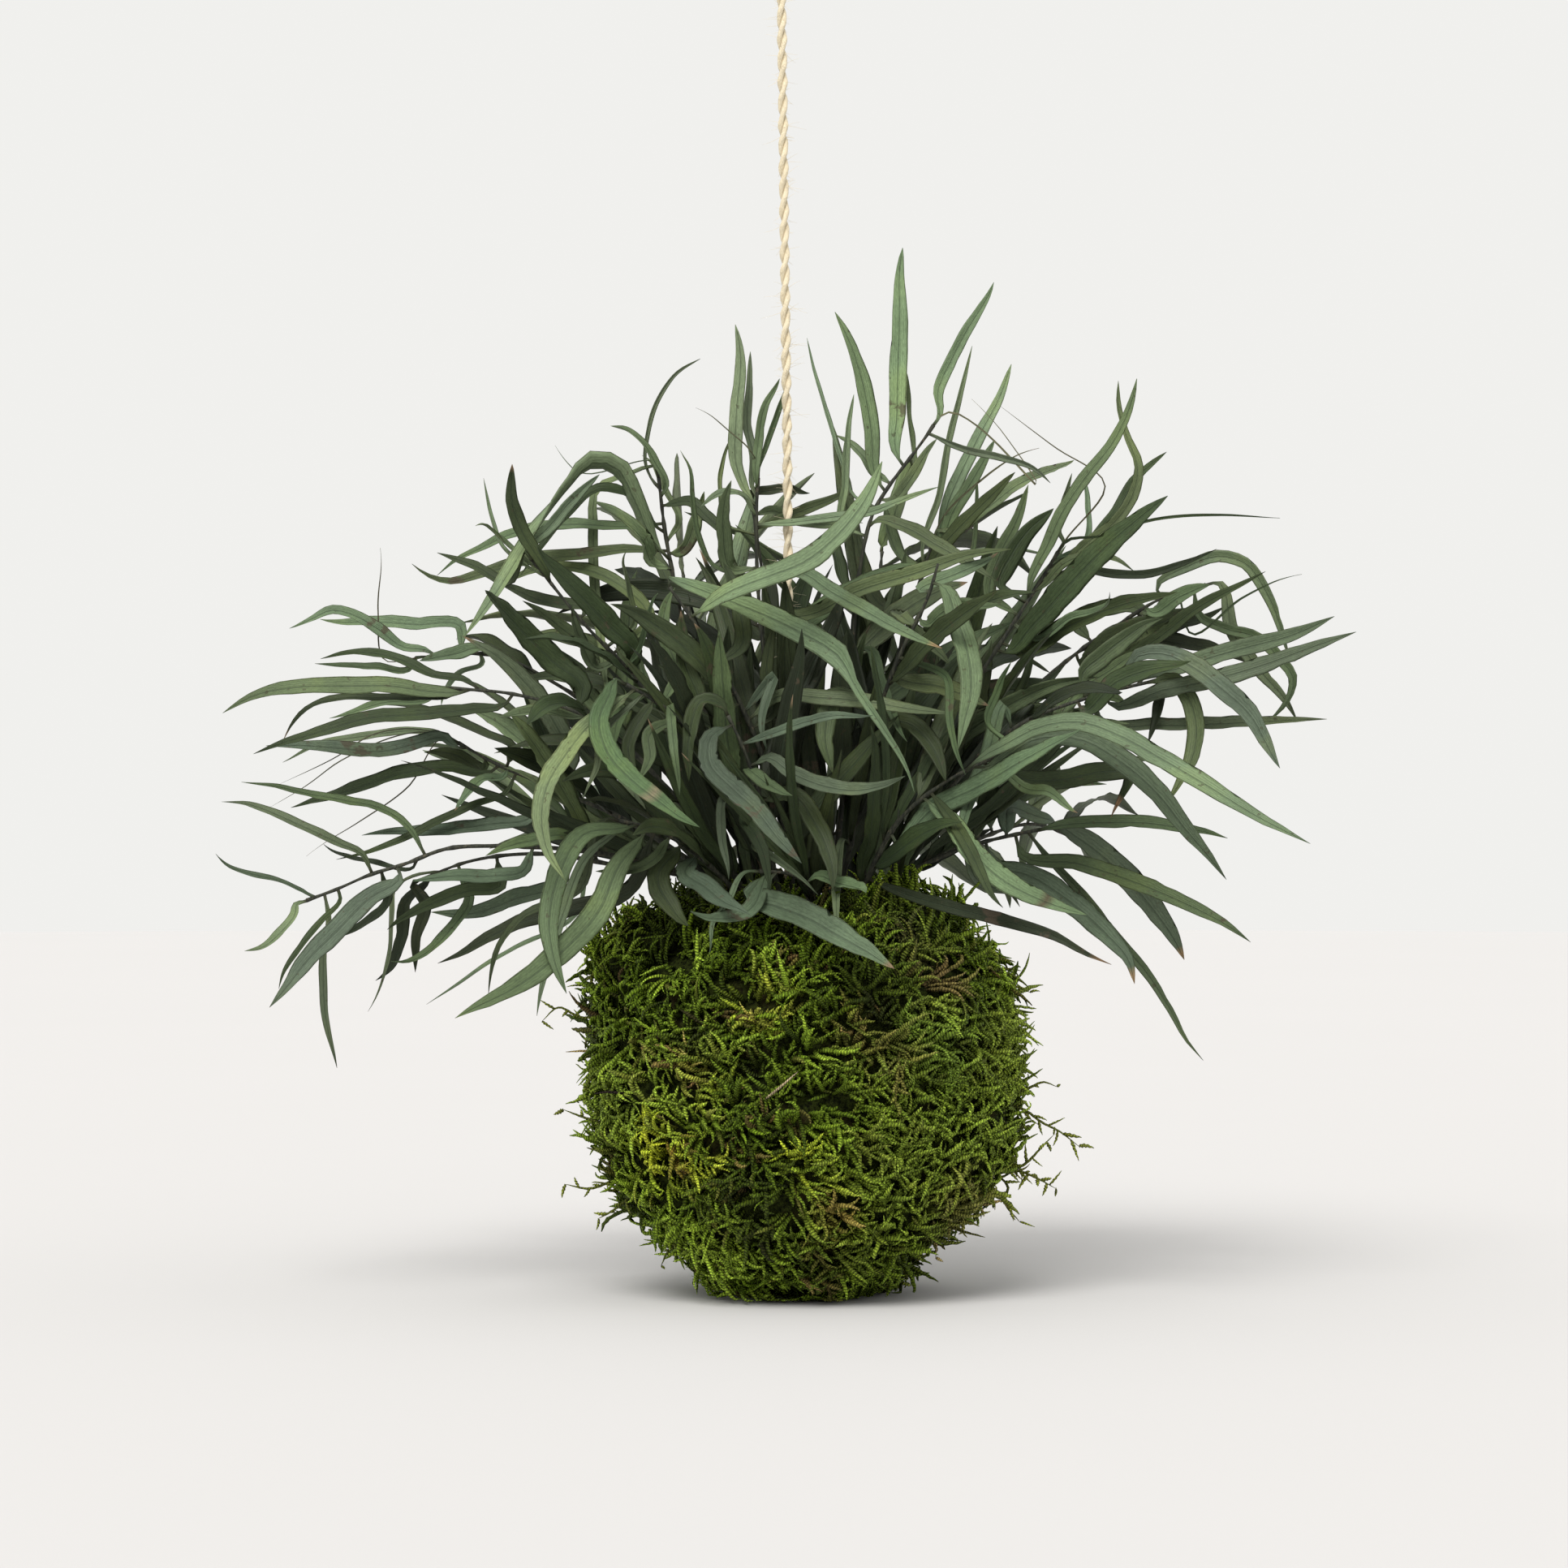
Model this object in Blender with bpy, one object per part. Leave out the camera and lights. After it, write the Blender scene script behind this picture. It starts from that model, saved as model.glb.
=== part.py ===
"""Kokedama: a moss-wrapped ball of soil planted with narrow-leaved eucalyptus sprigs.

The ball rests on the small flat spot under it. Its hanging twine runs straight up from a knot in the soil,
through the bush, to a tied loop.
Lengths in the tables are in millimetres. +Z is up, -Y is the front, and the origin is the middle of the
flat spot.
"""
import math
import random

import bmesh
import bpy
from mathutils import Vector
from mathutils.bvhtree import BVHTree

MM = 0.001
GAP = 0.3

# The bush is drawn in toward its front and let out toward its back by one part in TAPER, about MIDDLE.
TAPER = 1200.0
MIDDLE = Vector((0.0, 0.0, 130.0))

# Ball: (radius, height) from the flat spot up.
MOSS_OUTER = [(22, 0), (28, 3.6), (34.5, 9), (41, 15), (46.5, 22), (51, 31), (53.4, 40), (54.5, 50),
              (54.5, 62), (54, 72), (52.5, 80.5), (49, 87.5), (42.5, 93), (34, 97), (25.5, 98.6)]
SOIL = [(17, 8.8), (25, 13.5), (32, 19.5), (38.5, 27.5), (43, 38), (44.8, 50), (44.8, 62), (43.5, 72.5),
        (40, 81), (34, 87), (27.5, 91), (23.4, 94), (22.4, 97)]
AROUND = 24
MOSS_CLEARANCE = 4.0

# Twigs and leaves
STEM_FOOT_RADIUS = 1.1
STEM_TIP_RADIUS = 0.45
SOCKET_FLOOR = 82.0
CROWN = 99.0
SOCKET_RADIUS = 1.7
LEAF_THICKNESS = 0.5
PETIOLE = 0.9
FULLNESS = 1.12
FILLERS = 3
RING_SPREADS = ([0.2, 0.5, 0.8], [0.15, 0.32, 0.5, 0.68, 0.85], [0.12, 0.24, 0.37, 0.5, 0.63, 0.76, 0.88])
RING_TWIST = math.radians(30)
MOST_TWIST = math.radians(45)

# Twine: its path from the knot in the soil up to the knot of its hanging loop
TWINE = 2.6
KNOT = (-4.0, 3.0, 70.5)
KNOT_RADIUS = 3.2
TWINE_PATH = [(-4, 3, 74), (-4, 3, 99), (-4.2, 3, 150), (-4.5, 3, 205), (-5.2, 3, 268), (-6.1, 3, 336)]
LOOP_KNOT = (-6.1, 3.0, 339.6)
LOOP_WIDTH = 15.0
LOOP_HEIGHT = 26.0

# Each sprig: twig points, the first one its foot in the soil, then its leaves.
# Each leaf: depth of its tip, width, turn of its blade at the base and at the tip in degrees, then the points
# (across, up) that it runs through from the twig to its tip.
SPRIGS = [
    # 01 upright, right of the twine
    ([(7, 3), (10, 3, 130), (12, 3, 160), (14, 3, 185), (18, 3, 201), (22, 3, 207.5), (25, 3, 211.5),
      (31, 2.5, 219.5), (33, 2, 222.5)],
     [(-2, 3.4, 20, 10, [(34, 230), (38, 240), (43.5, 250), (49.5, 258.5)]),
      (1, 5.0, 0, 10, [(24, 214), (23.7, 226), (24, 240), (24.3, 255), (23.6, 268)]),
      (8, 4.8, 10, 20, [(18, 209), (17, 222), (14.5, 235), (10.5, 246), (7.3, 251.5)]),
      (-8, 2.0, 50, 40, [(40, 216.7), (50, 214.3), (57, 212.3), (63.5, 208.5)]),
      (11, 2.2, 50, 50, [(27.3, 213), (26.5, 227), (26.3, 238)]),
      (-6, 3.2, 10, 0, [(23, 203), (27, 208.5), (30, 213.5), (33.4, 219)]),
      (15, 3.2, 0, 20, [(18, 210), (15, 214.5), (12, 217.5), (8, 220)]),
      (7, 2.0, 40, 40, [(13, 204), (9.5, 213), (5.5, 226), (2, 238), (0.5, 245)]),
      (-1, 2.4, 20, 30, [(10.3, 196), (10.2, 208), (11, 222), (12.5, 230.5)]),
      (-14, 3.8, 0, 0, [(17, 197), (25, 196.5), (34, 191.5), (42, 187), (49, 182.5)]),
      (-36, 3.0, 0, 0, [(16, 165), (19, 157), (22, 149), (25, 141)]),
      (-5, 5.0, 0, 0, [(5, 118), (3, 132), (2, 146), (3.5, 160), (5, 172)]),
      (-9, 4.6, 0, 10, [(9.5, 112), (10.5, 121), (13, 130)])]),
    # 02 upright, left of the twine
    ([(-3, -4), (-6, -2, 125), (-9, 2, 150), (-12, 4, 180), (-12.5, 4, 200), (-12, 4, 209)],
     [(2, 4.0, 10, -10, [(-17.3, 211), (-17.6, 225), (-16.5, 238), (-17, 248.5)]),
      (9, 2.6, 10, 10, [(-13.2, 214), (-14.8, 222), (-14.3, 232), (-14, 241.5)]),
      (0, 2.6, 10, 20, [(-12, 218), (-10, 228), (-5.8, 234.2)]),
      (6, 1.8, 40, 20, [(-10.5, 216), (-7, 226), (-4.2, 235), (-5.5, 239)]),
      (13, 1.8, 40, 40, [(-19, 196), (-22, 207), (-19.5, 220)]),
      (-6, 2.2, 30, 40, [(-23, 186), (-28, 196), (-29, 204), (-30, 212), (-32.5, 215.5)]),
      (-2, 4.2, 10, 10, [(-18, 185), (-21, 196), (-20, 208.5)]),
      (-10, 2.4, 20, 0, [(-16, 204.5), (-21, 205.3), (-27, 201.5)]),
      (-18, 2.6, 10, 10, [(-4, 197.5), (8, 199), (16, 200), (24, 203), (34, 207)]),
      (-58, 4.2, 0, 10, [(-1, 184.5), (6, 180), (14, 175.5), (22, 171), (30, 167.3), (35.5, 165.8)]),
      (-20, 4.4, 0, 10, [(0, 173.5), (14, 180), (30, 185), (43, 189.5), (53, 191.5)]),
      (-6, 4.8, 0, 0, [(-5.4, 152), (-4.7, 163), (-4.8, 174), (-5.4, 184)]),
      (-12, 4.4, 0, 0, [(-3.6, 109), (-4, 118), (-3.4, 128), (-1, 137)])]),
    # 03 upright, right and behind
    ([(8, 11), (13, 13, 125), (20, 15, 150), (28, 17, 177), (33, 18, 193)],
     [(16, 2.2, 30, 30, [(34.5, 205), (36.5, 217), (40, 231), (43, 243)]),
      (24, 4.0, 0, 10, [(37, 203), (41, 212), (45.5, 221), (50, 229.5), (53, 238)]),
      (30, 4.0, 10, 0, [(38, 200), (42, 206.5), (45.5, 212.5), (48.8, 218.8)]),
      (10, 3.4, 0, 0, [(38, 195), (46, 200.5), (53, 206), (62, 210.5), (70, 213)]),
      (4, 4.4, 0, 0, [(35, 191), (41, 197.5), (48, 204.5), (54, 210.5)]),
      (34, 1.8, 40, 40, [(41, 186), (44, 200), (44, 213)]),
      (22, 4.0, 0, 0, [(20, 176), (15, 186), (13, 196)]),
      (5, 5.4, 0, 0, [(15, 140), (16, 155), (14, 168), (13, 180)])]),
    # 04 up and to the right
    ([(13, 5), (18, 7, 112), (31, 10, 138), (46, 12, 160), (57, 12, 177), (65, 12, 190)],
     [(-6, 4.0, 0, 0, [(58, 183), (62, 191), (66, 200), (72, 209), (79, 218), (84, 228), (86.5, 234)]),
      (16, 3.2, 20, 20, [(72, 192), (79, 197), (84, 204), (85.5, 211), (82.5, 220), (80.5, 227),
                              (80.5, 234)]),
      (24, 3.8, 0, 0, [(72, 191), (79.5, 199), (85, 208.5), (92, 215.5)]),
      (-16, 7.4, 0, 10, [(52, 164), (58, 170.5), (67, 180.5), (76, 190), (85, 198), (92.3, 204.5)]),
      (30, 2.0, 30, 30, [(71, 191), (72.5, 203), (71, 212)]),
      (4, 2.0, 30, 30, [(65, 195), (66.5, 203), (68.5, 210)]),
      (20, 3.8, 0, 0, [(48, 178), (50, 189), (54, 197), (57.5, 207)]),
      (2, 2.4, 0, 0, [(67, 187.3), (74, 189.3), (80, 188), (84.5, 185)]),
      (-5, 5.0, 0, 0, [(56, 164), (66, 170), (76, 174.5), (86, 177.5), (96, 179)]),
      (20, 2.2, 20, 20, [(70, 185.5), (79, 184.3), (88, 184.3), (97, 187), (105.5, 190.3)]),
      (-24, 2.2, 20, 20, [(58, 168), (68, 173), (75, 175), (80, 178.7)]),
      (2, 5.4, 0, 0, [(25, 132), (27, 144), (30, 156), (34, 168)])]),
    # 05 to the right
    ([(19, -7), (23, -9, 109), (36, -13, 128), (54, -16, 145), (74, -16, 153), (90, -14, 157)],
     [(0, 4.6, 0, 10, [(96, 160), (105, 163), (114, 165.5), (125, 168.5), (136, 173.5)]),
      (-24, 4.6, 0, 10, [(78, 150.5), (92, 154.5), (106, 157.5), (118, 161), (130, 165.5), (141.5, 169.5)]),
      (-9, 3.4, 0, 0, [(75, 147.5), (90, 145.5), (105, 145.8), (120, 146.5), (134, 147.5)]),
      (-52, 5.2, 0, 10, [(84, 162), (91, 163.8), (99, 160.5), (107, 154.5), (114, 148), (118, 141),
                              (121.2, 133.5)]),
      (-29, 4.2, 10, 20, [(94, 157.5), (98, 153), (100.3, 145), (99, 136.5), (95.5, 130), (92.3, 125.5)]),
      (-27, 5.2, 0, 0, [(70, 151.5), (80, 156.5), (90, 160), (99, 161)]),
      (4, 2.6, 20, 20, [(91, 152), (90, 147), (88, 141)]),
      (-50, 3.8, 10, 20, [(51.3, 150.5), (49.5, 145), (46.5, 137), (43, 128.5), (40, 119), (38.8, 113.5)]),
      (6, 4.2, 0, 0, [(60, 139), (68, 152), (79, 160), (87, 166)])]),
    # 06 to the right, higher and behind
    ([(18, 9), (24, 13, 108), (40, 19, 135), (60, 23, 156), (80, 24, 171), (95, 24, 179.5), (103, 23, 181.5)],
     [(20, 3.0, 20, 30, [(90, 181), (99, 186.5), (107, 188.8), (113, 187), (118.5, 179.5), (122, 171),
                              (124, 161.5)]),
      (12, 2.8, 20, 20, [(101, 174), (108, 170.2), (116, 168), (121.5, 163), (125.5, 157), (123.5, 151),
                              (117.5, 146)]),
      (17, 3.4, 0, 30, [(105, 178), (110, 169), (116, 160.5), (123, 152.5), (127.5, 147)]),
      (10, 4.8, 0, 0, [(89, 174.5), (96, 178.2), (104, 182)]),
      (4, 3.4, 0, 0, [(76, 158.5), (84, 163.3), (92, 168.7), (100, 175), (110, 180.5), (118.5, 184.5)]),
      (32, 3.0, 0, 0, [(90, 168.5), (97, 171.3), (103, 173), (108, 176)]),
      (36, 4.0, 0, 0, [(88, 168.5), (97, 166.5), (106, 164.5), (114, 161.5)]),
      (46, 4.6, 0, 0, [(70, 171), (82, 176), (94, 172)]),
      (10, 5.0, 0, 0, [(33, 128), (41, 135), (50, 143), (60, 150)])]),
    # 07 low at the front right
    ([(13, -14), (16, -18, 106), (24, -25, 121), (36, -31, 131), (50, -34, 138)],
     [(-64, 6.0, 0, 0, [(22, 117.5), (32, 123.5), (44, 129.5), (55, 136), (64, 141), (70.5, 144)]),
      (-80, 5.2, 0, 0, [(52, 141), (60, 145), (70, 146.3), (80, 143), (90, 137.5), (102, 130.5),
                             (115, 122.5), (129.5, 115)]),
      (-52, 5.8, 0, 0, [(60, 142), (71, 141.5), (80, 136.5), (90, 128), (98, 118), (104, 111.5),
                             (108.5, 106.5)]),
      (-22, 4.8, 0, 30, [(56, 131.7), (66, 131.5), (76, 133.5), (83.5, 133), (81, 127.5), (77, 122.5)]),
      (-84, 5.4, 0, 10, [(37, 121), (43, 112.5), (50, 106), (58, 101.5), (66, 98.5), (72, 96.8)]),
      (-58, 3.0, 10, 10, [(37, 122), (42, 113.5), (45.5, 106), (49, 98)]),
      (-62, 2.6, 20, 20, [(56, 129.5), (62, 128.5), (66, 125.5), (69, 122.5)]),
      (-46, 6.2, 0, 0, [(20, 110.5), (30, 117.5), (39, 121.5)]),
      (-48, 2.0, 40, 40, [(46.5, 146), (49, 154), (52.8, 162)]),
      (-58, 3.2, 10, 20, [(26, 102), (38, 98.5), (52, 95), (65, 90.8), (72, 86.8), (78.5, 84)])]),
    # 08 low to the right
    ([(20.5, 1), (25, 2, 106), (38, 4, 113), (52, 5, 117), (62, 5, 119)],
     [(-7, 3.6, 0, 0, [(66, 119.8), (78, 120.5), (88, 120.3), (97, 119), (103, 118), (108.5, 116)]),
      (-32, 4.6, 0, 0, [(55, 113.3), (70, 110), (85, 105), (100, 98.5), (108, 94.5), (115, 90.5)]),
      (20, 6.6, 0, 0, [(70, 116.5), (80, 108.5), (89, 98.5), (95, 90), (97.3, 84.5)]),
      (-22, 6.2, 0, 0, [(48, 110), (57, 107), (68, 100), (77, 92), (83, 85), (84.5, 79)]),
      (-8, 2.4, 30, 20, [(62, 112), (70, 103.5), (80, 91), (88, 81.5), (94, 72), (98, 65), (103, 60.2)]),
      (22, 5.2, 0, 0, [(52, 124), (60, 122), (66, 120.5)]),
      (34, 4.6, 0, 0, [(44, 106), (54, 103), (66, 104)])]),
    # 09 up and to the left
    ([(-10, 9), (-14, 12, 115), (-26, 14, 150), (-33, 14, 180), (-36, 14, 196), (-37.5, 13, 209)],
     [(-12, 5.6, 150, 0, [(-39, 193), (-43.5, 203), (-49, 212), (-54, 213), (-61, 206.5), (-70, 194.5),
                               (-79, 180), (-87.5, 167)]),
      (4, 3.0, 10, 20, [(-39, 197), (-45, 204.5), (-53, 206), (-60, 200.5), (-67, 192), (-73, 184)]),
      (24, 3.0, 0, 0, [(-45, 196.5), (-60, 197), (-74, 195), (-84, 190.5), (-90, 187.5), (-94, 184)]),
      (12, 3.4, 0, 0, [(-45, 190.5), (-58, 189), (-70, 188), (-82, 184.5), (-92, 182.3), (-97, 184),
                            (-101, 187)]),
      (8, 2.6, 10, 20, [(-36, 207), (-38.5, 213), (-42, 218.5), (-46, 221.5), (-50, 222.7)]),
      (23, 2.2, 20, 20, [(-32.5, 197), (-36, 206), (-40.5, 216)]),
      (17, 1.6, 50, 40, [(-41, 213), (-40.5, 220), (-37.5, 229.5), (-32.5, 236.2), (-27, 239.7)]),
      (-6, 3.2, 0, 0, [(-30, 203), (-25, 199), (-19, 192.5)]),
      (-16, 2.5, 20, 10, [(-46, 209.5), (-53.3, 206), (-54.2, 196), (-53.8, 182), (-52, 165),
                               (-50.5, 148.5)]),
      (-20, 5.0, 0, 0, [(-38.5, 186.5), (-42, 193.5), (-48, 199), (-54, 203)])]),
    # 10 upper left
    ([(-10, -1), (-14, 0, 112), (-28, 1, 138), (-44, 0, 158), (-58, -2, 173), (-70, -3, 188)],
     [(-9, 4.0, 0, 0, [(-72.5, 195), (-75.3, 203), (-75, 213)]),
      (8, 1.6, 50, 50, [(-78, 192), (-80.5, 199), (-82.5, 209)]),
      (-14, 2.0, 30, 30, [(-76, 191.5), (-80, 195.5), (-84, 198.5)]),
      (12, 2.8, 0, 0, [(-76, 182.5), (-85, 186.5), (-94.5, 189.8)]),
      (-26, 6.8, 0, 10, [(-44, 163.5), (-51, 171.5), (-60, 181), (-70.5, 191)]),
      (18, 3.4, 0, 0, [(-58, 173), (-68, 177.5), (-79, 182.5)]),
      (-20, 1.8, 40, 40, [(-44, 171), (-45.3, 180), (-47.5, 191)]),
      (-14, 3.2, 10, 10, [(-53, 160), (-57.5, 167), (-60.5, 176)]),
      (-26, 3.8, 0, 10, [(-44, 152), (-48, 147), (-49.5, 139)]),
      (-30, 1.8, 40, 40, [(-43, 164), (-40.7, 172), (-38.5, 180.5)]),
      (24, 3.4, 0, 0, [(-40, 172), (-52, 184), (-66, 186), (-80, 181)]),
      (-6, 5.4, 0, 0, [(-22, 127), (-24, 140), (-26, 154), (-27.5, 171)]),
      (5, 4.4, 0, 0, [(-29, 142), (-32, 153), (-33, 165), (-31, 176)])]),
    # 11 to the left
    ([(-14, -4), (-19, -5, 108), (-36, -8, 130), (-55, -10, 147), (-75, -10, 153.5), (-91, -9, 155)],
     [(-4, 2.6, 10, 0, [(-96, 158.5), (-103, 162), (-111, 164), (-118, 164), (-124.5, 162.5)]),
      (-18, 4.6, 0, 0, [(-95, 154), (-106, 155.5), (-118, 155.5), (-130, 155.3), (-142, 153),
                             (-150, 149.3)]),
      (-26, 3.8, 0, 0, [(-76, 152), (-86, 149.5), (-98, 148.3), (-112, 147.3), (-126, 143.3),
                             (-136, 140.3), (-142, 137.8)]),
      (-6, 2.4, 10, 20, [(-100, 152.5), (-111, 152.5), (-120, 152.3), (-127.5, 150), (-131.5, 146),
                              (-134, 141)]),
      (8, 2.6, 0, 0, [(-96, 152.5), (-108, 151.3), (-121, 147)]),
      (-36, 6.8, 0, 0, [(-57, 154), (-65, 162), (-74, 171), (-83, 181)]),
      (-46, 3.8, 0, 0, [(-58, 147.5), (-68, 149), (-79, 147.5)]),
      (6, 4.2, 0, 0, [(-48, 152), (-62, 158), (-74, 157)]),
      (-3, 5.0, 0, 0, [(-24, 119), (-31, 131), (-36, 143), (-38, 155)])]),
    # 12 left, higher and behind
    ([(-15, 5), (-21, 9, 112), (-40, 15, 138), (-62, 19, 155), (-80, 20, 163.5), (-97, 20, 163)],
     [(14, 3.0, 0, 0, [(-103, 165.5), (-110, 170.5), (-116.5, 174), (-121.5, 175), (-126, 173),
                            (-132, 169.5)]),
      (34, 3.6, 0, 0, [(-88, 170.2), (-100, 171.3), (-112, 172), (-124, 171.3)]),
      (6, 3.8, 0, 0, [(-82, 164.5), (-90, 163.7), (-99, 162)]),
      (26, 2.2, 10, 10, [(-101, 160), (-110, 160.3), (-118, 160.7), (-125.8, 161.3)]),
      (12, 2.2, 20, 30, [(-83, 162.8), (-88.5, 158.8), (-92, 154.5), (-94, 150.5)]),
      (44, 4.4, 0, 0, [(-52, 164), (-62, 168), (-74, 168)]),
      (10, 4.2, 0, 0, [(-50, 160), (-62, 170), (-72, 178)])]),
    # 13 left, at mid height
    ([(-20, 2), (-24, 4, 105), (-44, 7, 120), (-64, 8, 129), (-82, 8, 137), (-89, 8, 141)],
     [(2, 4.0, 0, 0, [(-93, 142.5), (-99, 141), (-109, 138.7), (-119, 139.5), (-130, 140.3),
                           (-138.5, 140.2)]),
      (16, 3.6, 0, 0, [(-82, 135.5), (-90, 138), (-97.5, 139)]),
      (22, 3.8, 0, 0, [(-80, 134), (-92, 134.7), (-104, 133), (-116, 129), (-126, 126), (-132, 124.3)]),
      (14, 2.2, 0, 0, [(-100, 144), (-114, 142.5), (-126, 140.2), (-133.5, 135.3)]),
      (15, 5.4, 0, 10, [(-60, 137), (-63.5, 145), (-70, 154.5), (-78, 162.5), (-88, 168.5)]),
      (-8, 3.0, 10, 20, [(-77, 133), (-83, 131.5), (-87, 127.5), (-90, 123.5)]),
      (-4, 3.6, 0, 0, [(-70, 122), (-80, 120.2), (-90, 119), (-102, 118.3), (-114, 118.5)]),
      (-14, 2.4, 10, 10, [(-76, 129), (-85, 125), (-95, 120.5), (-104, 116), (-112, 113), (-120.5, 111)])]),
    # 14 long low twig to the left
    ([(-19, -6), (-24, -8, 104), (-40, -12, 110), (-60, -15, 113.5), (-80, -15, 114.5), (-92, -14, 113.8),
      (-103, -13, 109.8), (-112, -12, 107), (-120, -11, 103.5), (-128, -10, 100.5)],
     [(-14, 1.8, 30, 10, [(-134, 105.3), (-142, 107.3), (-147, 108.8), (-152, 111.5)]),
      (-18, 2.4, 20, 10, [(-131, 97), (-135, 92), (-139.5, 88.4), (-144, 87.5)]),
      (-6, 2.2, 30, 20, [(-122.3, 97), (-123.6, 86), (-123.6, 76), (-122.5, 67), (-119.5, 57.5)]),
      (-19, 2.0, 20, 20, [(-119, 100), (-124, 95.5), (-130, 88), (-134, 82), (-136, 78)]),
      (-36, 5.4, 0, 0, [(-104, 107), (-112, 101), (-120, 93), (-128, 85), (-133, 78.5), (-137, 73.5)]),
      (-1, 2.4, 0, 10, [(-107, 101), (-113, 94.8), (-118, 92), (-122, 90)]),
      (-6, 2.6, 10, 10, [(-113, 111.5), (-120, 115.3), (-130, 120), (-140, 124.3), (-149, 126.8)]),
      (5, 2.4, 10, 10, [(-101, 118.5), (-108, 123.8), (-118, 126.2), (-128, 128), (-137, 130),
                             (-144.5, 130.3)]),
      (2, 1.8, 20, 20, [(-100, 110.5), (-110, 110.2), (-118, 112), (-124.5, 114.3)]),
      (-28, 3.6, 0, 0, [(-60, 116.5), (-72, 115.5), (-82, 112.5)]),
      (-24, 3.8, 0, 0, [(-72, 108.5), (-80, 106.8), (-90, 106.8), (-101, 105.5)])]),
    # 15 low to the left, behind
    ([(-19, 9.5), (-24, 12, 104), (-46, 17, 109), (-70, 19, 112.5), (-88, 19, 110), (-98, 18, 106)],
     [(8, 1.6, 40, 40, [(-105, 104), (-106, 96), (-106.5, 87.5), (-109, 78), (-110.5, 71.5)]),
      (26, 3.2, 0, 10, [(-102.3, 100), (-103.2, 92), (-106, 83.5), (-109.5, 79)]),
      (14, 3.0, 0, 10, [(-97.5, 100), (-99.6, 91), (-100, 82)]),
      (2, 3.8, 0, 0, [(-78, 104.5), (-87, 102.8), (-96, 99.5), (-103, 96.2), (-108, 94)]),
      (8, 2.8, 10, 10, [(-86, 101), (-91, 93), (-97, 87.2), (-102, 84.6), (-106.5, 83.8)]),
      (4, 1.8, 30, 30, [(-58, 98), (-75, 88), (-82, 84), (-90, 78.5), (-97.5, 74)]),
      (36, 4.6, 0, 0, [(-62, 106), (-74, 101), (-86, 97), (-96, 97.5)])]),
    # 16 low at the front left
    ([(-14, -14), (-18, -18, 103), (-29, -26, 113), (-39, -31, 119), (-48, -33, 121)],
     [(-82, 6.2, 0, 0, [(-42, 116.5), (-48, 109.5), (-53, 98), (-62, 88), (-75, 78), (-91, 71)]),
      (-66, 5.2, 0, 10, [(-57, 117.5), (-63.5, 107), (-66, 94), (-64.5, 84.5), (-61.5, 76.5)]),
      (-42, 2.6, 10, 10, [(-56, 112), (-62, 98), (-66.5, 83), (-70, 71)]),
      (-14, 4.4, 0, 0, [(-45, 103), (-60, 98), (-75, 94), (-82, 90.5), (-88, 87), (-94.5, 84.3)]),
      (-24, 2.6, 20, 20, [(-58, 103), (-73, 96), (-79, 88), (-81, 82), (-82.5, 76.5)]),
      (-64, 5.4, 0, 0, [(-31, 108), (-26, 104), (-21, 100), (-15, 98)]),
      (-44, 3.0, 0, 0, [(-38, 112), (-46, 108), (-54, 108)]),
      (-40, 5.6, 0, 0, [(-38, 107), (-34, 98), (-30, 93)])]),
    # 17 front left, rising
    ([(-8, -10), (-12, -14, 112), (-23, -22, 135), (-36, -28, 150), (-46, -30, 156)],
     [(-70, 4.8, 0, 10, [(-56, 145), (-62, 137.5), (-66.5, 130), (-68, 121), (-66, 112.5),
                              (-61.5, 106.5)]),
      (-72, 5.2, 0, 0, [(-50.5, 153), (-53, 147.5), (-51, 138.5), (-45, 131.5), (-38, 126), (-32, 121.5),
                             (-26.8, 118)]),
      (-42, 2.4, 20, 20, [(-34.8, 151), (-34.3, 144), (-33.5, 137), (-32, 128)]),
      (-46, 2.2, 20, 20, [(-52.5, 142), (-53.5, 134.5), (-57.5, 127.5)]),
      (-34, 3.4, 0, 0, [(-43, 146), (-45.5, 140), (-43.5, 132)]),
      (-24, 4.2, 0, 0, [(-28, 150), (-31, 162), (-32, 175)]),
      (-16, 3.6, 0, 0, [(-33, 158), (-36.5, 170), (-34.5, 182)]),
      (-40, 3.2, 0, 0, [(-40, 143), (-40, 137), (-43, 131)]),
      (-16, 5.2, 0, 10, [(-17, 128), (-19, 142), (-20.5, 156), (-20, 171)]),
      (-9, 4.8, 0, 0, [(-13.5, 120), (-14.5, 135), (-15, 150), (-14, 166)]),
      (-10, 3.6, 0, 0, [(-10.5, 113), (-10, 126), (-9.6, 142), (-10.5, 158)])]),
    # 18 front centre
    ([(-6, -17), (-8, -21, 108), (-12, -27, 128), (-17, -31, 142), (-20, -32, 148)],
     [(-72, 5.2, 0, 0, [(-24, 143), (-25, 136), (-19.5, 129.5), (-13, 123.5), (-7, 116), (0, 109)]),
      (-50, 3.6, 0, 0, [(-15, 134.5), (-10, 130.5), (-4, 127)]),
      (-58, 4.0, 0, 0, [(-10, 137), (-4, 133.3), (4, 130), (12, 128.7), (20, 130), (26.7, 132.7)]),
      (-54, 1.8, 30, 30, [(-13, 115), (-6, 110), (0, 105), (2.5, 101.5)]),
      (-42, 4.8, 0, 0, [(-4, 127.5), (2.5, 120), (6, 112), (8, 103)]),
      (-48, 2.6, 10, 10, [(-8, 143.5), (0, 146.3), (8, 148), (17, 147)]),
      (-38, 3.6, 0, 0, [(-26, 152), (-30, 142), (-30, 131)]),
      (-40, 2.4, 20, 20, [(-20, 128), (-21.5, 118), (-19, 106)]),
      (-44, 3.6, 0, 0, [(-15, 122), (-11, 113), (-9, 103)])]),
    # 19 low at the front
    ([(2, -19.5), (1, -26, 104), (-5, -33, 107.5), (-12, -37, 108)],
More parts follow.
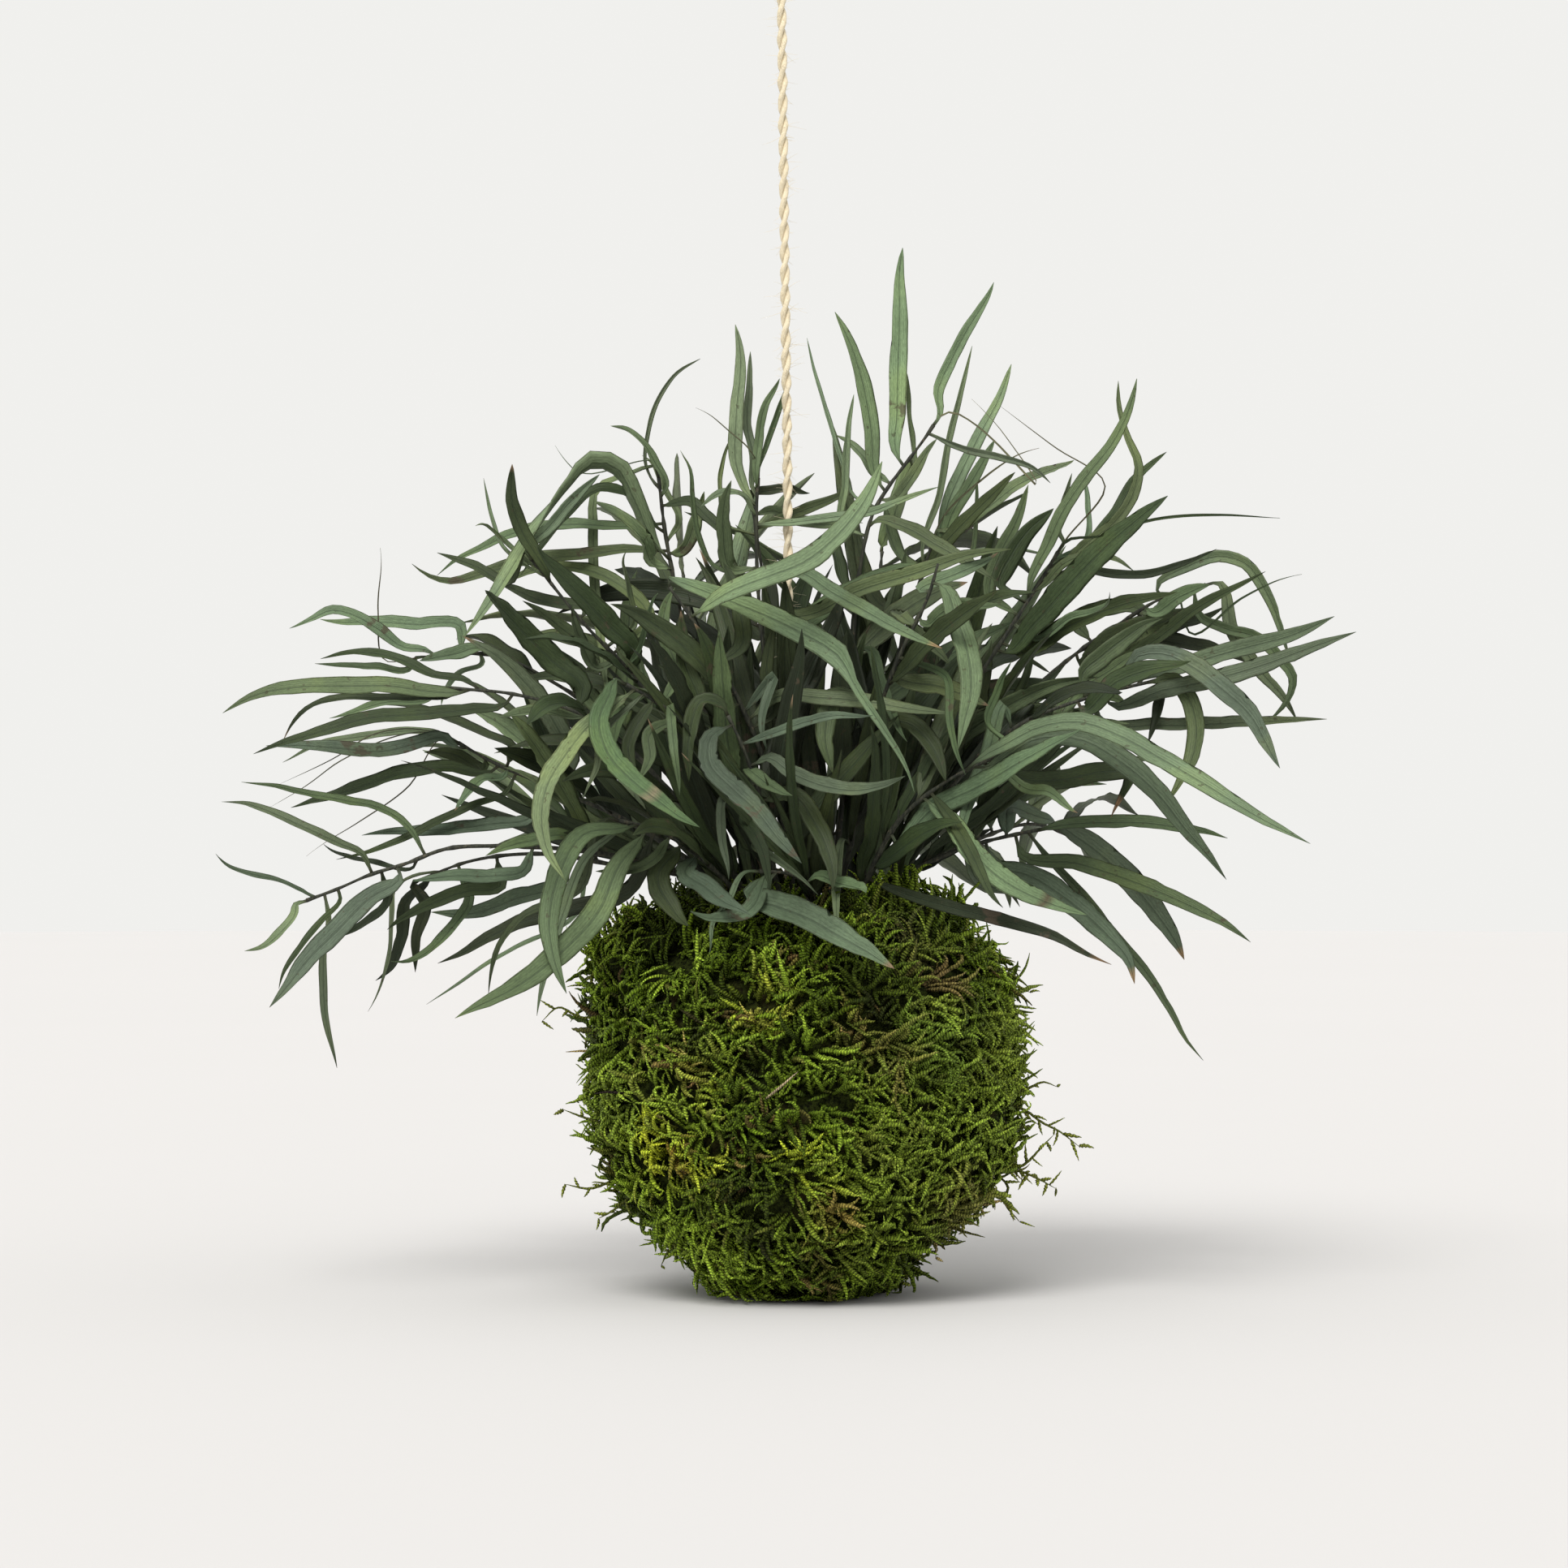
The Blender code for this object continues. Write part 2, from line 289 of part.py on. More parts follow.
     [(-68, 7.0, 0, 0, [(-13.5, 101), (-8, 99), (0, 96), (8, 91.5), (16, 87), (23, 82)]),
      (-58, 4.0, 0, 0, [(-14, 98.5), (-20, 96), (-30, 96.5)]),
      (-60, 3.8, 0, 0, [(2, 106.5), (8, 105), (16.5, 103)]),
      (-56, 1.6, 20, 20, [(-20, 100), (-24, 94), (-24, 87)])]),
    # 20 front, rising to the left
    ([(1, -11), (-3, -14, 112), (-14, -21, 145), (-26, -26, 168), (-35, -28, 181)],
     [(-76, 5.8, 0, 30, [(-29, 181), (-20, 177.5), (-9, 173), (0, 168.5), (8, 163.5), (13, 155),
                              (20, 144.5), (26, 134.5), (29, 127)]),
      (-34, 6.6, 0, 0, [(-20, 179.5), (-10, 183.5), (0, 187.5), (8, 194), (14.5, 202), (20.5, 213)]),
      (-34, 4.2, 0, 0, [(-8, 152.5), (4, 152.5), (16, 151.5), (28, 149.5), (38, 148.5)]),
      (-14, 4.2, 0, 0, [(-17, 165), (-17, 176), (-21, 188)]),
      (-26, 3.4, 0, 0, [(-9, 148), (-10, 160), (-8, 172)]),
      (-36, 2.6, 20, 20, [(-8, 158), (-11, 148), (-11, 139)]),
      (-36, 4.2, 0, 0, [(-20, 150), (-24, 162), (-28, 172)]),
      (-16, 4.8, 0, 10, [(-4, 120), (-4.4, 134), (-4.6, 148), (-5.2, 160), (-6, 171)]),
      (-13, 4.2, 0, 0, [(1.6, 112), (2, 126), (0.6, 140), (-0.4, 154)])]),
    # 21 front right, rising
    ([(8, -8), (11, -12, 112), (16, -19, 140), (24, -26, 163), (32, -29, 180), (34, -30, 187)],
     [(-62, 5.4, 0, 0, [(36, 181), (38.5, 173), (41.5, 164), (42.3, 154), (40.5, 146), (39, 140)]),
      (-16, 3.6, 0, 0, [(30, 180), (38, 184), (49, 188.5)]),
      (-54, 2.0, 20, 20, [(36, 158), (37, 147), (38.5, 139), (40.5, 132.5)]),
      (-62, 2.2, 10, 10, [(10.5, 116), (8, 104), (8, 92)]),
      (-36, 5.2, 0, 0, [(24, 157.5), (34, 155.5), (47, 150.5)]),
      (-40, 3.8, 0, 0, [(30, 172), (36, 175), (50, 176)]),
      (-38, 4.6, 0, 0, [(26, 146), (33, 139), (36, 131)]),
      (-6, 4.4, 0, 0, [(24, 174), (30, 168), (38, 161)]),
      (-34, 5.0, 0, 0, [(8, 153), (5, 143), (7, 133)]),
      (-15, 5.2, 0, 0, [(11.5, 129), (9.6, 142), (9, 156), (10, 170)])]),
    # 22 upright in the middle, behind the twine
    ([(-4, 11), (-5.5, 10, 130), (-8.5, 8, 165), (-12, 7, 192), (-13.5, 6.5, 202)],
     [(-4, 2.6, 10, 20, [(-9, 205.6), (-4, 206.2), (1, 204.2)]),
      (9, 3.2, 0, 10, [(-9, 197), (-2, 200), (6, 203), (12, 206)]),
      (-3, 3.4, 0, 0, [(-8, 200.5), (-3, 198), (5, 197), (14, 198.3)]),
      (12, 5.2, 0, 0, [(-7, 158), (-3.5, 170), (1, 184), (3, 190)]),
      (16, 5.0, 0, 0, [(-12, 168), (-17, 180), (-21, 193)]),
      (24, 4.6, 0, 0, [(-3, 148), (3, 161), (8, 177)]),
      (20, 5.2, 0, 0, [(-9, 142), (-13, 155), (-15, 170)])]),
]
# Sprigs at the back: twig points, number of leaves.
BACK_SPRIGS = [
    ([(11, 17), (15, 24, 108), (27, 40, 130), (38, 56, 146), (45, 70, 150)], 10),
    ([(2, 19.5), (5, 28, 107), (9, 46, 118), (13, 64, 122), (16, 80, 118)], 10),
    ([(-9, 17.5), (-14, 26, 110), (-22, 38, 140), (-28, 50, 166), (-31, 60, 184)], 11),
    ([(3, 13.5), (8, 20, 115), (14, 32, 145), (18, 43, 170), (20, 52, 190)], 11),
    ([(-16, 14), (-23, 22, 106), (-40, 37, 116), (-56, 52, 120), (-68, 64, 116)], 10),
    ([(17, 14), (25, 23, 106), (44, 38, 116), (60, 52, 120), (72, 62, 115)], 10),
]


def placed(x, y, z):
    """A point of the bush, drawn in or let out by its depth."""
    k = 1.0 + y / TAPER
    return Vector((x * k, y, MIDDLE.z + (z - MIDDLE.z) * k))


def smooth(points):
    """A dense polyline on a smooth curve through the points, and the length run at each of its points."""
    gaps = [max((b - a).length, 1e-6) for a, b in zip(points, points[1:])]
    slopes = [(b - a) / g for a, b, g in zip(points, points[1:], gaps)]
    tangents = [slopes[0]]
    for i in range(1, len(slopes)):
        share = gaps[i - 1] / (gaps[i - 1] + gaps[i])
        tangents.append(slopes[i - 1].lerp(slopes[i], share))
    tangents.append(slopes[-1])
    line = []
    for i, gap in enumerate(gaps):
        for j in range(10):
            u = j / 10
            line.append(points[i] * (2 * u**3 - 3 * u**2 + 1) + tangents[i] * (gap * (u**3 - 2 * u**2 + u))
                        + points[i + 1] * (3 * u**2 - 2 * u**3) + tangents[i + 1] * (gap * (u**3 - u**2)))
    line.append(points[-1])
    run = [0.0]
    for a, b in zip(line, line[1:]):
        run.append(run[-1] + (b - a).length)
    return line, run


def at(curve, distance):
    """The point and direction at a distance along a curve."""
    line, run = curve
    i = 0
    while i < len(line) - 2 and run[i + 1] < distance:
        i += 1
    span = max(run[i + 1] - run[i], 1e-9)
    u = min(max((distance - run[i]) / span, 0.0), 1.0)
    before = line[max(i - 1, 0)]
    after = line[min(i + 2, len(line) - 1)]
    return line[i].lerp(line[i + 1], u), (after - before).normalized()


def across(vector, direction):
    """The part of a vector that is square to a direction, as a unit vector."""
    rest = vector - direction * vector.dot(direction)
    if rest.length < 1e-4:
        rest = direction.orthogonal()
    return rest.normalized()


def stem_curve(points):
    """A twig's curve: straight up through the soil, then out through the bush."""
    x, y = points[0]
    line = [Vector((x, y, SOCKET_FLOOR)), Vector((x, y, CROWN - 5)), Vector((x, y, CROWN))]
    line += [placed(*p) for p in points[1:]]
    return smooth(line)


def nearest(curve, x, z):
    """The distance along a twig at which it passes closest to (x, z) as seen from the front."""
    line, run = curve
    best = (1e9, 0.0)
    for point, distance in zip(line, run):
        k = 1.0 + point.y / TAPER
        dx = point.x / k - x
        dz = MIDDLE.z + (point.z - MIDDLE.z) / k - z
        best = min(best, (dx * dx + dz * dz, distance))
    return best[1]


def base_slots(curve, wanted):
    """Distances along the twig for its leaves, spread so that no two share a spot.

    The end takes one leaf at most.
    """
    length = curve[1][-1]
    order = sorted(range(len(wanted)), key=lambda i: wanted[i])
    slots = [0.0] * len(wanted)
    limit = length
    for i in reversed(order):
        slots[i] = length if limit == length and wanted[i] > length - 4 else min(wanted[i], limit - 2.4)
        limit = min(slots[i], length - 0.1)
    lowest = CROWN - SOCKET_FLOOR + 3.0
    for i in order:
        slots[i] = max(slots[i], lowest)
        lowest = slots[i] + 2.4
    return slots


def blade_width(share, width):
    """Width of a leaf at a share of its length: a narrow stalk, widest before the middle, a pointed tip."""
    if share <= 0.05:
        return PETIOLE
    u = (share - 0.05) / 0.95
    return max(PETIOLE * (1 - u) ** 2, width * FULLNESS * math.sin(math.pi * u ** 0.72) ** 0.65)


class Leaf:
    """A leaf's middle line, width and the way that its blade faces."""

    def __init__(self, stem, slot, points, width, turns, facing):
        self.base, along = at(stem, slot)
        first = points[0] - self.base
        angle = min(max(first.angle(along, 0.8), 0.7), 2.4)
        self.terminal = slot > stem[1][-1] - 0.01
        out = along if self.terminal else across(first, along) * math.sin(angle) + along * math.cos(angle)
        stalk = self.base + out * 2.6
        rest = [p for p in points if (p - self.base).length > 4.5]
        self.curve = smooth([self.base, stalk] + rest)
        self.length = self.curve[1][-1]
        self.width = width
        self.turns = turns
        self.facing = facing

    def frame(self, share):
        """Middle point, side direction and blade normal at a share of the length."""
        point, along = at(self.curve, share * self.length)
        ease = share * share * (3 - 2 * share)
        turn = math.radians(self.turns[0] + (self.turns[1] - self.turns[0]) * ease)
        level = across(self.facing, along)
        side = along.cross(level)
        normal = level * math.cos(turn) + side * math.sin(turn)
        return point, along.cross(normal), normal

    def rings(self):
        """Three-cornered rings from the stalk out, then the tip."""
        rings = []
        for share in self.shares():
            point, side, normal = self.frame(share)
            half = blade_width(share, self.width) / 2
            top = normal * (LEAF_THICKNESS * 0.3)
            rings.append([point + side * half + top, point - normal * (LEAF_THICKNESS * 0.7),
                          point - side * half + top])
        return rings, self.curve[0][-1]

    def shares(self):
        """Where the rings stand: closer together on a leaf that bends or twists much."""
        line = self.curve[0][::5] + [self.curve[0][-1]]
        ways = [b - a for a, b in zip(line, line[1:]) if (b - a).length > 1e-3]
        bend = sum(a.angle(b, 0.0) for a, b in zip(ways, ways[1:]))
        for spread in RING_SPREADS[bend > 1.1:]:
            shares = [2.4 / self.length] + spread
            if self.twist(shares) < RING_TWIST:
                break
        return shares

    def twist(self, shares):
        """The most that the blade turns about its own line between neighbouring shares, in radians."""
        spots = []
        for share in shares:
            _point, side, normal = self.frame(share)
            spots.append((normal.cross(side), side))
        return max((a.rotation_difference(b) @ near).angle(far, 0.0)
                   for (a, near), (b, far) in zip(spots, spots[1:]))

    def hull(self, start, extra):
        """Corners and faces of a slightly fattened copy, used to keep leaves clear of each other."""
        verts = []
        faces = []
        count = 14
        for i in range(count):
            share = start + (1.0 - start) * i / (count - 1)
            point, side, normal = self.frame(share)
            half = blade_width(share, self.width) / 2 + extra
            thick = LEAF_THICKNESS / 2 + extra
            verts += [point + side * half, point + normal * thick]
            verts += [point - side * half, point - normal * thick]
        for i in range(count - 1):
            for j in range(4):
                k = (j + 1) % 4
                faces.append((4 * i + j, 4 * i + k, 4 * i + 4 + k, 4 * i + 4 + j))
        rings, tip = self.rings()
        skip = 1 if start > 0 else 0
        offset = len(verts)
        kept = rings[skip:]
        for ring in kept:
            middle = (ring[0] + ring[1] + ring[2]) / 3
            verts += [p + (p - middle).normalized() * 0.2 for p in ring]
        verts.append(tip)
        for i in range(len(kept) - 1):
            for j in range(3):
                k = (j + 1) % 3
                a = offset + 3 * i
                faces.append((a + j, a + k, a + 3 + k, a + 3 + j))
        a = offset + 3 * (len(kept) - 1)
        faces += [(a + j, a + (j + 1) % 3, len(verts) - 1) for j in range(3)]
        return verts, faces


def front_leaf(stem, slot, row, shift, bow):
    """A leaf from a table row, with its depth moved by shift and bowed by bow."""
    depth, width, turn_base, turn_tip, points = row
    base = at(stem, slot)[0]
    k = 1.0 + base.y / TAPER
    flat = [(base.x / k, MIDDLE.z + (base.z - MIDDLE.z) / k)] + list(points)
    run = [0.0]
    for (xa, za), (xb, zb) in zip(flat, flat[1:]):
        run.append(run[-1] + math.hypot(xb - xa, zb - za))
    line = []
    for (x, z), distance in zip(flat[1:], run[1:]):
        share = distance / run[-1]
        y = base.y + (depth + shift - base.y) * share + bow * math.sin(math.pi * share)
        line.append(placed(x, y, z))
    return Leaf(stem, slot, line, width, (turn_base, turn_tip), Vector((0, -0.87, 0.5)))


def rule_leaf(stem, slot, sprig, number, attempt, inner):
    """A leaf by rule, spiralling round the twig and drooping to its tip. An inner one fills the middle."""
    dice = random.Random(sprig * 10007 + number * 101 + attempt)
    base, along = at(stem, slot)
    length = dice.uniform(46, 76) if inner else dice.uniform(58, 88)
    angle = math.radians(dice.uniform(18, 60))
    turn = 2.4 * number + sprig + dice.uniform(-0.9, 0.9) + 0.5 * attempt
    x_axis = across(Vector((0.3, 0.2, 1.0)), along)
    y_axis = along.cross(x_axis)
    if slot > stem[1][-1] - 0.01:
        angle = math.radians(dice.uniform(2, 14))
        length *= 0.6
    ray = along * math.cos(angle) + (x_axis * math.cos(turn) + y_axis * math.sin(turn)) * math.sin(angle)
    droop = length * dice.uniform(0.12, 0.5) * (1.0 - ray.z * ray.z)
    line = []
    for share in (0.3, 0.55, 0.8, 1.0):
        drop = droop * share ** 2.2
        line.append(base + ray * (length * share * (1 - 0.08 * share)) - Vector((0, 0, drop)))
    facing = Vector((0, -0.8, 0.6)) if inner else Vector((base.x * 0.008, base.y * 0.008, 1.0))
    turns = (dice.uniform(-35, 35), dice.uniform(-60, 60))
    return Leaf(stem, slot, line, dice.uniform(4.4, 6.6), turns, facing)


def in_reach(leaf, inner):
    """Whether a leaf placed by rule stays within the outline of the bush, or within its middle."""
    for share in (0.3, 0.6, 0.8, 1.0):
        p = leaf.frame(share)[0]
        k = 1.0 + p.y / TAPER
        x = p.x / k
        z = MIDDLE.z + (p.z - MIDDLE.z) / k
        if inner:
            good = (x / 84) ** 2 + ((z - 147) / 46) ** 2 < 1 and -66 < p.y < 50
        else:
            tall = 72 if z > 150 else 58
            good = (x / 116) ** 2 + ((z - 150) / tall) ** 2 < 1 or (abs(x) < 44 and 14 < z < 120)
        if not good:
            return False
    return True


def tube_hull(curve, first, last, radius, count, sides=6):
    """Corners and faces of a plain tube along a curve."""
    verts = []
    faces = []
    for i in range(count):
        point, along = at(curve, first + (last - first) * i / (count - 1))
        x_axis = across(Vector((0.2, 0.1, 1.0)) if abs(along.z) < 0.9 else Vector((1, 0, 0)), along)
        y_axis = along.cross(x_axis)
        for j in range(sides):
            a = 2 * math.pi * j / sides
            verts.append(point + x_axis * (radius * math.cos(a)) + y_axis * (radius * math.sin(a)))
    for i in range(count - 1):
        for j in range(sides):
            k = (j + 1) % sides
            faces.append((sides * i + j, sides * i + k, sides * i + sides + k, sides * i + sides + j))
    return verts, faces


class Obstacle:
    """A closed shape that leaves keep clear of, with its bounds and the sprig that it belongs to, if any."""

    def __init__(self, verts, faces, owner):
        self.tree = BVHTree.FromPolygons(verts, faces)
        self.low = Vector([min(v[i] for v in verts) for i in range(3)])
        self.high = Vector([max(v[i] for v in verts) for i in range(3)])
        self.owner = owner

    def meets(self, other):
        apart = any(self.high[i] < other.low[i] or other.high[i] < self.low[i] for i in range(3))
        return not apart and bool(self.tree.overlap(other.tree))


def leaf_is_clear(leaf, sprig, obstacles):
    """Whether a leaf keeps off everything placed so far. Near its stalk it may pass its own twig."""
    whole = Obstacle(*leaf.hull(0.08, 0.4), None)
    outer = Obstacle(*leaf.hull(0.16, 0.4), None)
    return not any(o.meets(outer if o.owner == sprig else whole) for o in obstacles)


def moss_shield():
    """The moss surface raised by the height of its tufts."""
    verts = []
    faces = []
    rows = MOSS_OUTER[2:]
    for radius, height in rows:
        for j in range(AROUND):
            a = 2 * math.pi * j / AROUND
            r = radius + (MOSS_CLEARANCE if radius > 26 else 0.0)
            verts.append((r * math.cos(a), r * math.sin(a), height + MOSS_CLEARANCE * (height > 85)))
    for i in range(len(rows) - 1):
        for j in range(AROUND):
            k = (j + 1) % AROUND
            faces.append((AROUND * i + j, AROUND * i + k, AROUND * (i + 1) + k, AROUND * (i + 1) + j))
    return verts, faces


def planted():
    """Every sprig's twig, the spots of its leaves, and its leaves: a table row, or a number for a rule."""
    sprigs = []
    for points, rows in SPRIGS:
        stem = stem_curve(points)
        reach = stem[1][-1]
        wanted = [nearest(stem, *row[4][0]) for row in rows]
        wanted += [reach * (0.42 + 0.42 * i / FILLERS) for i in range(FILLERS)]
        sprigs.append((stem, base_slots(stem, wanted), [*rows, *range(FILLERS)], True))
    for points, count in BACK_SPRIGS:
        stem = stem_curve(points)
        reach = stem[1][-1]
        wanted = [reach * (1 - 0.62 * (i / count) ** 1.15) for i in range(count)]
        sprigs.append((stem, base_slots(stem, wanted), list(range(count)), False))
    return sprigs


def choices(stem, slot, sprig, spec, inner):
    """The ways that a leaf may be placed, best first."""
    if isinstance(spec, int):
        leaves = (rule_leaf(stem, slot, sprig, spec, attempt, inner) for attempt in range(90))
        return (leaf for leaf in leaves if in_reach(leaf, inner))
    moves = [(s, b) for s in range(-42, 43, 3) for b in (0, -8, 8, -16, 16)]
    moves.sort(key=lambda m: (abs(m[0]) + abs(m[1]), m[0], m[1]))
    return (front_leaf(stem, slot, spec, shift, bow) for shift, bow in moves)


def grow():
    """Twigs and leaves of every sprig.

    A leaf that would touch something is placed another way until it is clear, and left out if none is.
    """
    twine = smooth([Vector(p) for p in TWINE_PATH])
    obstacles = [Obstacle(*moss_shield(), None),
                 Obstacle(*tube_hull(twine, 0, twine[1][-1], TWINE / 2 + 0.5, 60), None)]
    sprigs = planted()
    for number, (stem, _slots, _specs, _inner) in enumerate(sprigs):
        start = CROWN - SOCKET_FLOOR
        obstacles.append(Obstacle(*tube_hull(stem, start, stem[1][-1], 1.1, 30), number))
    grown = [(stem, []) for stem, _slots, _specs, _inner in sprigs]
    jobs = [(isinstance(spec, int), number, i) for number, sprig in enumerate(sprigs)
            for i, spec in enumerate(sprig[2])]
    for _late, number, i in sorted(jobs):
        stem, slots, specs, inner = sprigs[number]
        for leaf in choices(stem, slots[i], number, specs[i], inner):
            if leaf.twist(leaf.shares()) < MOST_TWIST and leaf_is_clear(leaf, number, obstacles):
                obstacles.append(Obstacle(*leaf.hull(0.08, 0.1), None))
                grown[number][1].append((slots[i], leaf))
                break
    return grown


def bridge(near, far):
    """Faces between two loops of corner numbers that run the same way round."""
    faces = []
    i = 0
    j = 0
    a, b = len(near), len(far)
    while i < a or j < b:
        if j == b or (i < a and i / a <= j / b):
            faces.append((near[i % a], near[(i + 1) % a], far[j % b]))
            i += 1
        else:
            faces.append((near[i % a], far[(j + 1) % b], far[j % b]))
            j += 1
    return faces


def skin(near, far, verts):
    """Faces between two rings of equal count. Each wall is folded outward, so that thin walls stay apart."""
    faces = []
    for i in range(len(near)):
        k = (i + 1) % len(near)
        a, b, c, d = near[i], near[k], far[k], far[i]
        out = (verts[b] - verts[a]).cross(verts[c] - verts[a])
        if (verts[d] - verts[a]).dot(out) <= 0:
            faces += [(a, b, c), (a, c, d)]
        else:
            faces += [(a, b, d), (b, c, d)]
    return faces


def best_turn(near, far, verts):
    """The far loop turned so that its corners face those of the near loop."""
    def spread(turned):
        count = len(turned)
        return sum((verts[near[i * len(near) // count]] - verts[v]).length for i, v in enumerate(turned))
    return min((far[k:] + far[:k] for k in range(len(far))), key=spread)


def sprig_mesh(stem, leaves):
    """Corners and faces of one grown sprig: a three-sided twig whose walls open into its leaves."""
    reach = stem[1][-1]
    side = [(slot, leaf) for slot, leaf in leaves if not leaf.terminal]
    end = [leaf for _slot, leaf in leaves if leaf.terminal]
    marks = {0.0, CROWN - SOCKET_FLOOR - 1.0, reach}
    for slot, _leaf in side:
        marks |= {slot - 0.7, slot + 0.7}
    marks = sorted(marks)
    filled = [marks[0]]
    for mark in marks[1:]:
        steps = max(1, math.ceil((mark - filled[-1]) / 17.0))
        start = filled[-1]
        filled += [start + (mark - start) * (n + 1) / steps for n in range(steps)]
    verts = []
    faces = []
    rings = []
    frames = []
    x_axis = Vector((1.0, 0.0, 0.0))
    for mark in filled:
        point, along = at(stem, mark)
        x_axis = across(x_axis, along)
        y_axis = along.cross(x_axis)
        radius = STEM_FOOT_RADIUS + (STEM_TIP_RADIUS - STEM_FOOT_RADIUS) * mark / reach
        ring = []
        for j in range(3):
            a = 2 * math.pi * j / 3
            ring.append(len(verts))
            verts.append(point + x_axis * (radius * math.cos(a)) + y_axis * (radius * math.sin(a)))
        rings.append(ring)
        frames.append((x_axis, y_axis))
    opened = {}
    for slot, leaf in side:
        i = min(range(len(filled)), key=lambda n: abs(filled[n] - (slot - 0.7)))
        way = leaf.curve[0][8] - leaf.base
        walls = []
        for j in range(3):
            a = 2 * math.pi * (j + 0.5) / 3
            walls.append((frames[i][0] * math.cos(a) + frames[i][1] * math.sin(a)).dot(way))
        opened[(i, walls.index(max(walls)))] = leaf
    faces.append(tuple(reversed(rings[0])))
    for i in range(len(rings) - 1):
        for j in range(3):
            k = (j + 1) % 3
            wall = [rings[i][j], rings[i][k], rings[i + 1][k], rings[i + 1][j]]
            if (i, j) in opened:
                add_leaf(opened[(i, j)], wall, verts, faces)
            else:
                faces.append(tuple(wall))
    if end:
        add_leaf(end[0], rings[-1], verts, faces)
    else:
        faces.append(tuple(rings[-1]))
    return verts, faces


def add_leaf(leaf, loop, verts, faces):
    """Grow a leaf out of an open loop of the twig's corners."""
    rings, tip = leaf.rings()
    for i, ring in enumerate(rings):
        first = len(verts)
        verts.extend(ring)
        numbers = [first, first + 1, first + 2]
        if i == 0:
            numbers = best_turn(loop, numbers, verts)
            faces.extend(bridge(loop, numbers))
            loop = sorted(numbers)
        else:
            faces.extend(skin(loop, numbers, verts))
            loop = numbers
    verts.append(tip)
    for i in range(3):
        faces.append((loop[i], loop[(i + 1) % 3], len(verts) - 1))


def material(name, colour, roughness):
    made = bpy.data.materials.new(name)
    made.use_nodes = True
    shader = made.node_tree.nodes["Principled BSDF"]
    shader.inputs["Base Color"].default_value = (*colour, 1.0)
    shader.inputs["Roughness"].default_value = roughness
    shader.inputs["Metallic"].default_value = 0.0
    return made


def add_object(name, verts, faces, look, collection):
    """A named object from corners in millimetres, with its faces turned outward."""
    mesh = bpy.data.meshes.new(name)
    mesh.from_pydata([Vector(v) * MM for v in verts], [], faces)
    work = bmesh.new()
    work.from_mesh(mesh)
    bmesh.ops.recalc_face_normals(work, faces=work.faces)
    work.to_mesh(mesh)
    work.free()
    thing = bpy.data.objects.new(name, mesh)
    if look:
        mesh.materials.append(look)
    collection.objects.link(thing)
    return thing


def loft(rings, closed=False):
    """Corners and faces of a body through rings of equal count, capped at both ends or closed on itself."""
    count = len(rings[0])
    verts = [p for ring in rings for p in ring]
    faces = []
    for i in range(len(rings) if closed else len(rings) - 1):
        n = (i + 1) % len(rings)
        for j in range(count):
            k = (j + 1) % count
            faces.append((count * i + j, count * i + k, count * n + k, count * n + j))
    if not closed:
        faces.append(tuple(range(count - 1, -1, -1)))
        faces.append(tuple(range(count * (len(rings) - 1), count * len(rings))))
    return verts, faces


def ring_at(radius, height, count, x=0.0, y=0.0, bump=None):
    ring = []
    for j in range(count):
        a = 2 * math.pi * j / count
        r = radius + (bump(a, height) if bump else 0.0)
        ring.append((x + r * math.cos(a), y + r * math.sin(a), height))
    return ring


def moss_bump(a, height):
    """Lumps of the moss surface, fading out at the flat spot and the crown."""
    fade = min(height / 12, 1.0) * min((99 - height) / 8, 1.0)
    lumps = math.sin(3 * a + height * 0.05) + 0.7 * math.sin(5 * a - height * 0.11 + 1.3)
    return fade * (0.8 * lumps + 0.5 * math.sin(9 * a + height * 0.23))


def build_soil(collection, look, feet):
    """Soil ball with a socket for each twig's foot and a channel and pocket for the twine."""
    soil = add_object("soil_ball", *loft([ring_at(r, z, AROUND) for r, z in SOIL]), look, collection)
    cutters = bpy.data.collections.new("cutters")
    bpy.context.scene.collection.children.link(cutters)
    verts = []
    faces = []

    def add_cutter(rings):
        more, walls = loft(rings)
        faces.extend(tuple(n + len(verts) for n in wall) for wall in walls)
        verts.extend(more)

    for x, y in feet:
        add_cutter([ring_at(SOCKET_RADIUS, z, 6, x, y) for z in (SOCKET_FLOOR - GAP, CROWN + 2)])
    x, y, z = KNOT
    pocket = KNOT_RADIUS + 0.6
    neck = TWINE / 2 + 0.5
    levels = ((pocket, z - KNOT_RADIUS - GAP), (pocket, z + 3.4), (neck, z + 5.2), (neck, CROWN + 2))
    add_cutter([ring_at(radius, height, 10, x, y) for radius, height in levels])
    cutter = add_object("sockets", verts, faces, None, cutters)
    cutter.hide_render = True
    cutter.display_type = "WIRE"
    cut = soil.modifiers.new("sockets", "BOOLEAN")
    cut.operation = "DIFFERENCE"
    cut.object = cutter
    cut.solver = "EXACT"


def build_moss(collection, look):
    """Moss cover: a lumpy cup round the soil, flat underneath and open at the crown."""
    outside = [ring_at(r, z, AROUND, bump=moss_bump) for r, z in MOSS_OUTER]
    inside = [ring_at(r + GAP, z - (0.35 if z < 20 else 0.0), AROUND) for r, z in SOIL[:-2]]
    inside.append(ring_at(24.2, 94.6, AROUND))
    add_object("moss_cover", *loft([*outside, *reversed(inside)]), look, collection)


def build_ball_knot(name, centre, radius, look, collection):
    """A tight knot, drawn as a ball with a waist."""
    x, y, z = centre
    rings = []
    for i in range(1, 8):
        a = math.pi * i / 8
        r = radius * math.sin(a) * (1.0 - 0.12 * math.sin(a) ** 6)
        rings.append(ring_at(r, z - radius * math.cos(a), 10, x, y))
    add_object(name, *loft(rings), look, collection)


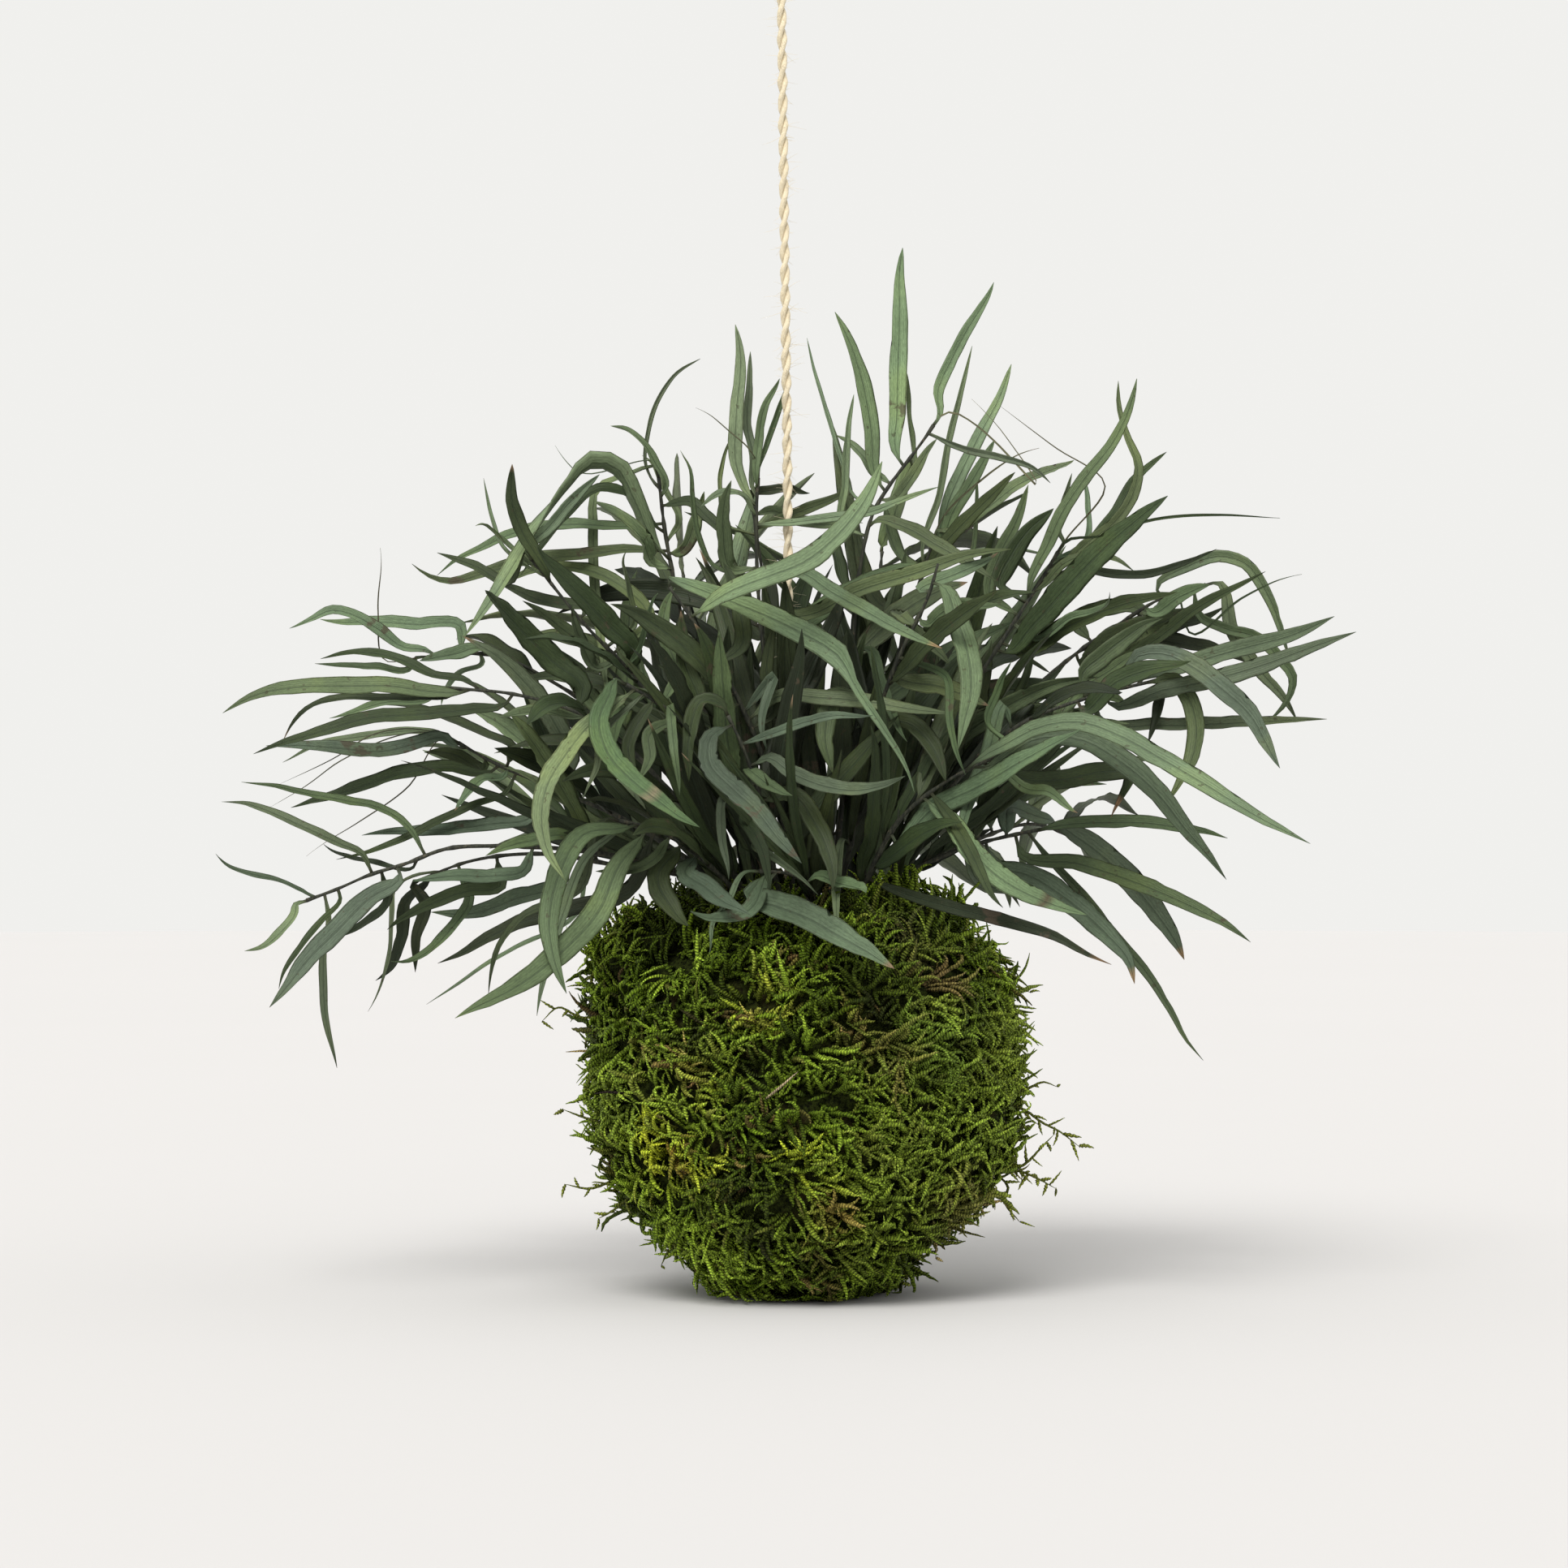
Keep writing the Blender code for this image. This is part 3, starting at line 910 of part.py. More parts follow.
def build_twine(collection, look):
    """The twine as a round tube, from its knot in the soil to the knot of its loop."""
    line = smooth([Vector(p) for p in TWINE_PATH])
    length = line[1][-1]
    count = round(length / (2.9 * TWINE)) + 1
    data = bpy.data.curves.new("twine", "CURVE")
    data.dimensions = "3D"
    data.bevel_depth = TWINE / 2 * MM
    data.bevel_resolution = 2
    data.use_fill_caps = True
    spline = data.splines.new("POLY")
    spline.points.add(count - 1)
    for i in range(count):
        point = at(line, length * i / (count - 1))[0] * MM
        spline.points[i].co = (*point, 1.0)
    twine = bpy.data.objects.new("twine", data)
    data.materials.append(look)
    collection.objects.link(twine)


def build_loop(collection, look):
    """The hanging loop at the top of the twine, a closed teardrop that stands on its knot."""
    x, y, z = LOOP_KNOT
    bottom = z + KNOT_RADIUS + GAP + TWINE / 2
    count = 28
    middles = []
    for i in range(count):
        a = 2 * math.pi * i / count
        across_by = LOOP_WIDTH / 2 * math.sin(a) * math.sin(a / 2) ** 1.2
        middles.append(Vector((x + across_by, y, bottom + LOOP_HEIGHT * (1 - math.cos(a)) / 2)))
    rings = []
    for i, middle in enumerate(middles):
        along = (middles[(i + 1) % count] - middles[i - 1]).normalized()
        side = Vector((0, 1, 0))
        up = along.cross(side)
        rings.append([middle + (side * math.cos(b) + up * math.sin(b)) * (TWINE / 2)
                      for b in (2 * math.pi * j / 10 for j in range(10))])
    add_object("hanging_loop", *loft(rings, closed=True), look, collection)


def main():
    for thing in list(bpy.data.objects):
        bpy.data.objects.remove(thing, do_unlink=True)
    collection = bpy.data.collections.new("kokedama_moss_ball_plant")
    bpy.context.scene.collection.children.link(collection)
    leaf_look = material("eucalyptus", (0.105, 0.155, 0.085), 0.62)
    moss_look = material("moss", (0.105, 0.150, 0.018), 0.9)
    soil_look = material("soil", (0.045, 0.028, 0.016), 0.95)
    twine_look = material("jute_twine", (0.640, 0.480, 0.290), 0.85)
    grown = grow()
    feet = [points[0] for points, _rows in SPRIGS + BACK_SPRIGS]
    build_soil(collection, soil_look, feet)
    build_moss(collection, moss_look)
    for number, (stem, leaves) in enumerate(grown):
        add_object(f"sprig_{number + 1:02d}", *sprig_mesh(stem, leaves), leaf_look, collection)
    build_ball_knot("twine_stop_knot", KNOT, KNOT_RADIUS, twine_look, collection)
    build_twine(collection, twine_look)
    build_ball_knot("loop_knot", LOOP_KNOT, KNOT_RADIUS, twine_look, collection)
    build_loop(collection, twine_look)


main()
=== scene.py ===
"""Looks of a kokedama: a moss ball planted with narrow-leaved eucalyptus sprigs, on its jute twine.

Shapes are worked out in millimetres, and MM turns them into the frame's metres. +Z is up and -Y is the front.
"""
import math
import random

import bpy
import numpy as np
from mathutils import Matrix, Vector, noise
from mathutils.kdtree import KDTree


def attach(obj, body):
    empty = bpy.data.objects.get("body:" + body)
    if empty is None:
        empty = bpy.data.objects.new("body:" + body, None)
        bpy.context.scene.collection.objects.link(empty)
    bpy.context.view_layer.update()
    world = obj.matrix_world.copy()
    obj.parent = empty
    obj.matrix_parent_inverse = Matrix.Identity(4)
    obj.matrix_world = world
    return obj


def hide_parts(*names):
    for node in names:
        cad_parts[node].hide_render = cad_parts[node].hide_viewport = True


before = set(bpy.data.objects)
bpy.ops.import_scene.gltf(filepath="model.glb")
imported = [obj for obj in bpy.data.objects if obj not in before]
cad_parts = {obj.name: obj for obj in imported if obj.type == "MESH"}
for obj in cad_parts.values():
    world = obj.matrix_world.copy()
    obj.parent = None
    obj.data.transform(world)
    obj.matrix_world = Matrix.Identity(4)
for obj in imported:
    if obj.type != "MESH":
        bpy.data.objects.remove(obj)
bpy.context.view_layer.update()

MM = 0.001

# Camera: level, this far in front of the middle of the ball, with this width of that plane in view.
CAMERA_DISTANCE = 1200.0
CAMERA_AIM = (-5.4, 0.0, 130.4)
VIEW_WIDTH = 402.5
SENSOR = 36.0

# The bush is drawn in toward its front and let out toward its back about MIDDLE, by one part in TAPER for
# each millimetre of depth.
TAPER = 1200.0
MIDDLE = Vector((0.0, 0.0, 130.0))

# As in the CAD model, down to RING_TWIST. Twigs: heights where they start in the soil and where they leave it
SOCKET_FLOOR = 82.0
CROWN = 99.0
# Leaves: thickness, width of the stalk, and how much wider a leaf is than its row says
LEAF_THICKNESS = 0.5
PETIOLE = 0.9
FULLNESS = 1.12
# Leaves by rule on each front sprig, and the distance that leaves keep along a twig
FILLERS = 3
LEAF_SPACING = 2.4
# Stalk: its length, its least and greatest angle to the twig, how near to its foot no point of the leaf
# counts, and its share of the leaf
STALK = 2.6
STALK_ANGLES = (0.7, 2.4)
CLEAR_OF_STALK = 4.5
STALK_SHARE = 0.05
# The tries at a leaf: shifts of its depth, bows out of its plane, and the number for one grown by rule,
# whose leaves go round the twig by the golden angle
DEPTH_SHIFTS = range(-42, 43, 3)
BOWS = (0, -8, 8, -16, 16)
RULE_TRIES = 90
GOLDEN_ANGLE = 2.4
# Where a leaf's rings stand, from few to many, and the most that it twists between two of them
RING_SPREADS = ([0.2, 0.5, 0.8], [0.15, 0.32, 0.5, 0.68, 0.85], [0.12, 0.24, 0.37, 0.5, 0.63, 0.76, 0.88])
RING_TWIST = math.radians(30)

# A corner of the CAD model this near to a leaf's corner is the same corner.
MATCH = 0.05

# Twine, as in the CAD model: thickness, length in metres from its exit to its upper knot, and the steps that
# it is drawn with. Then the stop knot and the loop above the upper knot.
TWINE = 2.6
TWINE_STEP = 0.45
KNOT = (-4.0, 3.0, 70.5)
KNOT_RADIUS = 3.2
TWINE_PATH = [(-4, 3, 74), (-4, 3, 99), (-4.2, 3, 150), (-4.5, 3, 205), (-5.2, 3, 268), (-6.1, 3, 336)]
LOOP_KNOT = (-6.1, 3.0, 339.6)
LOOP_WIDTH = 15.0
LOOP_HEIGHT = 26.0
GAP = 0.3

# Ball: (radius, height) of the moss surface from under the flat spot, up and over the crown.
MOSS_LINE = [(8, 0.3), (22, 0), (28, 3.6), (34.5, 9), (41, 15), (46.5, 22), (51, 31), (53.4, 40), (54.5, 50),
             (54.5, 62), (54, 72), (52.5, 80.5), (49, 87.5), (42.5, 93), (34, 97), (25.5, 98.6), (17, 98.2),
             (8, 97.6)]

# Linear colours of leaves by tone letter. L, M, D and N are one green from light to near black: painted light
# and shade for leaves that stand in light or in the shade of the bush.
TONES = {
    "L": (0.132, 0.186, 0.096), "M": (0.087, 0.124, 0.054), "D": (0.040, 0.059, 0.022),
    "B": (0.090, 0.130, 0.080), "O": (0.094, 0.125, 0.066), "Y": (0.076, 0.118, 0.050),
    "N": (0.020, 0.029, 0.012), "G": (0.066, 0.096, 0.058), "W": (0.150, 0.150, 0.085),
}
TIP_TAN = (0.24, 0.17, 0.10)

# Marks on leaves, by the last point of the leaf: the shares of its length where it starts and ends, a colour.
LEAF_MARKS = {
    (77, 122.5): (0.90, 1.0, (0.40, 0.24, 0.14)), (84.5, 79): (0.95, 1.0, (0.30, 0.20, 0.10)),
    (97.3, 84.5): (0.94, 1.0, (0.30, 0.20, 0.10)), (78.5, 84): (0.93, 1.0, (0.26, 0.17, 0.09)),
    (35.5, 165.8): (0.94, 1.0, (0.32, 0.22, 0.12)), (-26.8, 118): (0.70, 0.72, (0.17, 0.15, 0.09)),
    (72, 96.8): (0.76, 0.83, (0.085, 0.070, 0.040)),
}
# A leaf that turns its edge to the front part of the way along looks narrow from there on: the share of its
# length where that starts, and the share of its width that is left.
EDGE_ON = {(29, 127): (0.50, 0.40)}
WHOLE_WIDTH = (1.0, 1.0)

# Rings along a blade, and how much darker the leaves are in the core of the bush: its middle and its reach.
BLADE_RINGS = 25
CORE_SHADE = 0.5
CORE = (0, 5, 132)
CORE_REACH = (58, 38, 40)
# Small leaves low on each twig, with fewer rings
INNER_LEAVES = 4
INNER_RINGS = 13
# A leaf whose tip is above the first height, and fully so above the second, stands clear of the bush.
CLEAR_OF_BUSH = (190.0, 220.0)
CLEAR_WIDTH = 0.94
CLEAR_PALER = np.array([0.42, 0.38, 0.50])

# Starts of the random draws, one for each kind of thing
LEAF_SEED = 900
FIBRE_SEED = 31
MOSS_SEED = 77
CRUMB_SEED = 5

# Soil at the crown: radius and height of its top, and number of crumbs
SOIL_TOP = (21.5, 97.0)
CRUMBS = 190

# Looks of the twine: its strands go round once in this many millimetres. Number of loose fibres, colours
TWINE_TURN = 11.0
FIBRES = 420
TWINE_DARK = (0.72, 0.60, 0.40)
TWINE_PALE = (0.93, 0.84, 0.64)

# Moss: greens from dark to bright, and the brown of its litter
MOSS_GREENS = [(0.034, 0.052, 0.003), (0.104, 0.170, 0.009), (0.230, 0.335, 0.030)]
MOSS_BROWN = (0.130, 0.090, 0.030)
# Depth of the mat under the moss surface. Shoots: rings, range of lengths and of rises, number in a tuft and
# along a frond
MAT_DEPTH = 4.2
SHOOT_RINGS = 11
SHOOT_LENGTHS = (4.5, 10.5)
SHOOT_RISES = (1.4, 6.4)
TUFT_SHOOTS = 7
FROND_SHOOTS = 9
# Single low shoots under the tufts: number in a piece, shade, rings, range of lengths and of rises.
LOW_SHOOTS = 400
LOW_SHADE = 0.7
LOW_RINGS = 7
LOW_LENGTHS = (4.0, 7.5)
LOW_RISES = (0.6, 2.6)
# Shoots round the crown stand up higher than those down the sides, by up to this share more.
CROWN_RISE = 1.2
# Steps that spread spots evenly in two ways at once
EVEN_STEPS = (0.7548776662, 0.5698402910)
# Raised and sunken lumps that the CAD model leaves out: x, y, z, spread, height.
MOSS_LUMPS = [(38, -6, 12, 12, -6.0), (-36, -6, 8, 9, -3.5), (-50, -9, 92, 9, 6.5), (46, -8, 91, 7, -2.5),
              (30, -6, 97, 8, 8.5), (-30, -20, 93, 7, 2.5), (50, -14, 33, 7, 2.5), (-50, -14, 62, 8, 1.5),
              (-26, 20, 96, 9, 6.0), (-8, 28, 97, 9, 6.5), (12, 28, 97, 8, 5.0)]
# Patches of colour on the front: x, z, spread, colour. Most are the moss's own yellow, green and brown; the
# near-black ones are painted shade in hollows, and the bright green ones at x near 50 and -50 are painted
# light on the rims of the ball.
MOSS_PATCHES = [
    (-39, 38, 4, (0.42, 0.47, 0.02)), (-27, 55, 3.5, (0.23, 0.28, 0.025)), (-28, 36, 3, (0.34, 0.41, 0.03)),
    (5, 32.5, 2.5, (0.31, 0.37, 0.03)), (-2, 39, 2.5, (0.40, 0.48, 0.03)), (-10, 75, 3, (0.33, 0.40, 0.03)),
    (14, 68, 3, (0.20, 0.13, 0.045)), (22, 59.5, 2.8, (0.22, 0.14, 0.05)), (17, 40, 2.5, (0.20, 0.14, 0.05)),
    (40, 27, 4, (0.21, 0.15, 0.05)), (37, 20.5, 4.5, (0.20, 0.15, 0.06)),
    (28, 36, 13, (0.165, 0.235, 0.024)),
    (12, 20, 9, (0.150, 0.210, 0.020)), (30, 66, 8, (0.120, 0.185, 0.022)), (7, 23, 3, (0.27, 0.19, 0.05)),
    (-30, 60, 3, (0.18, 0.12, 0.04)), (-34, 39, 2, (0.11, 0.04, 0.015)), (34, 82, 3, (0.19, 0.13, 0.05)),
    (-23, 72, 2.5, (0.012, 0.014, 0.003)), (-23, 66, 2.5, (0.012, 0.014, 0.003)),
    (1.4, 60, 2.5, (0.012, 0.014, 0.003)), (18, 75, 2.5, (0.012, 0.014, 0.003)),
    (-16, 32, 2.5, (0.014, 0.016, 0.003)), (-11, 22, 2.5, (0.014, 0.016, 0.003)),
    (51, 60, 6, (0.20, 0.27, 0.030)), (50, 44, 6, (0.18, 0.25, 0.030)), (51, 72, 5, (0.20, 0.27, 0.035)),
    (-51, 56, 5, (0.19, 0.27, 0.030)), (-49, 44, 5, (0.19, 0.27, 0.030)), (25, 93, 5, (0.035, 0.040, 0.010)),
    (30, 84, 3.5, (0.10, 0.075, 0.025)), (-12, 22, 4, (0.020, 0.026, 0.003)),
    (-12, 58, 3.5, (0.020, 0.026, 0.003)),
]
# The pieces: name, the angle that it faces, number of tufts and of fronds.
MOSS_SECTORS = [("moss_front", -90, 285, 80), ("moss_right", 0, 275, 30), ("moss_back", 90, 255, 26),
                ("moss_left", 180, 275, 30)]

# Wiry strands that stand off the moss: path (x, y, z), number of shoots, their reach, colour.
STRAY_GREEN = (0.17, 0.20, 0.03)
STRAY_TAN = (0.42, 0.33, 0.12)
STRAYS = [
    ([(50, -10, 49), (56, -9, 47.3), (60.3, -9, 44.2), (64.6, -9, 42), (69.8, -8, 38)], 9, 5.0, STRAY_GREEN),
    ([(49, -10, 31), (55.5, -10, 33.4), (60.9, -9, 38.6), (63.3, -9, 41)], 7, 5.5, STRAY_GREEN),
    ([(48, -10, 32), (53.8, -10, 32), (59, -9, 30), (63.8, -8, 27.3)], 12, 4.5, STRAY_GREEN),
    ([(49, -10, 31), (51.6, -10, 27.8), (50.8, -9, 24.3), (54.7, -8, 18.7)], 5, 4.0, STRAY_GREEN),
    ([(40, -12, 24), (46, -11, 23.4), (50.3, -10, 24.3)], 4, 3.5, STRAY_TAN),
    ([(52, -8, 51), (57.3, -8, 53), (60.7, -8, 54.4), (64.2, -8, 53.2)], 3, 2.5, STRAY_GREEN),
    ([(50, -14, 77), (54, -14, 79), (57, -14, 77.5)], 3, 3.5, STRAY_GREEN),
    ([(37, -12, 88), (41, -12, 93), (46, -12, 92.5)], 5, 4.0, STRAY_GREEN),
    ([(30, -12, 17), (33, -12, 14.5), (33.2, -11, 10)], 3, 3.0, STRAY_TAN),
    ([(12, -14, 9), (15, -14, 5), (22, -13, 3), (26, -12, 4.5)], 9, 3.5, STRAY_GREEN),
    ([(3, -16, 9), (8, -16, 4), (9.6, -15, 1)], 5, 3.0, STRAY_GREEN),
    ([(-30, -14, 15), (-35, -14, 11.5), (-36.6, -13, 8)], 3, 3.0, STRAY_GREEN),
    ([(-44, -14, 26), (-49, -13, 22), (-52.5, -12, 20)], 5, 3.5, STRAY_GREEN),
    ([(-48, -12, 30), (-55, -11, 27.5), (-61, -10, 28.5)], 5, 4.0, STRAY_GREEN),
    ([(-50, -12, 44), (-56, -11, 45.5), (-61.5, -10, 47.5)], 3, 3.5, STRAY_GREEN),
    ([(-50, -12, 62), (-56, -11, 62.5), (-61, -10, 62.2)], 1, 1.5, STRAY_TAN),
    ([(-50, -12, 72), (-57, -11, 71), (-63, -10, 73.5), (-67, -10, 70)], 5, 4.0, STRAY_GREEN),
    ([(-47, -12, 84), (-54, -11, 82), (-57, -11, 79)], 4, 4.5, STRAY_GREEN),
    ([(-44, -12, 88), (-48, -12, 94), (-47, -12, 98)], 4, 3.5, STRAY_GREEN),
    ([(-10, -53, 53), (-6, -56, 56.5), (-2, -56, 60)], 1, 0.5, (0.62, 0.50, 0.30)),
    ([(-44, -33, 53), (-50, -33, 53.5), (-53, -32, 53)], 1, 0.5, (0.03, 0.02, 0.015)),
]

# Stage: floor in metres, sky, and the key light with the way that it comes from
FLOOR_RADIUS = 3
FLOOR_DROP = 0.0002
FLOOR_COLOUR = (0.567, 0.558, 0.555)
SKY_COLOUR = (0.875, 0.872, 0.850)
KEY_POWER = 2.8
KEY_COLOUR = (1.0, 0.985, 0.96)
KEY_FROM = (-0.25, -0.80, 1.0)
KEY_SPREAD = math.radians(32)

# Thin wisps, and then a few leaves, that the CAD model leaves out: sprig, tone, depth of the tip, width,
# points (across, up).
WISPS = [
    (2, "W", -6, 0.6, [(-9, 211), (-14, 216), (-20, 221.5), (-27, 227.5)]),
    (1, "W", 2, 0.6, [(60, 207), (52, 219), (43.5, 230)]),
    (4, "W", 0, 0.6, [(77, 207.5), (64, 217), (50, 227.5)]),
    (3, "W", 8, 0.6, [(46, 209), (53, 214), (59.5, 217.5)]),
    (4, "D", 4, 0.8, [(76, 194), (88, 198), (106, 199.5), (122, 198.5)]),
    (6, "M", 10, 0.6, [(99, 169), (112, 178), (127, 185.5)]),
    (12, "W", 20, 0.45, [(-107.5, 162), (-109.5, 174), (-108, 191)]),
    (13, "W", 4, 0.5, [(-110, 143.5), (-121, 137), (-135, 130.3)]),
    (13, "W", 10, 0.5, [(-119, 136.5), (-128, 130), (-138, 124)]),
    (13, "W", 12, 0.5, [(-102, 129.5), (-114, 121), (-128.5, 112.5)]),
    (9, "L", 8, 0.6, [(-59, 211), (-62, 214), (-64.5, 217)]),
    (13, "D", 4, 5.5, [(-75, 139), (-82, 143), (-90, 146.5), (-100, 150), (-110, 152)]),
    (12, "D", 22, 6.0, [(-69, 158), (-75, 162.5), (-82, 167), (-89, 169.5)]),
    (6, "D", 26, 7.0, [(70, 163), (78, 167), (86, 170), (95, 173), (103, 176)]),
    (5, "M", -14, 5.0, [(71, 158), (76, 163), (83, 168.5), (91, 174)]),
    (4, "D", 16, 5.5, [(50, 181), (53, 189), (58, 196), (64.5, 201)]),
    (10, "L", 0, 3.5, [(-66, 196), (-60, 203), (-53, 210)]),
    (1, "D", 10, 4.5, [(10, 181), (8, 188), (7, 196)]),
    (3, "M", 22, 5.0, [(26, 187), (22, 194), (20, 202)]),
    (9, "M", 20, 4.0, [(-31, 190), (-28, 198), (-26, 205)]),
]

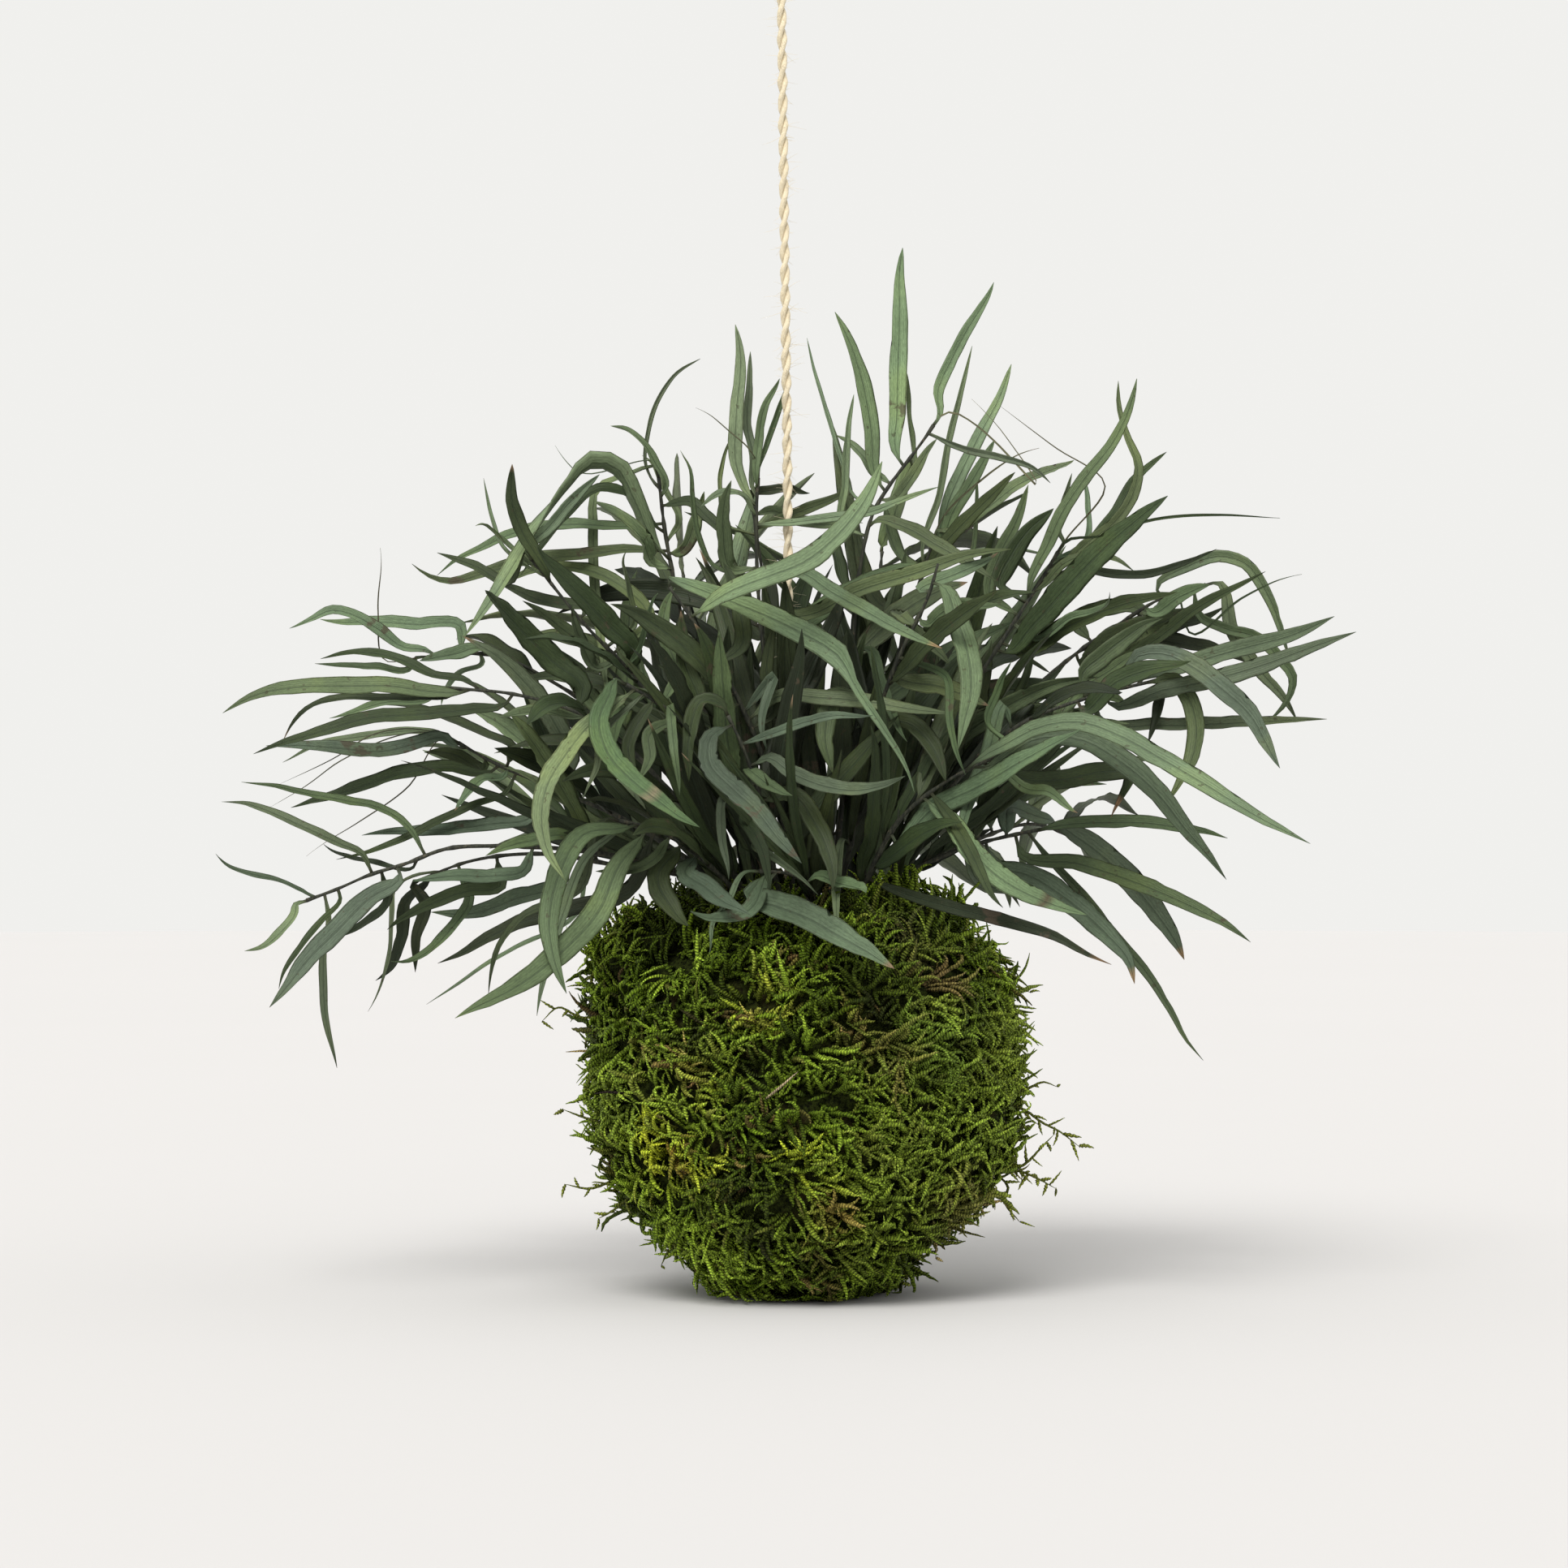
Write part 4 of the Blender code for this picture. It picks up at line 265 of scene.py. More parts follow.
# Each sprig: twig points, the first one its foot in the soil, then its leaves.
# Each leaf: tone letter, depth of its tip, width, turn of its blade at the base and at the tip in degrees,
# then the points (across, up) that it runs through from the twig to its tip.
SPRIGS = [
    # 01 upright, right of the twine
    ([(7, 3), (10, 3, 130), (12, 3, 160), (14, 3, 185), (18, 3, 201), (22, 3, 207.5), (25, 3, 211.5),
      (31, 2.5, 219.5), (33, 2, 222.5)],
     [("L", -2, 3.4, 20, 10, [(34, 230), (38, 240), (43.5, 250), (49.5, 258.5)]),
      ("L", 1, 5.0, 0, 10, [(24, 214), (23.7, 226), (24, 240), (24.3, 255), (23.6, 268)]),
      ("M", 8, 4.8, 10, 20, [(18, 209), (17, 222), (14.5, 235), (10.5, 246), (7.3, 251.5)]),
      ("O", -8, 2.0, 50, 40, [(40, 216.7), (50, 214.3), (57, 212.3), (63.5, 208.5)]),
      ("M", 11, 2.2, 50, 50, [(27.3, 213), (26.5, 227), (26.3, 238)]),
      ("M", -6, 3.2, 10, 0, [(23, 203), (27, 208.5), (30, 213.5), (33.4, 219)]),
      ("M", 15, 3.2, 0, 20, [(18, 210), (15, 214.5), (12, 217.5), (8, 220)]),
      ("L", 7, 2.0, 40, 40, [(13, 204), (9.5, 213), (5.5, 226), (2, 238), (0.5, 245)]),
      ("L", -1, 2.4, 20, 30, [(10.3, 196), (10.2, 208), (11, 222), (12.5, 230.5)]),
      ("M", -14, 3.8, 0, 0, [(17, 197), (25, 196.5), (34, 191.5), (42, 187), (49, 182.5)]),
      ("M", -36, 3.0, 0, 0, [(16, 165), (19, 157), (22, 149), (25, 141)]),
      ("D", -5, 5.0, 0, 0, [(5, 118), (3, 132), (2, 146), (3.5, 160), (5, 172)]),
      ("M", -9, 4.6, 0, 10, [(9.5, 112), (10.5, 121), (13, 130)])]),
    # 02 upright, left of the twine
    ([(-3, -4), (-6, -2, 125), (-9, 2, 150), (-12, 4, 180), (-12.5, 4, 200), (-12, 4, 209)],
     [("L", 2, 4.0, 10, -10, [(-17.3, 211), (-17.6, 225), (-16.5, 238), (-17, 248.5)]),
      ("O", 9, 2.6, 10, 10, [(-13.2, 214), (-14.8, 222), (-14.3, 232), (-14, 241.5)]),
      ("M", 0, 2.6, 10, 20, [(-12, 218), (-10, 228), (-5.8, 234.2)]),
      ("M", 6, 1.8, 40, 20, [(-10.5, 216), (-7, 226), (-4.2, 235), (-5.5, 239)]),
      ("M", 13, 1.8, 40, 40, [(-19, 196), (-22, 207), (-19.5, 220)]),
      ("M", -6, 2.2, 30, 40, [(-23, 186), (-28, 196), (-29, 204), (-30, 212), (-32.5, 215.5)]),
      ("M", -2, 4.2, 10, 10, [(-18, 185), (-21, 196), (-20, 208.5)]),
      ("L", -10, 2.4, 20, 0, [(-16, 204.5), (-21, 205.3), (-27, 201.5)]),
      ("L", -18, 2.6, 10, 10, [(-4, 197.5), (8, 199), (16, 200), (24, 203), (34, 207)]),
      ("L", -58, 4.2, 0, 10, [(-1, 184.5), (6, 180), (14, 175.5), (22, 171), (30, 167.3), (35.5, 165.8)]),
      ("M", -20, 4.4, 0, 10, [(0, 173.5), (14, 180), (30, 185), (43, 189.5), (53, 191.5)]),
      ("D", -6, 4.8, 0, 0, [(-5.4, 152), (-4.7, 163), (-4.8, 174), (-5.4, 184)]),
      ("D", -12, 4.4, 0, 0, [(-3.6, 109), (-4, 118), (-3.4, 128), (-1, 137)])]),
    # 03 upright, right and behind
    ([(8, 11), (13, 13, 125), (20, 15, 150), (28, 17, 177), (33, 18, 193)],
     [("L", 16, 2.2, 30, 30, [(34.5, 205), (36.5, 217), (40, 231), (43, 243)]),
      ("L", 24, 4.0, 0, 10, [(37, 203), (41, 212), (45.5, 221), (50, 229.5), (53, 238)]),
      ("M", 30, 4.0, 10, 0, [(38, 200), (42, 206.5), (45.5, 212.5), (48.8, 218.8)]),
      ("M", 10, 3.4, 0, 0, [(38, 195), (46, 200.5), (53, 206), (62, 210.5), (70, 213)]),
      ("D", 4, 4.4, 0, 0, [(35, 191), (41, 197.5), (48, 204.5), (54, 210.5)]),
      ("M", 34, 1.8, 40, 40, [(41, 186), (44, 200), (44, 213)]),
      ("D", 22, 4.0, 0, 0, [(20, 176), (15, 186), (13, 196)]),
      ("D", 5, 5.4, 0, 0, [(15, 140), (16, 155), (14, 168), (13, 180)])]),
    # 04 up and to the right
    ([(13, 5), (18, 7, 112), (31, 10, 138), (46, 12, 160), (57, 12, 177), (65, 12, 190)],
     [("M", -6, 4.0, 0, 0, [(58, 183), (62, 191), (66, 200), (72, 209), (79, 218), (84, 228), (86.5, 234)]),
      ("M", 16, 3.2, 20, 20, [(72, 192), (79, 197), (84, 204), (85.5, 211), (82.5, 220), (80.5, 227),
                              (80.5, 234)]),
      ("D", 24, 3.8, 0, 0, [(72, 191), (79.5, 199), (85, 208.5), (92, 215.5)]),
      ("D", -16, 7.4, 0, 10, [(52, 164), (58, 170.5), (67, 180.5), (76, 190), (85, 198), (92.3, 204.5)]),
      ("L", 30, 2.0, 30, 30, [(71, 191), (72.5, 203), (71, 212)]),
      ("M", 4, 2.0, 30, 30, [(65, 195), (66.5, 203), (68.5, 210)]),
      ("M", 20, 3.8, 0, 0, [(48, 178), (50, 189), (54, 197), (57.5, 207)]),
      ("M", 2, 2.4, 0, 0, [(67, 187.3), (74, 189.3), (80, 188), (84.5, 185)]),
      ("D", -5, 5.0, 0, 0, [(56, 164), (66, 170), (76, 174.5), (86, 177.5), (96, 179)]),
      ("N", 20, 2.2, 20, 20, [(70, 185.5), (79, 184.3), (88, 184.3), (97, 187), (105.5, 190.3)]),
      ("L", -24, 2.2, 20, 20, [(58, 168), (68, 173), (75, 175), (80, 178.7)]),
      ("D", 2, 5.4, 0, 0, [(25, 132), (27, 144), (30, 156), (34, 168)])]),
    # 05 to the right
    ([(19, -7), (23, -9, 109), (36, -13, 128), (54, -16, 145), (74, -16, 153), (90, -14, 157)],
     [("O", 0, 4.6, 0, 10, [(96, 160), (105, 163), (114, 165.5), (125, 168.5), (136, 173.5)]),
      ("O", -24, 4.6, 0, 10,
       [(78, 150.5), (92, 154.5), (106, 157.5), (118, 161), (130, 165.5), (141.5, 169.5)]),
      ("O", -9, 3.4, 0, 0, [(75, 147.5), (90, 145.5), (105, 145.8), (120, 146.5), (134, 147.5)]),
      ("B", -52, 5.2, 0, 10, [(84, 162), (91, 163.8), (99, 160.5), (107, 154.5), (114, 148), (118, 141),
                              (121.2, 133.5)]),
      ("M", -29, 4.2, 10, 20,
       [(94, 157.5), (98, 153), (100.3, 145), (99, 136.5), (95.5, 130), (92.3, 125.5)]),
      ("D", -27, 5.2, 0, 0, [(70, 151.5), (80, 156.5), (90, 160), (99, 161)]),
      ("N", 4, 2.6, 20, 20, [(91, 152), (90, 147), (88, 141)]),
      ("L", -50, 3.8, 10, 20,
       [(51.3, 150.5), (49.5, 145), (46.5, 137), (43, 128.5), (40, 119), (38.8, 113.5)]),
      ("M", 6, 4.2, 0, 0, [(60, 139), (68, 152), (79, 160), (87, 166)])]),
    # 06 to the right, higher and behind
    ([(18, 9), (24, 13, 108), (40, 19, 135), (60, 23, 156), (80, 24, 171), (95, 24, 179.5), (103, 23, 181.5)],
     [("O", 20, 3.0, 20, 30, [(90, 181), (99, 186.5), (107, 188.8), (113, 187), (118.5, 179.5), (122, 171),
                              (124, 161.5)]),
      ("M", 12, 2.8, 20, 20, [(101, 174), (108, 170.2), (116, 168), (121.5, 163), (125.5, 157), (123.5, 151),
                              (117.5, 146)]),
      ("O", 17, 3.4, 0, 30, [(105, 178), (110, 169), (116, 160.5), (123, 152.5), (127.5, 147)]),
      ("L", 10, 4.8, 0, 0, [(89, 174.5), (96, 178.2), (104, 182)]),
      ("D", 4, 3.4, 0, 0, [(76, 158.5), (84, 163.3), (92, 168.7), (100, 175), (110, 180.5), (118.5, 184.5)]),
      ("N", 32, 3.0, 0, 0, [(90, 168.5), (97, 171.3), (103, 173), (108, 176)]),
      ("N", 36, 4.0, 0, 0, [(88, 168.5), (97, 166.5), (106, 164.5), (114, 161.5)]),
      ("M", 46, 4.6, 0, 0, [(70, 171), (82, 176), (94, 172)]),
      ("D", 10, 5.0, 0, 0, [(33, 128), (41, 135), (50, 143), (60, 150)])]),
    # 07 low at the front right
    ([(13, -14), (16, -18, 106), (24, -25, 121), (36, -31, 131), (50, -34, 138)],
     [("L", -64, 6.0, 0, 0, [(22, 117.5), (32, 123.5), (44, 129.5), (55, 136), (64, 141), (70.5, 144)]),
      ("L", -80, 5.2, 0, 0, [(52, 141), (60, 145), (70, 146.3), (80, 143), (90, 137.5), (102, 130.5),
                             (115, 122.5), (129.5, 115)]),
      ("B", -52, 5.8, 0, 0, [(60, 142), (71, 141.5), (80, 136.5), (90, 128), (98, 118), (104, 111.5),
                             (108.5, 106.5)]),
      ("D", -22, 4.8, 0, 30, [(56, 131.7), (66, 131.5), (76, 133.5), (83.5, 133), (81, 127.5), (77, 122.5)]),
      ("L", -84, 5.4, 0, 10, [(37, 121), (43, 112.5), (50, 106), (58, 101.5), (66, 98.5), (72, 96.8)]),
      ("D", -58, 3.0, 10, 10, [(37, 122), (42, 113.5), (45.5, 106), (49, 98)]),
      ("L", -62, 2.6, 20, 20, [(56, 129.5), (62, 128.5), (66, 125.5), (69, 122.5)]),
      ("D", -46, 6.2, 0, 0, [(20, 110.5), (30, 117.5), (39, 121.5)]),
      ("L", -48, 2.0, 40, 40, [(46.5, 146), (49, 154), (52.8, 162)]),
      ("N", -58, 3.2, 10, 20, [(26, 102), (38, 98.5), (52, 95), (65, 90.8), (72, 86.8), (78.5, 84)])]),
    # 08 low to the right
    ([(20.5, 1), (25, 2, 106), (38, 4, 113), (52, 5, 117), (62, 5, 119)],
     [("M", -7, 3.6, 0, 0, [(66, 119.8), (78, 120.5), (88, 120.3), (97, 119), (103, 118), (108.5, 116)]),
      ("M", -32, 4.6, 0, 0, [(55, 113.3), (70, 110), (85, 105), (100, 98.5), (108, 94.5), (115, 90.5)]),
      ("B", 20, 6.6, 0, 0, [(70, 116.5), (80, 108.5), (89, 98.5), (95, 90), (97.3, 84.5)]),
      ("B", -22, 6.2, 0, 0, [(48, 110), (57, 107), (68, 100), (77, 92), (83, 85), (84.5, 79)]),
      ("O", -8, 2.4, 30, 20, [(62, 112), (70, 103.5), (80, 91), (88, 81.5), (94, 72), (98, 65), (103, 60.2)]),
      ("B", 22, 5.2, 0, 0, [(52, 124), (60, 122), (66, 120.5)]),
      ("M", 34, 4.6, 0, 0, [(44, 106), (54, 103), (66, 104)])]),
    # 09 up and to the left
    ([(-10, 9), (-14, 12, 115), (-26, 14, 150), (-33, 14, 180), (-36, 14, 196), (-37.5, 13, 209)],
     [("L", -12, 5.6, 150, 0, [(-39, 193), (-43.5, 203), (-49, 212), (-54, 213), (-61, 206.5), (-70, 194.5),
                               (-79, 180), (-87.5, 167)]),
      ("D", 4, 3.0, 10, 20, [(-39, 197), (-45, 204.5), (-53, 206), (-60, 200.5), (-67, 192), (-73, 184)]),
      ("L", 24, 3.0, 0, 0, [(-45, 196.5), (-60, 197), (-74, 195), (-84, 190.5), (-90, 187.5), (-94, 184)]),
      ("M", 12, 3.4, 0, 0, [(-45, 190.5), (-58, 189), (-70, 188), (-82, 184.5), (-92, 182.3), (-97, 184),
                            (-101, 187)]),
      ("M", 8, 2.6, 10, 20, [(-36, 207), (-38.5, 213), (-42, 218.5), (-46, 221.5), (-50, 222.7)]),
      ("M", 23, 2.2, 20, 20, [(-32.5, 197), (-36, 206), (-40.5, 216)]),
      ("O", 17, 1.6, 50, 40, [(-41, 213), (-40.5, 220), (-37.5, 229.5), (-32.5, 236.2), (-27, 239.7)]),
      ("D", -6, 3.2, 0, 0, [(-30, 203), (-25, 199), (-19, 192.5)]),
      ("L", -16, 2.5, 20, 10, [(-46, 209.5), (-53.3, 206), (-54.2, 196), (-53.8, 182), (-52, 165),
                               (-50.5, 148.5)]),
      ("L", -20, 5.0, 0, 0, [(-38.5, 186.5), (-42, 193.5), (-48, 199), (-54, 203)])]),
    # 10 upper left
    ([(-10, -1), (-14, 0, 112), (-28, 1, 138), (-44, 0, 158), (-58, -2, 173), (-70, -3, 188)],
     [("D", -9, 4.0, 0, 0, [(-72.5, 195), (-75.3, 203), (-75, 213)]),
      ("L", 8, 1.6, 50, 50, [(-78, 192), (-80.5, 199), (-82.5, 209)]),
      ("L", -14, 2.0, 30, 30, [(-76, 191.5), (-80, 195.5), (-84, 198.5)]),
      ("D", 12, 2.8, 0, 0, [(-76, 182.5), (-85, 186.5), (-94.5, 189.8)]),
      ("D", -26, 6.8, 0, 10, [(-44, 163.5), (-51, 171.5), (-60, 181), (-70.5, 191)]),
      ("D", 18, 3.4, 0, 0, [(-58, 173), (-68, 177.5), (-79, 182.5)]),
      ("L", -20, 1.8, 40, 40, [(-44, 171), (-45.3, 180), (-47.5, 191)]),
      ("L", -14, 3.2, 10, 10, [(-53, 160), (-57.5, 167), (-60.5, 176)]),
      ("M", -26, 3.8, 0, 10, [(-44, 152), (-48, 147), (-49.5, 139)]),
      ("L", -30, 1.8, 40, 40, [(-43, 164), (-40.7, 172), (-38.5, 180.5)]),
      ("M", 24, 3.4, 0, 0, [(-40, 172), (-52, 184), (-66, 186), (-80, 181)]),
      ("D", -6, 5.4, 0, 0, [(-22, 127), (-24, 140), (-26, 154), (-27.5, 171)]),
      ("N", 5, 4.4, 0, 0, [(-29, 142), (-32, 153), (-33, 165), (-31, 176)])]),
    # 11 to the left
    ([(-14, -4), (-19, -5, 108), (-36, -8, 130), (-55, -10, 147), (-75, -10, 153.5), (-91, -9, 155)],
     [("D", -4, 2.6, 10, 0, [(-96, 158.5), (-103, 162), (-111, 164), (-118, 164), (-124.5, 162.5)]),
      ("M", -18, 4.6, 0, 0, [(-95, 154), (-106, 155.5), (-118, 155.5), (-130, 155.3), (-142, 153),
                             (-150, 149.3)]),
      ("D", -26, 3.8, 0, 0, [(-76, 152), (-86, 149.5), (-98, 148.3), (-112, 147.3), (-126, 143.3),
                             (-136, 140.3), (-142, 137.8)]),
      ("D", -6, 2.4, 10, 20, [(-100, 152.5), (-111, 152.5), (-120, 152.3), (-127.5, 150), (-131.5, 146),
                              (-134, 141)]),
      ("L", 8, 2.6, 0, 0, [(-96, 152.5), (-108, 151.3), (-121, 147)]),
      ("D", -36, 6.8, 0, 0, [(-57, 154), (-65, 162), (-74, 171), (-83, 181)]),
      ("L", -46, 3.8, 0, 0, [(-58, 147.5), (-68, 149), (-79, 147.5)]),
      ("D", 6, 4.2, 0, 0, [(-48, 152), (-62, 158), (-74, 157)]),
      ("D", -3, 5.0, 0, 0, [(-24, 119), (-31, 131), (-36, 143), (-38, 155)])]),
    # 12 left, higher and behind
    ([(-15, 5), (-21, 9, 112), (-40, 15, 138), (-62, 19, 155), (-80, 20, 163.5), (-97, 20, 163)],
     [("L", 14, 3.0, 0, 0, [(-103, 165.5), (-110, 170.5), (-116.5, 174), (-121.5, 175), (-126, 173),
                            (-132, 169.5)]),
      ("L", 34, 3.6, 0, 0, [(-88, 170.2), (-100, 171.3), (-112, 172), (-124, 171.3)]),
      ("L", 6, 3.8, 0, 0, [(-82, 164.5), (-90, 163.7), (-99, 162)]),
      ("M", 26, 2.2, 10, 10, [(-101, 160), (-110, 160.3), (-118, 160.7), (-125.8, 161.3)]),
      ("L", 12, 2.2, 20, 30, [(-83, 162.8), (-88.5, 158.8), (-92, 154.5), (-94, 150.5)]),
      ("M", 44, 4.4, 0, 0, [(-52, 164), (-62, 168), (-74, 168)]),
      ("M", 10, 4.2, 0, 0, [(-50, 160), (-62, 170), (-72, 178)])]),
    # 13 left, at mid height
    ([(-20, 2), (-24, 4, 105), (-44, 7, 120), (-64, 8, 129), (-82, 8, 137), (-89, 8, 141)],
     [("B", 2, 4.0, 0, 0, [(-93, 142.5), (-99, 141), (-109, 138.7), (-119, 139.5), (-130, 140.3),
                           (-138.5, 140.2)]),
      ("D", 16, 3.6, 0, 0, [(-82, 135.5), (-90, 138), (-97.5, 139)]),
      ("D", 22, 3.8, 0, 0, [(-80, 134), (-92, 134.7), (-104, 133), (-116, 129), (-126, 126), (-132, 124.3)]),
      ("L", 14, 2.2, 0, 0, [(-100, 144), (-114, 142.5), (-126, 140.2), (-133.5, 135.3)]),
      ("O", 15, 5.4, 0, 10, [(-60, 137), (-63.5, 145), (-70, 154.5), (-78, 162.5), (-88, 168.5)]),
      ("L", -8, 3.0, 10, 20, [(-77, 133), (-83, 131.5), (-87, 127.5), (-90, 123.5)]),
      ("B", -4, 3.6, 0, 0, [(-70, 122), (-80, 120.2), (-90, 119), (-102, 118.3), (-114, 118.5)]),
      ("D", -14, 2.4, 10, 10,
       [(-76, 129), (-85, 125), (-95, 120.5), (-104, 116), (-112, 113), (-120.5, 111)])]),
    # 14 long low twig to the left
    ([(-19, -6), (-24, -8, 104), (-40, -12, 110), (-60, -15, 113.5), (-80, -15, 114.5), (-92, -14, 113.8),
      (-103, -13, 109.8), (-112, -12, 107), (-120, -11, 103.5), (-128, -10, 100.5)],
     [("O", -14, 1.8, 30, 10, [(-134, 105.3), (-142, 107.3), (-147, 108.8), (-152, 111.5)]),
      ("L", -18, 2.4, 20, 10, [(-131, 97), (-135, 92), (-139.5, 88.4), (-144, 87.5)]),
      ("O", -6, 2.2, 30, 20, [(-122.3, 97), (-123.6, 86), (-123.6, 76), (-122.5, 67), (-119.5, 57.5)]),
      ("D", -19, 2.0, 20, 20, [(-119, 100), (-124, 95.5), (-130, 88), (-134, 82), (-136, 78)]),
      ("B", -36, 5.4, 0, 0, [(-104, 107), (-112, 101), (-120, 93), (-128, 85), (-133, 78.5), (-137, 73.5)]),
      ("N", -1, 2.4, 0, 10, [(-107, 101), (-113, 94.8), (-118, 92), (-122, 90)]),
      ("O", -6, 2.6, 10, 10, [(-113, 111.5), (-120, 115.3), (-130, 120), (-140, 124.3), (-149, 126.8)]),
      ("M", 5, 2.4, 10, 10, [(-101, 118.5), (-108, 123.8), (-118, 126.2), (-128, 128), (-137, 130),
                             (-144.5, 130.3)]),
      ("N", 2, 1.8, 20, 20, [(-100, 110.5), (-110, 110.2), (-118, 112), (-124.5, 114.3)]),
      ("M", -28, 3.6, 0, 0, [(-60, 116.5), (-72, 115.5), (-82, 112.5)]),
      ("B", -24, 3.8, 0, 0, [(-72, 108.5), (-80, 106.8), (-90, 106.8), (-101, 105.5)])]),
    # 15 low to the left, behind
    ([(-19, 9.5), (-24, 12, 104), (-46, 17, 109), (-70, 19, 112.5), (-88, 19, 110), (-98, 18, 106)],
     [("O", 8, 1.6, 40, 40, [(-105, 104), (-106, 96), (-106.5, 87.5), (-109, 78), (-110.5, 71.5)]),
      ("N", 26, 3.2, 0, 10, [(-102.3, 100), (-103.2, 92), (-106, 83.5), (-109.5, 79)]),
      ("N", 14, 3.0, 0, 10, [(-97.5, 100), (-99.6, 91), (-100, 82)]),
      ("D", 2, 3.8, 0, 0, [(-78, 104.5), (-87, 102.8), (-96, 99.5), (-103, 96.2), (-108, 94)]),
      ("L", 8, 2.8, 10, 10, [(-86, 101), (-91, 93), (-97, 87.2), (-102, 84.6), (-106.5, 83.8)]),
      ("L", 4, 1.8, 30, 30, [(-58, 98), (-75, 88), (-82, 84), (-90, 78.5), (-97.5, 74)]),
      ("B", 36, 4.6, 0, 0, [(-62, 106), (-74, 101), (-86, 97), (-96, 97.5)])]),
    # 16 low at the front left
    ([(-14, -14), (-18, -18, 103), (-29, -26, 113), (-39, -31, 119), (-48, -33, 121)],
     [("M", -82, 6.2, 0, 0, [(-42, 116.5), (-48, 109.5), (-53, 98), (-62, 88), (-75, 78), (-91, 71)]),
      ("M", -66, 5.2, 0, 10, [(-57, 117.5), (-63.5, 107), (-66, 94), (-64.5, 84.5), (-61.5, 76.5)]),
      ("L", -42, 2.6, 10, 10, [(-56, 112), (-62, 98), (-66.5, 83), (-70, 71)]),
      ("N", -14, 4.4, 0, 0, [(-45, 103), (-60, 98), (-75, 94), (-82, 90.5), (-88, 87), (-94.5, 84.3)]),
      ("D", -24, 2.6, 20, 20, [(-58, 103), (-73, 96), (-79, 88), (-81, 82), (-82.5, 76.5)]),
      ("B", -64, 5.4, 0, 0, [(-31, 108), (-26, 104), (-21, 100), (-15, 98)]),
      ("M", -44, 3.0, 0, 0, [(-38, 112), (-46, 108), (-54, 108)]),
      ("D", -40, 5.6, 0, 0, [(-38, 107), (-34, 98), (-30, 93)])]),
    # 17 front left, rising
    ([(-8, -10), (-12, -14, 112), (-23, -22, 135), (-36, -28, 150), (-46, -30, 156)],
     [("L", -70, 4.8, 0, 10, [(-56, 145), (-62, 137.5), (-66.5, 130), (-68, 121), (-66, 112.5),
                              (-61.5, 106.5)]),
      ("Y", -72, 5.2, 0, 0, [(-50.5, 153), (-53, 147.5), (-51, 138.5), (-45, 131.5), (-38, 126), (-32, 121.5),
                             (-26.8, 118)]),
      ("M", -42, 2.4, 20, 20, [(-34.8, 151), (-34.3, 144), (-33.5, 137), (-32, 128)]),
      ("O", -46, 2.2, 20, 20, [(-52.5, 142), (-53.5, 134.5), (-57.5, 127.5)]),
      ("D", -34, 3.4, 0, 0, [(-43, 146), (-45.5, 140), (-43.5, 132)]),
      ("D", -24, 4.2, 0, 0, [(-28, 150), (-31, 162), (-32, 175)]),
      ("M", -16, 3.6, 0, 0, [(-33, 158), (-36.5, 170), (-34.5, 182)]),
      ("M", -40, 3.2, 0, 0, [(-40, 143), (-40, 137), (-43, 131)]),
      ("D", -16, 5.2, 0, 10, [(-17, 128), (-19, 142), (-20.5, 156), (-20, 171)]),
      ("D", -9, 4.8, 0, 0, [(-13.5, 120), (-14.5, 135), (-15, 150), (-14, 166)]),
      ("D", -10, 3.6, 0, 0, [(-10.5, 113), (-10, 126), (-9.6, 142), (-10.5, 158)])]),
    # 18 front centre
    ([(-6, -17), (-8, -21, 108), (-12, -27, 128), (-17, -31, 142), (-20, -32, 148)],
     [("G", -72, 5.2, 0, 0, [(-24, 143), (-25, 136), (-19.5, 129.5), (-13, 123.5), (-7, 116), (0, 109)]),
      ("M", -50, 3.6, 0, 0, [(-15, 134.5), (-10, 130.5), (-4, 127)]),
      ("B", -58, 4.0, 0, 0, [(-10, 137), (-4, 133.3), (4, 130), (12, 128.7), (20, 130), (26.7, 132.7)]),
      ("O", -54, 1.8, 30, 30, [(-13, 115), (-6, 110), (0, 105), (2.5, 101.5)]),
      ("D", -42, 4.8, 0, 0, [(-4, 127.5), (2.5, 120), (6, 112), (8, 103)]),
      ("B", -48, 2.6, 10, 10, [(-8, 143.5), (0, 146.3), (8, 148), (17, 147)]),
      ("D", -38, 3.6, 0, 0, [(-26, 152), (-30, 142), (-30, 131)]),
      ("B", -40, 2.4, 20, 20, [(-20, 128), (-21.5, 118), (-19, 106)]),
      ("D", -44, 3.6, 0, 0, [(-15, 122), (-11, 113), (-9, 103)])]),
    # 19 low at the front
    ([(2, -19.5), (1, -26, 104), (-5, -33, 107.5), (-12, -37, 108)],
     [("B", -68, 7.0, 0, 0, [(-13.5, 101), (-8, 99), (0, 96), (8, 91.5), (16, 87), (23, 82)]),
      ("B", -58, 4.0, 0, 0, [(-14, 98.5), (-20, 96), (-30, 96.5)]),
      ("L", -60, 3.8, 0, 0, [(2, 106.5), (8, 105), (16.5, 103)]),
      ("L", -56, 1.6, 20, 20, [(-20, 100), (-24, 94), (-24, 87)])]),
    # 20 front, rising to the left
    ([(1, -11), (-3, -14, 112), (-14, -21, 145), (-26, -26, 168), (-35, -28, 181)],
     [("L", -76, 5.8, 0, 30, [(-29, 181), (-20, 177.5), (-9, 173), (0, 168.5), (8, 163.5), (13, 155),
                              (20, 144.5), (26, 134.5), (29, 127)]),
      ("L", -34, 6.6, 0, 0, [(-20, 179.5), (-10, 183.5), (0, 187.5), (8, 194), (14.5, 202), (20.5, 213)]),
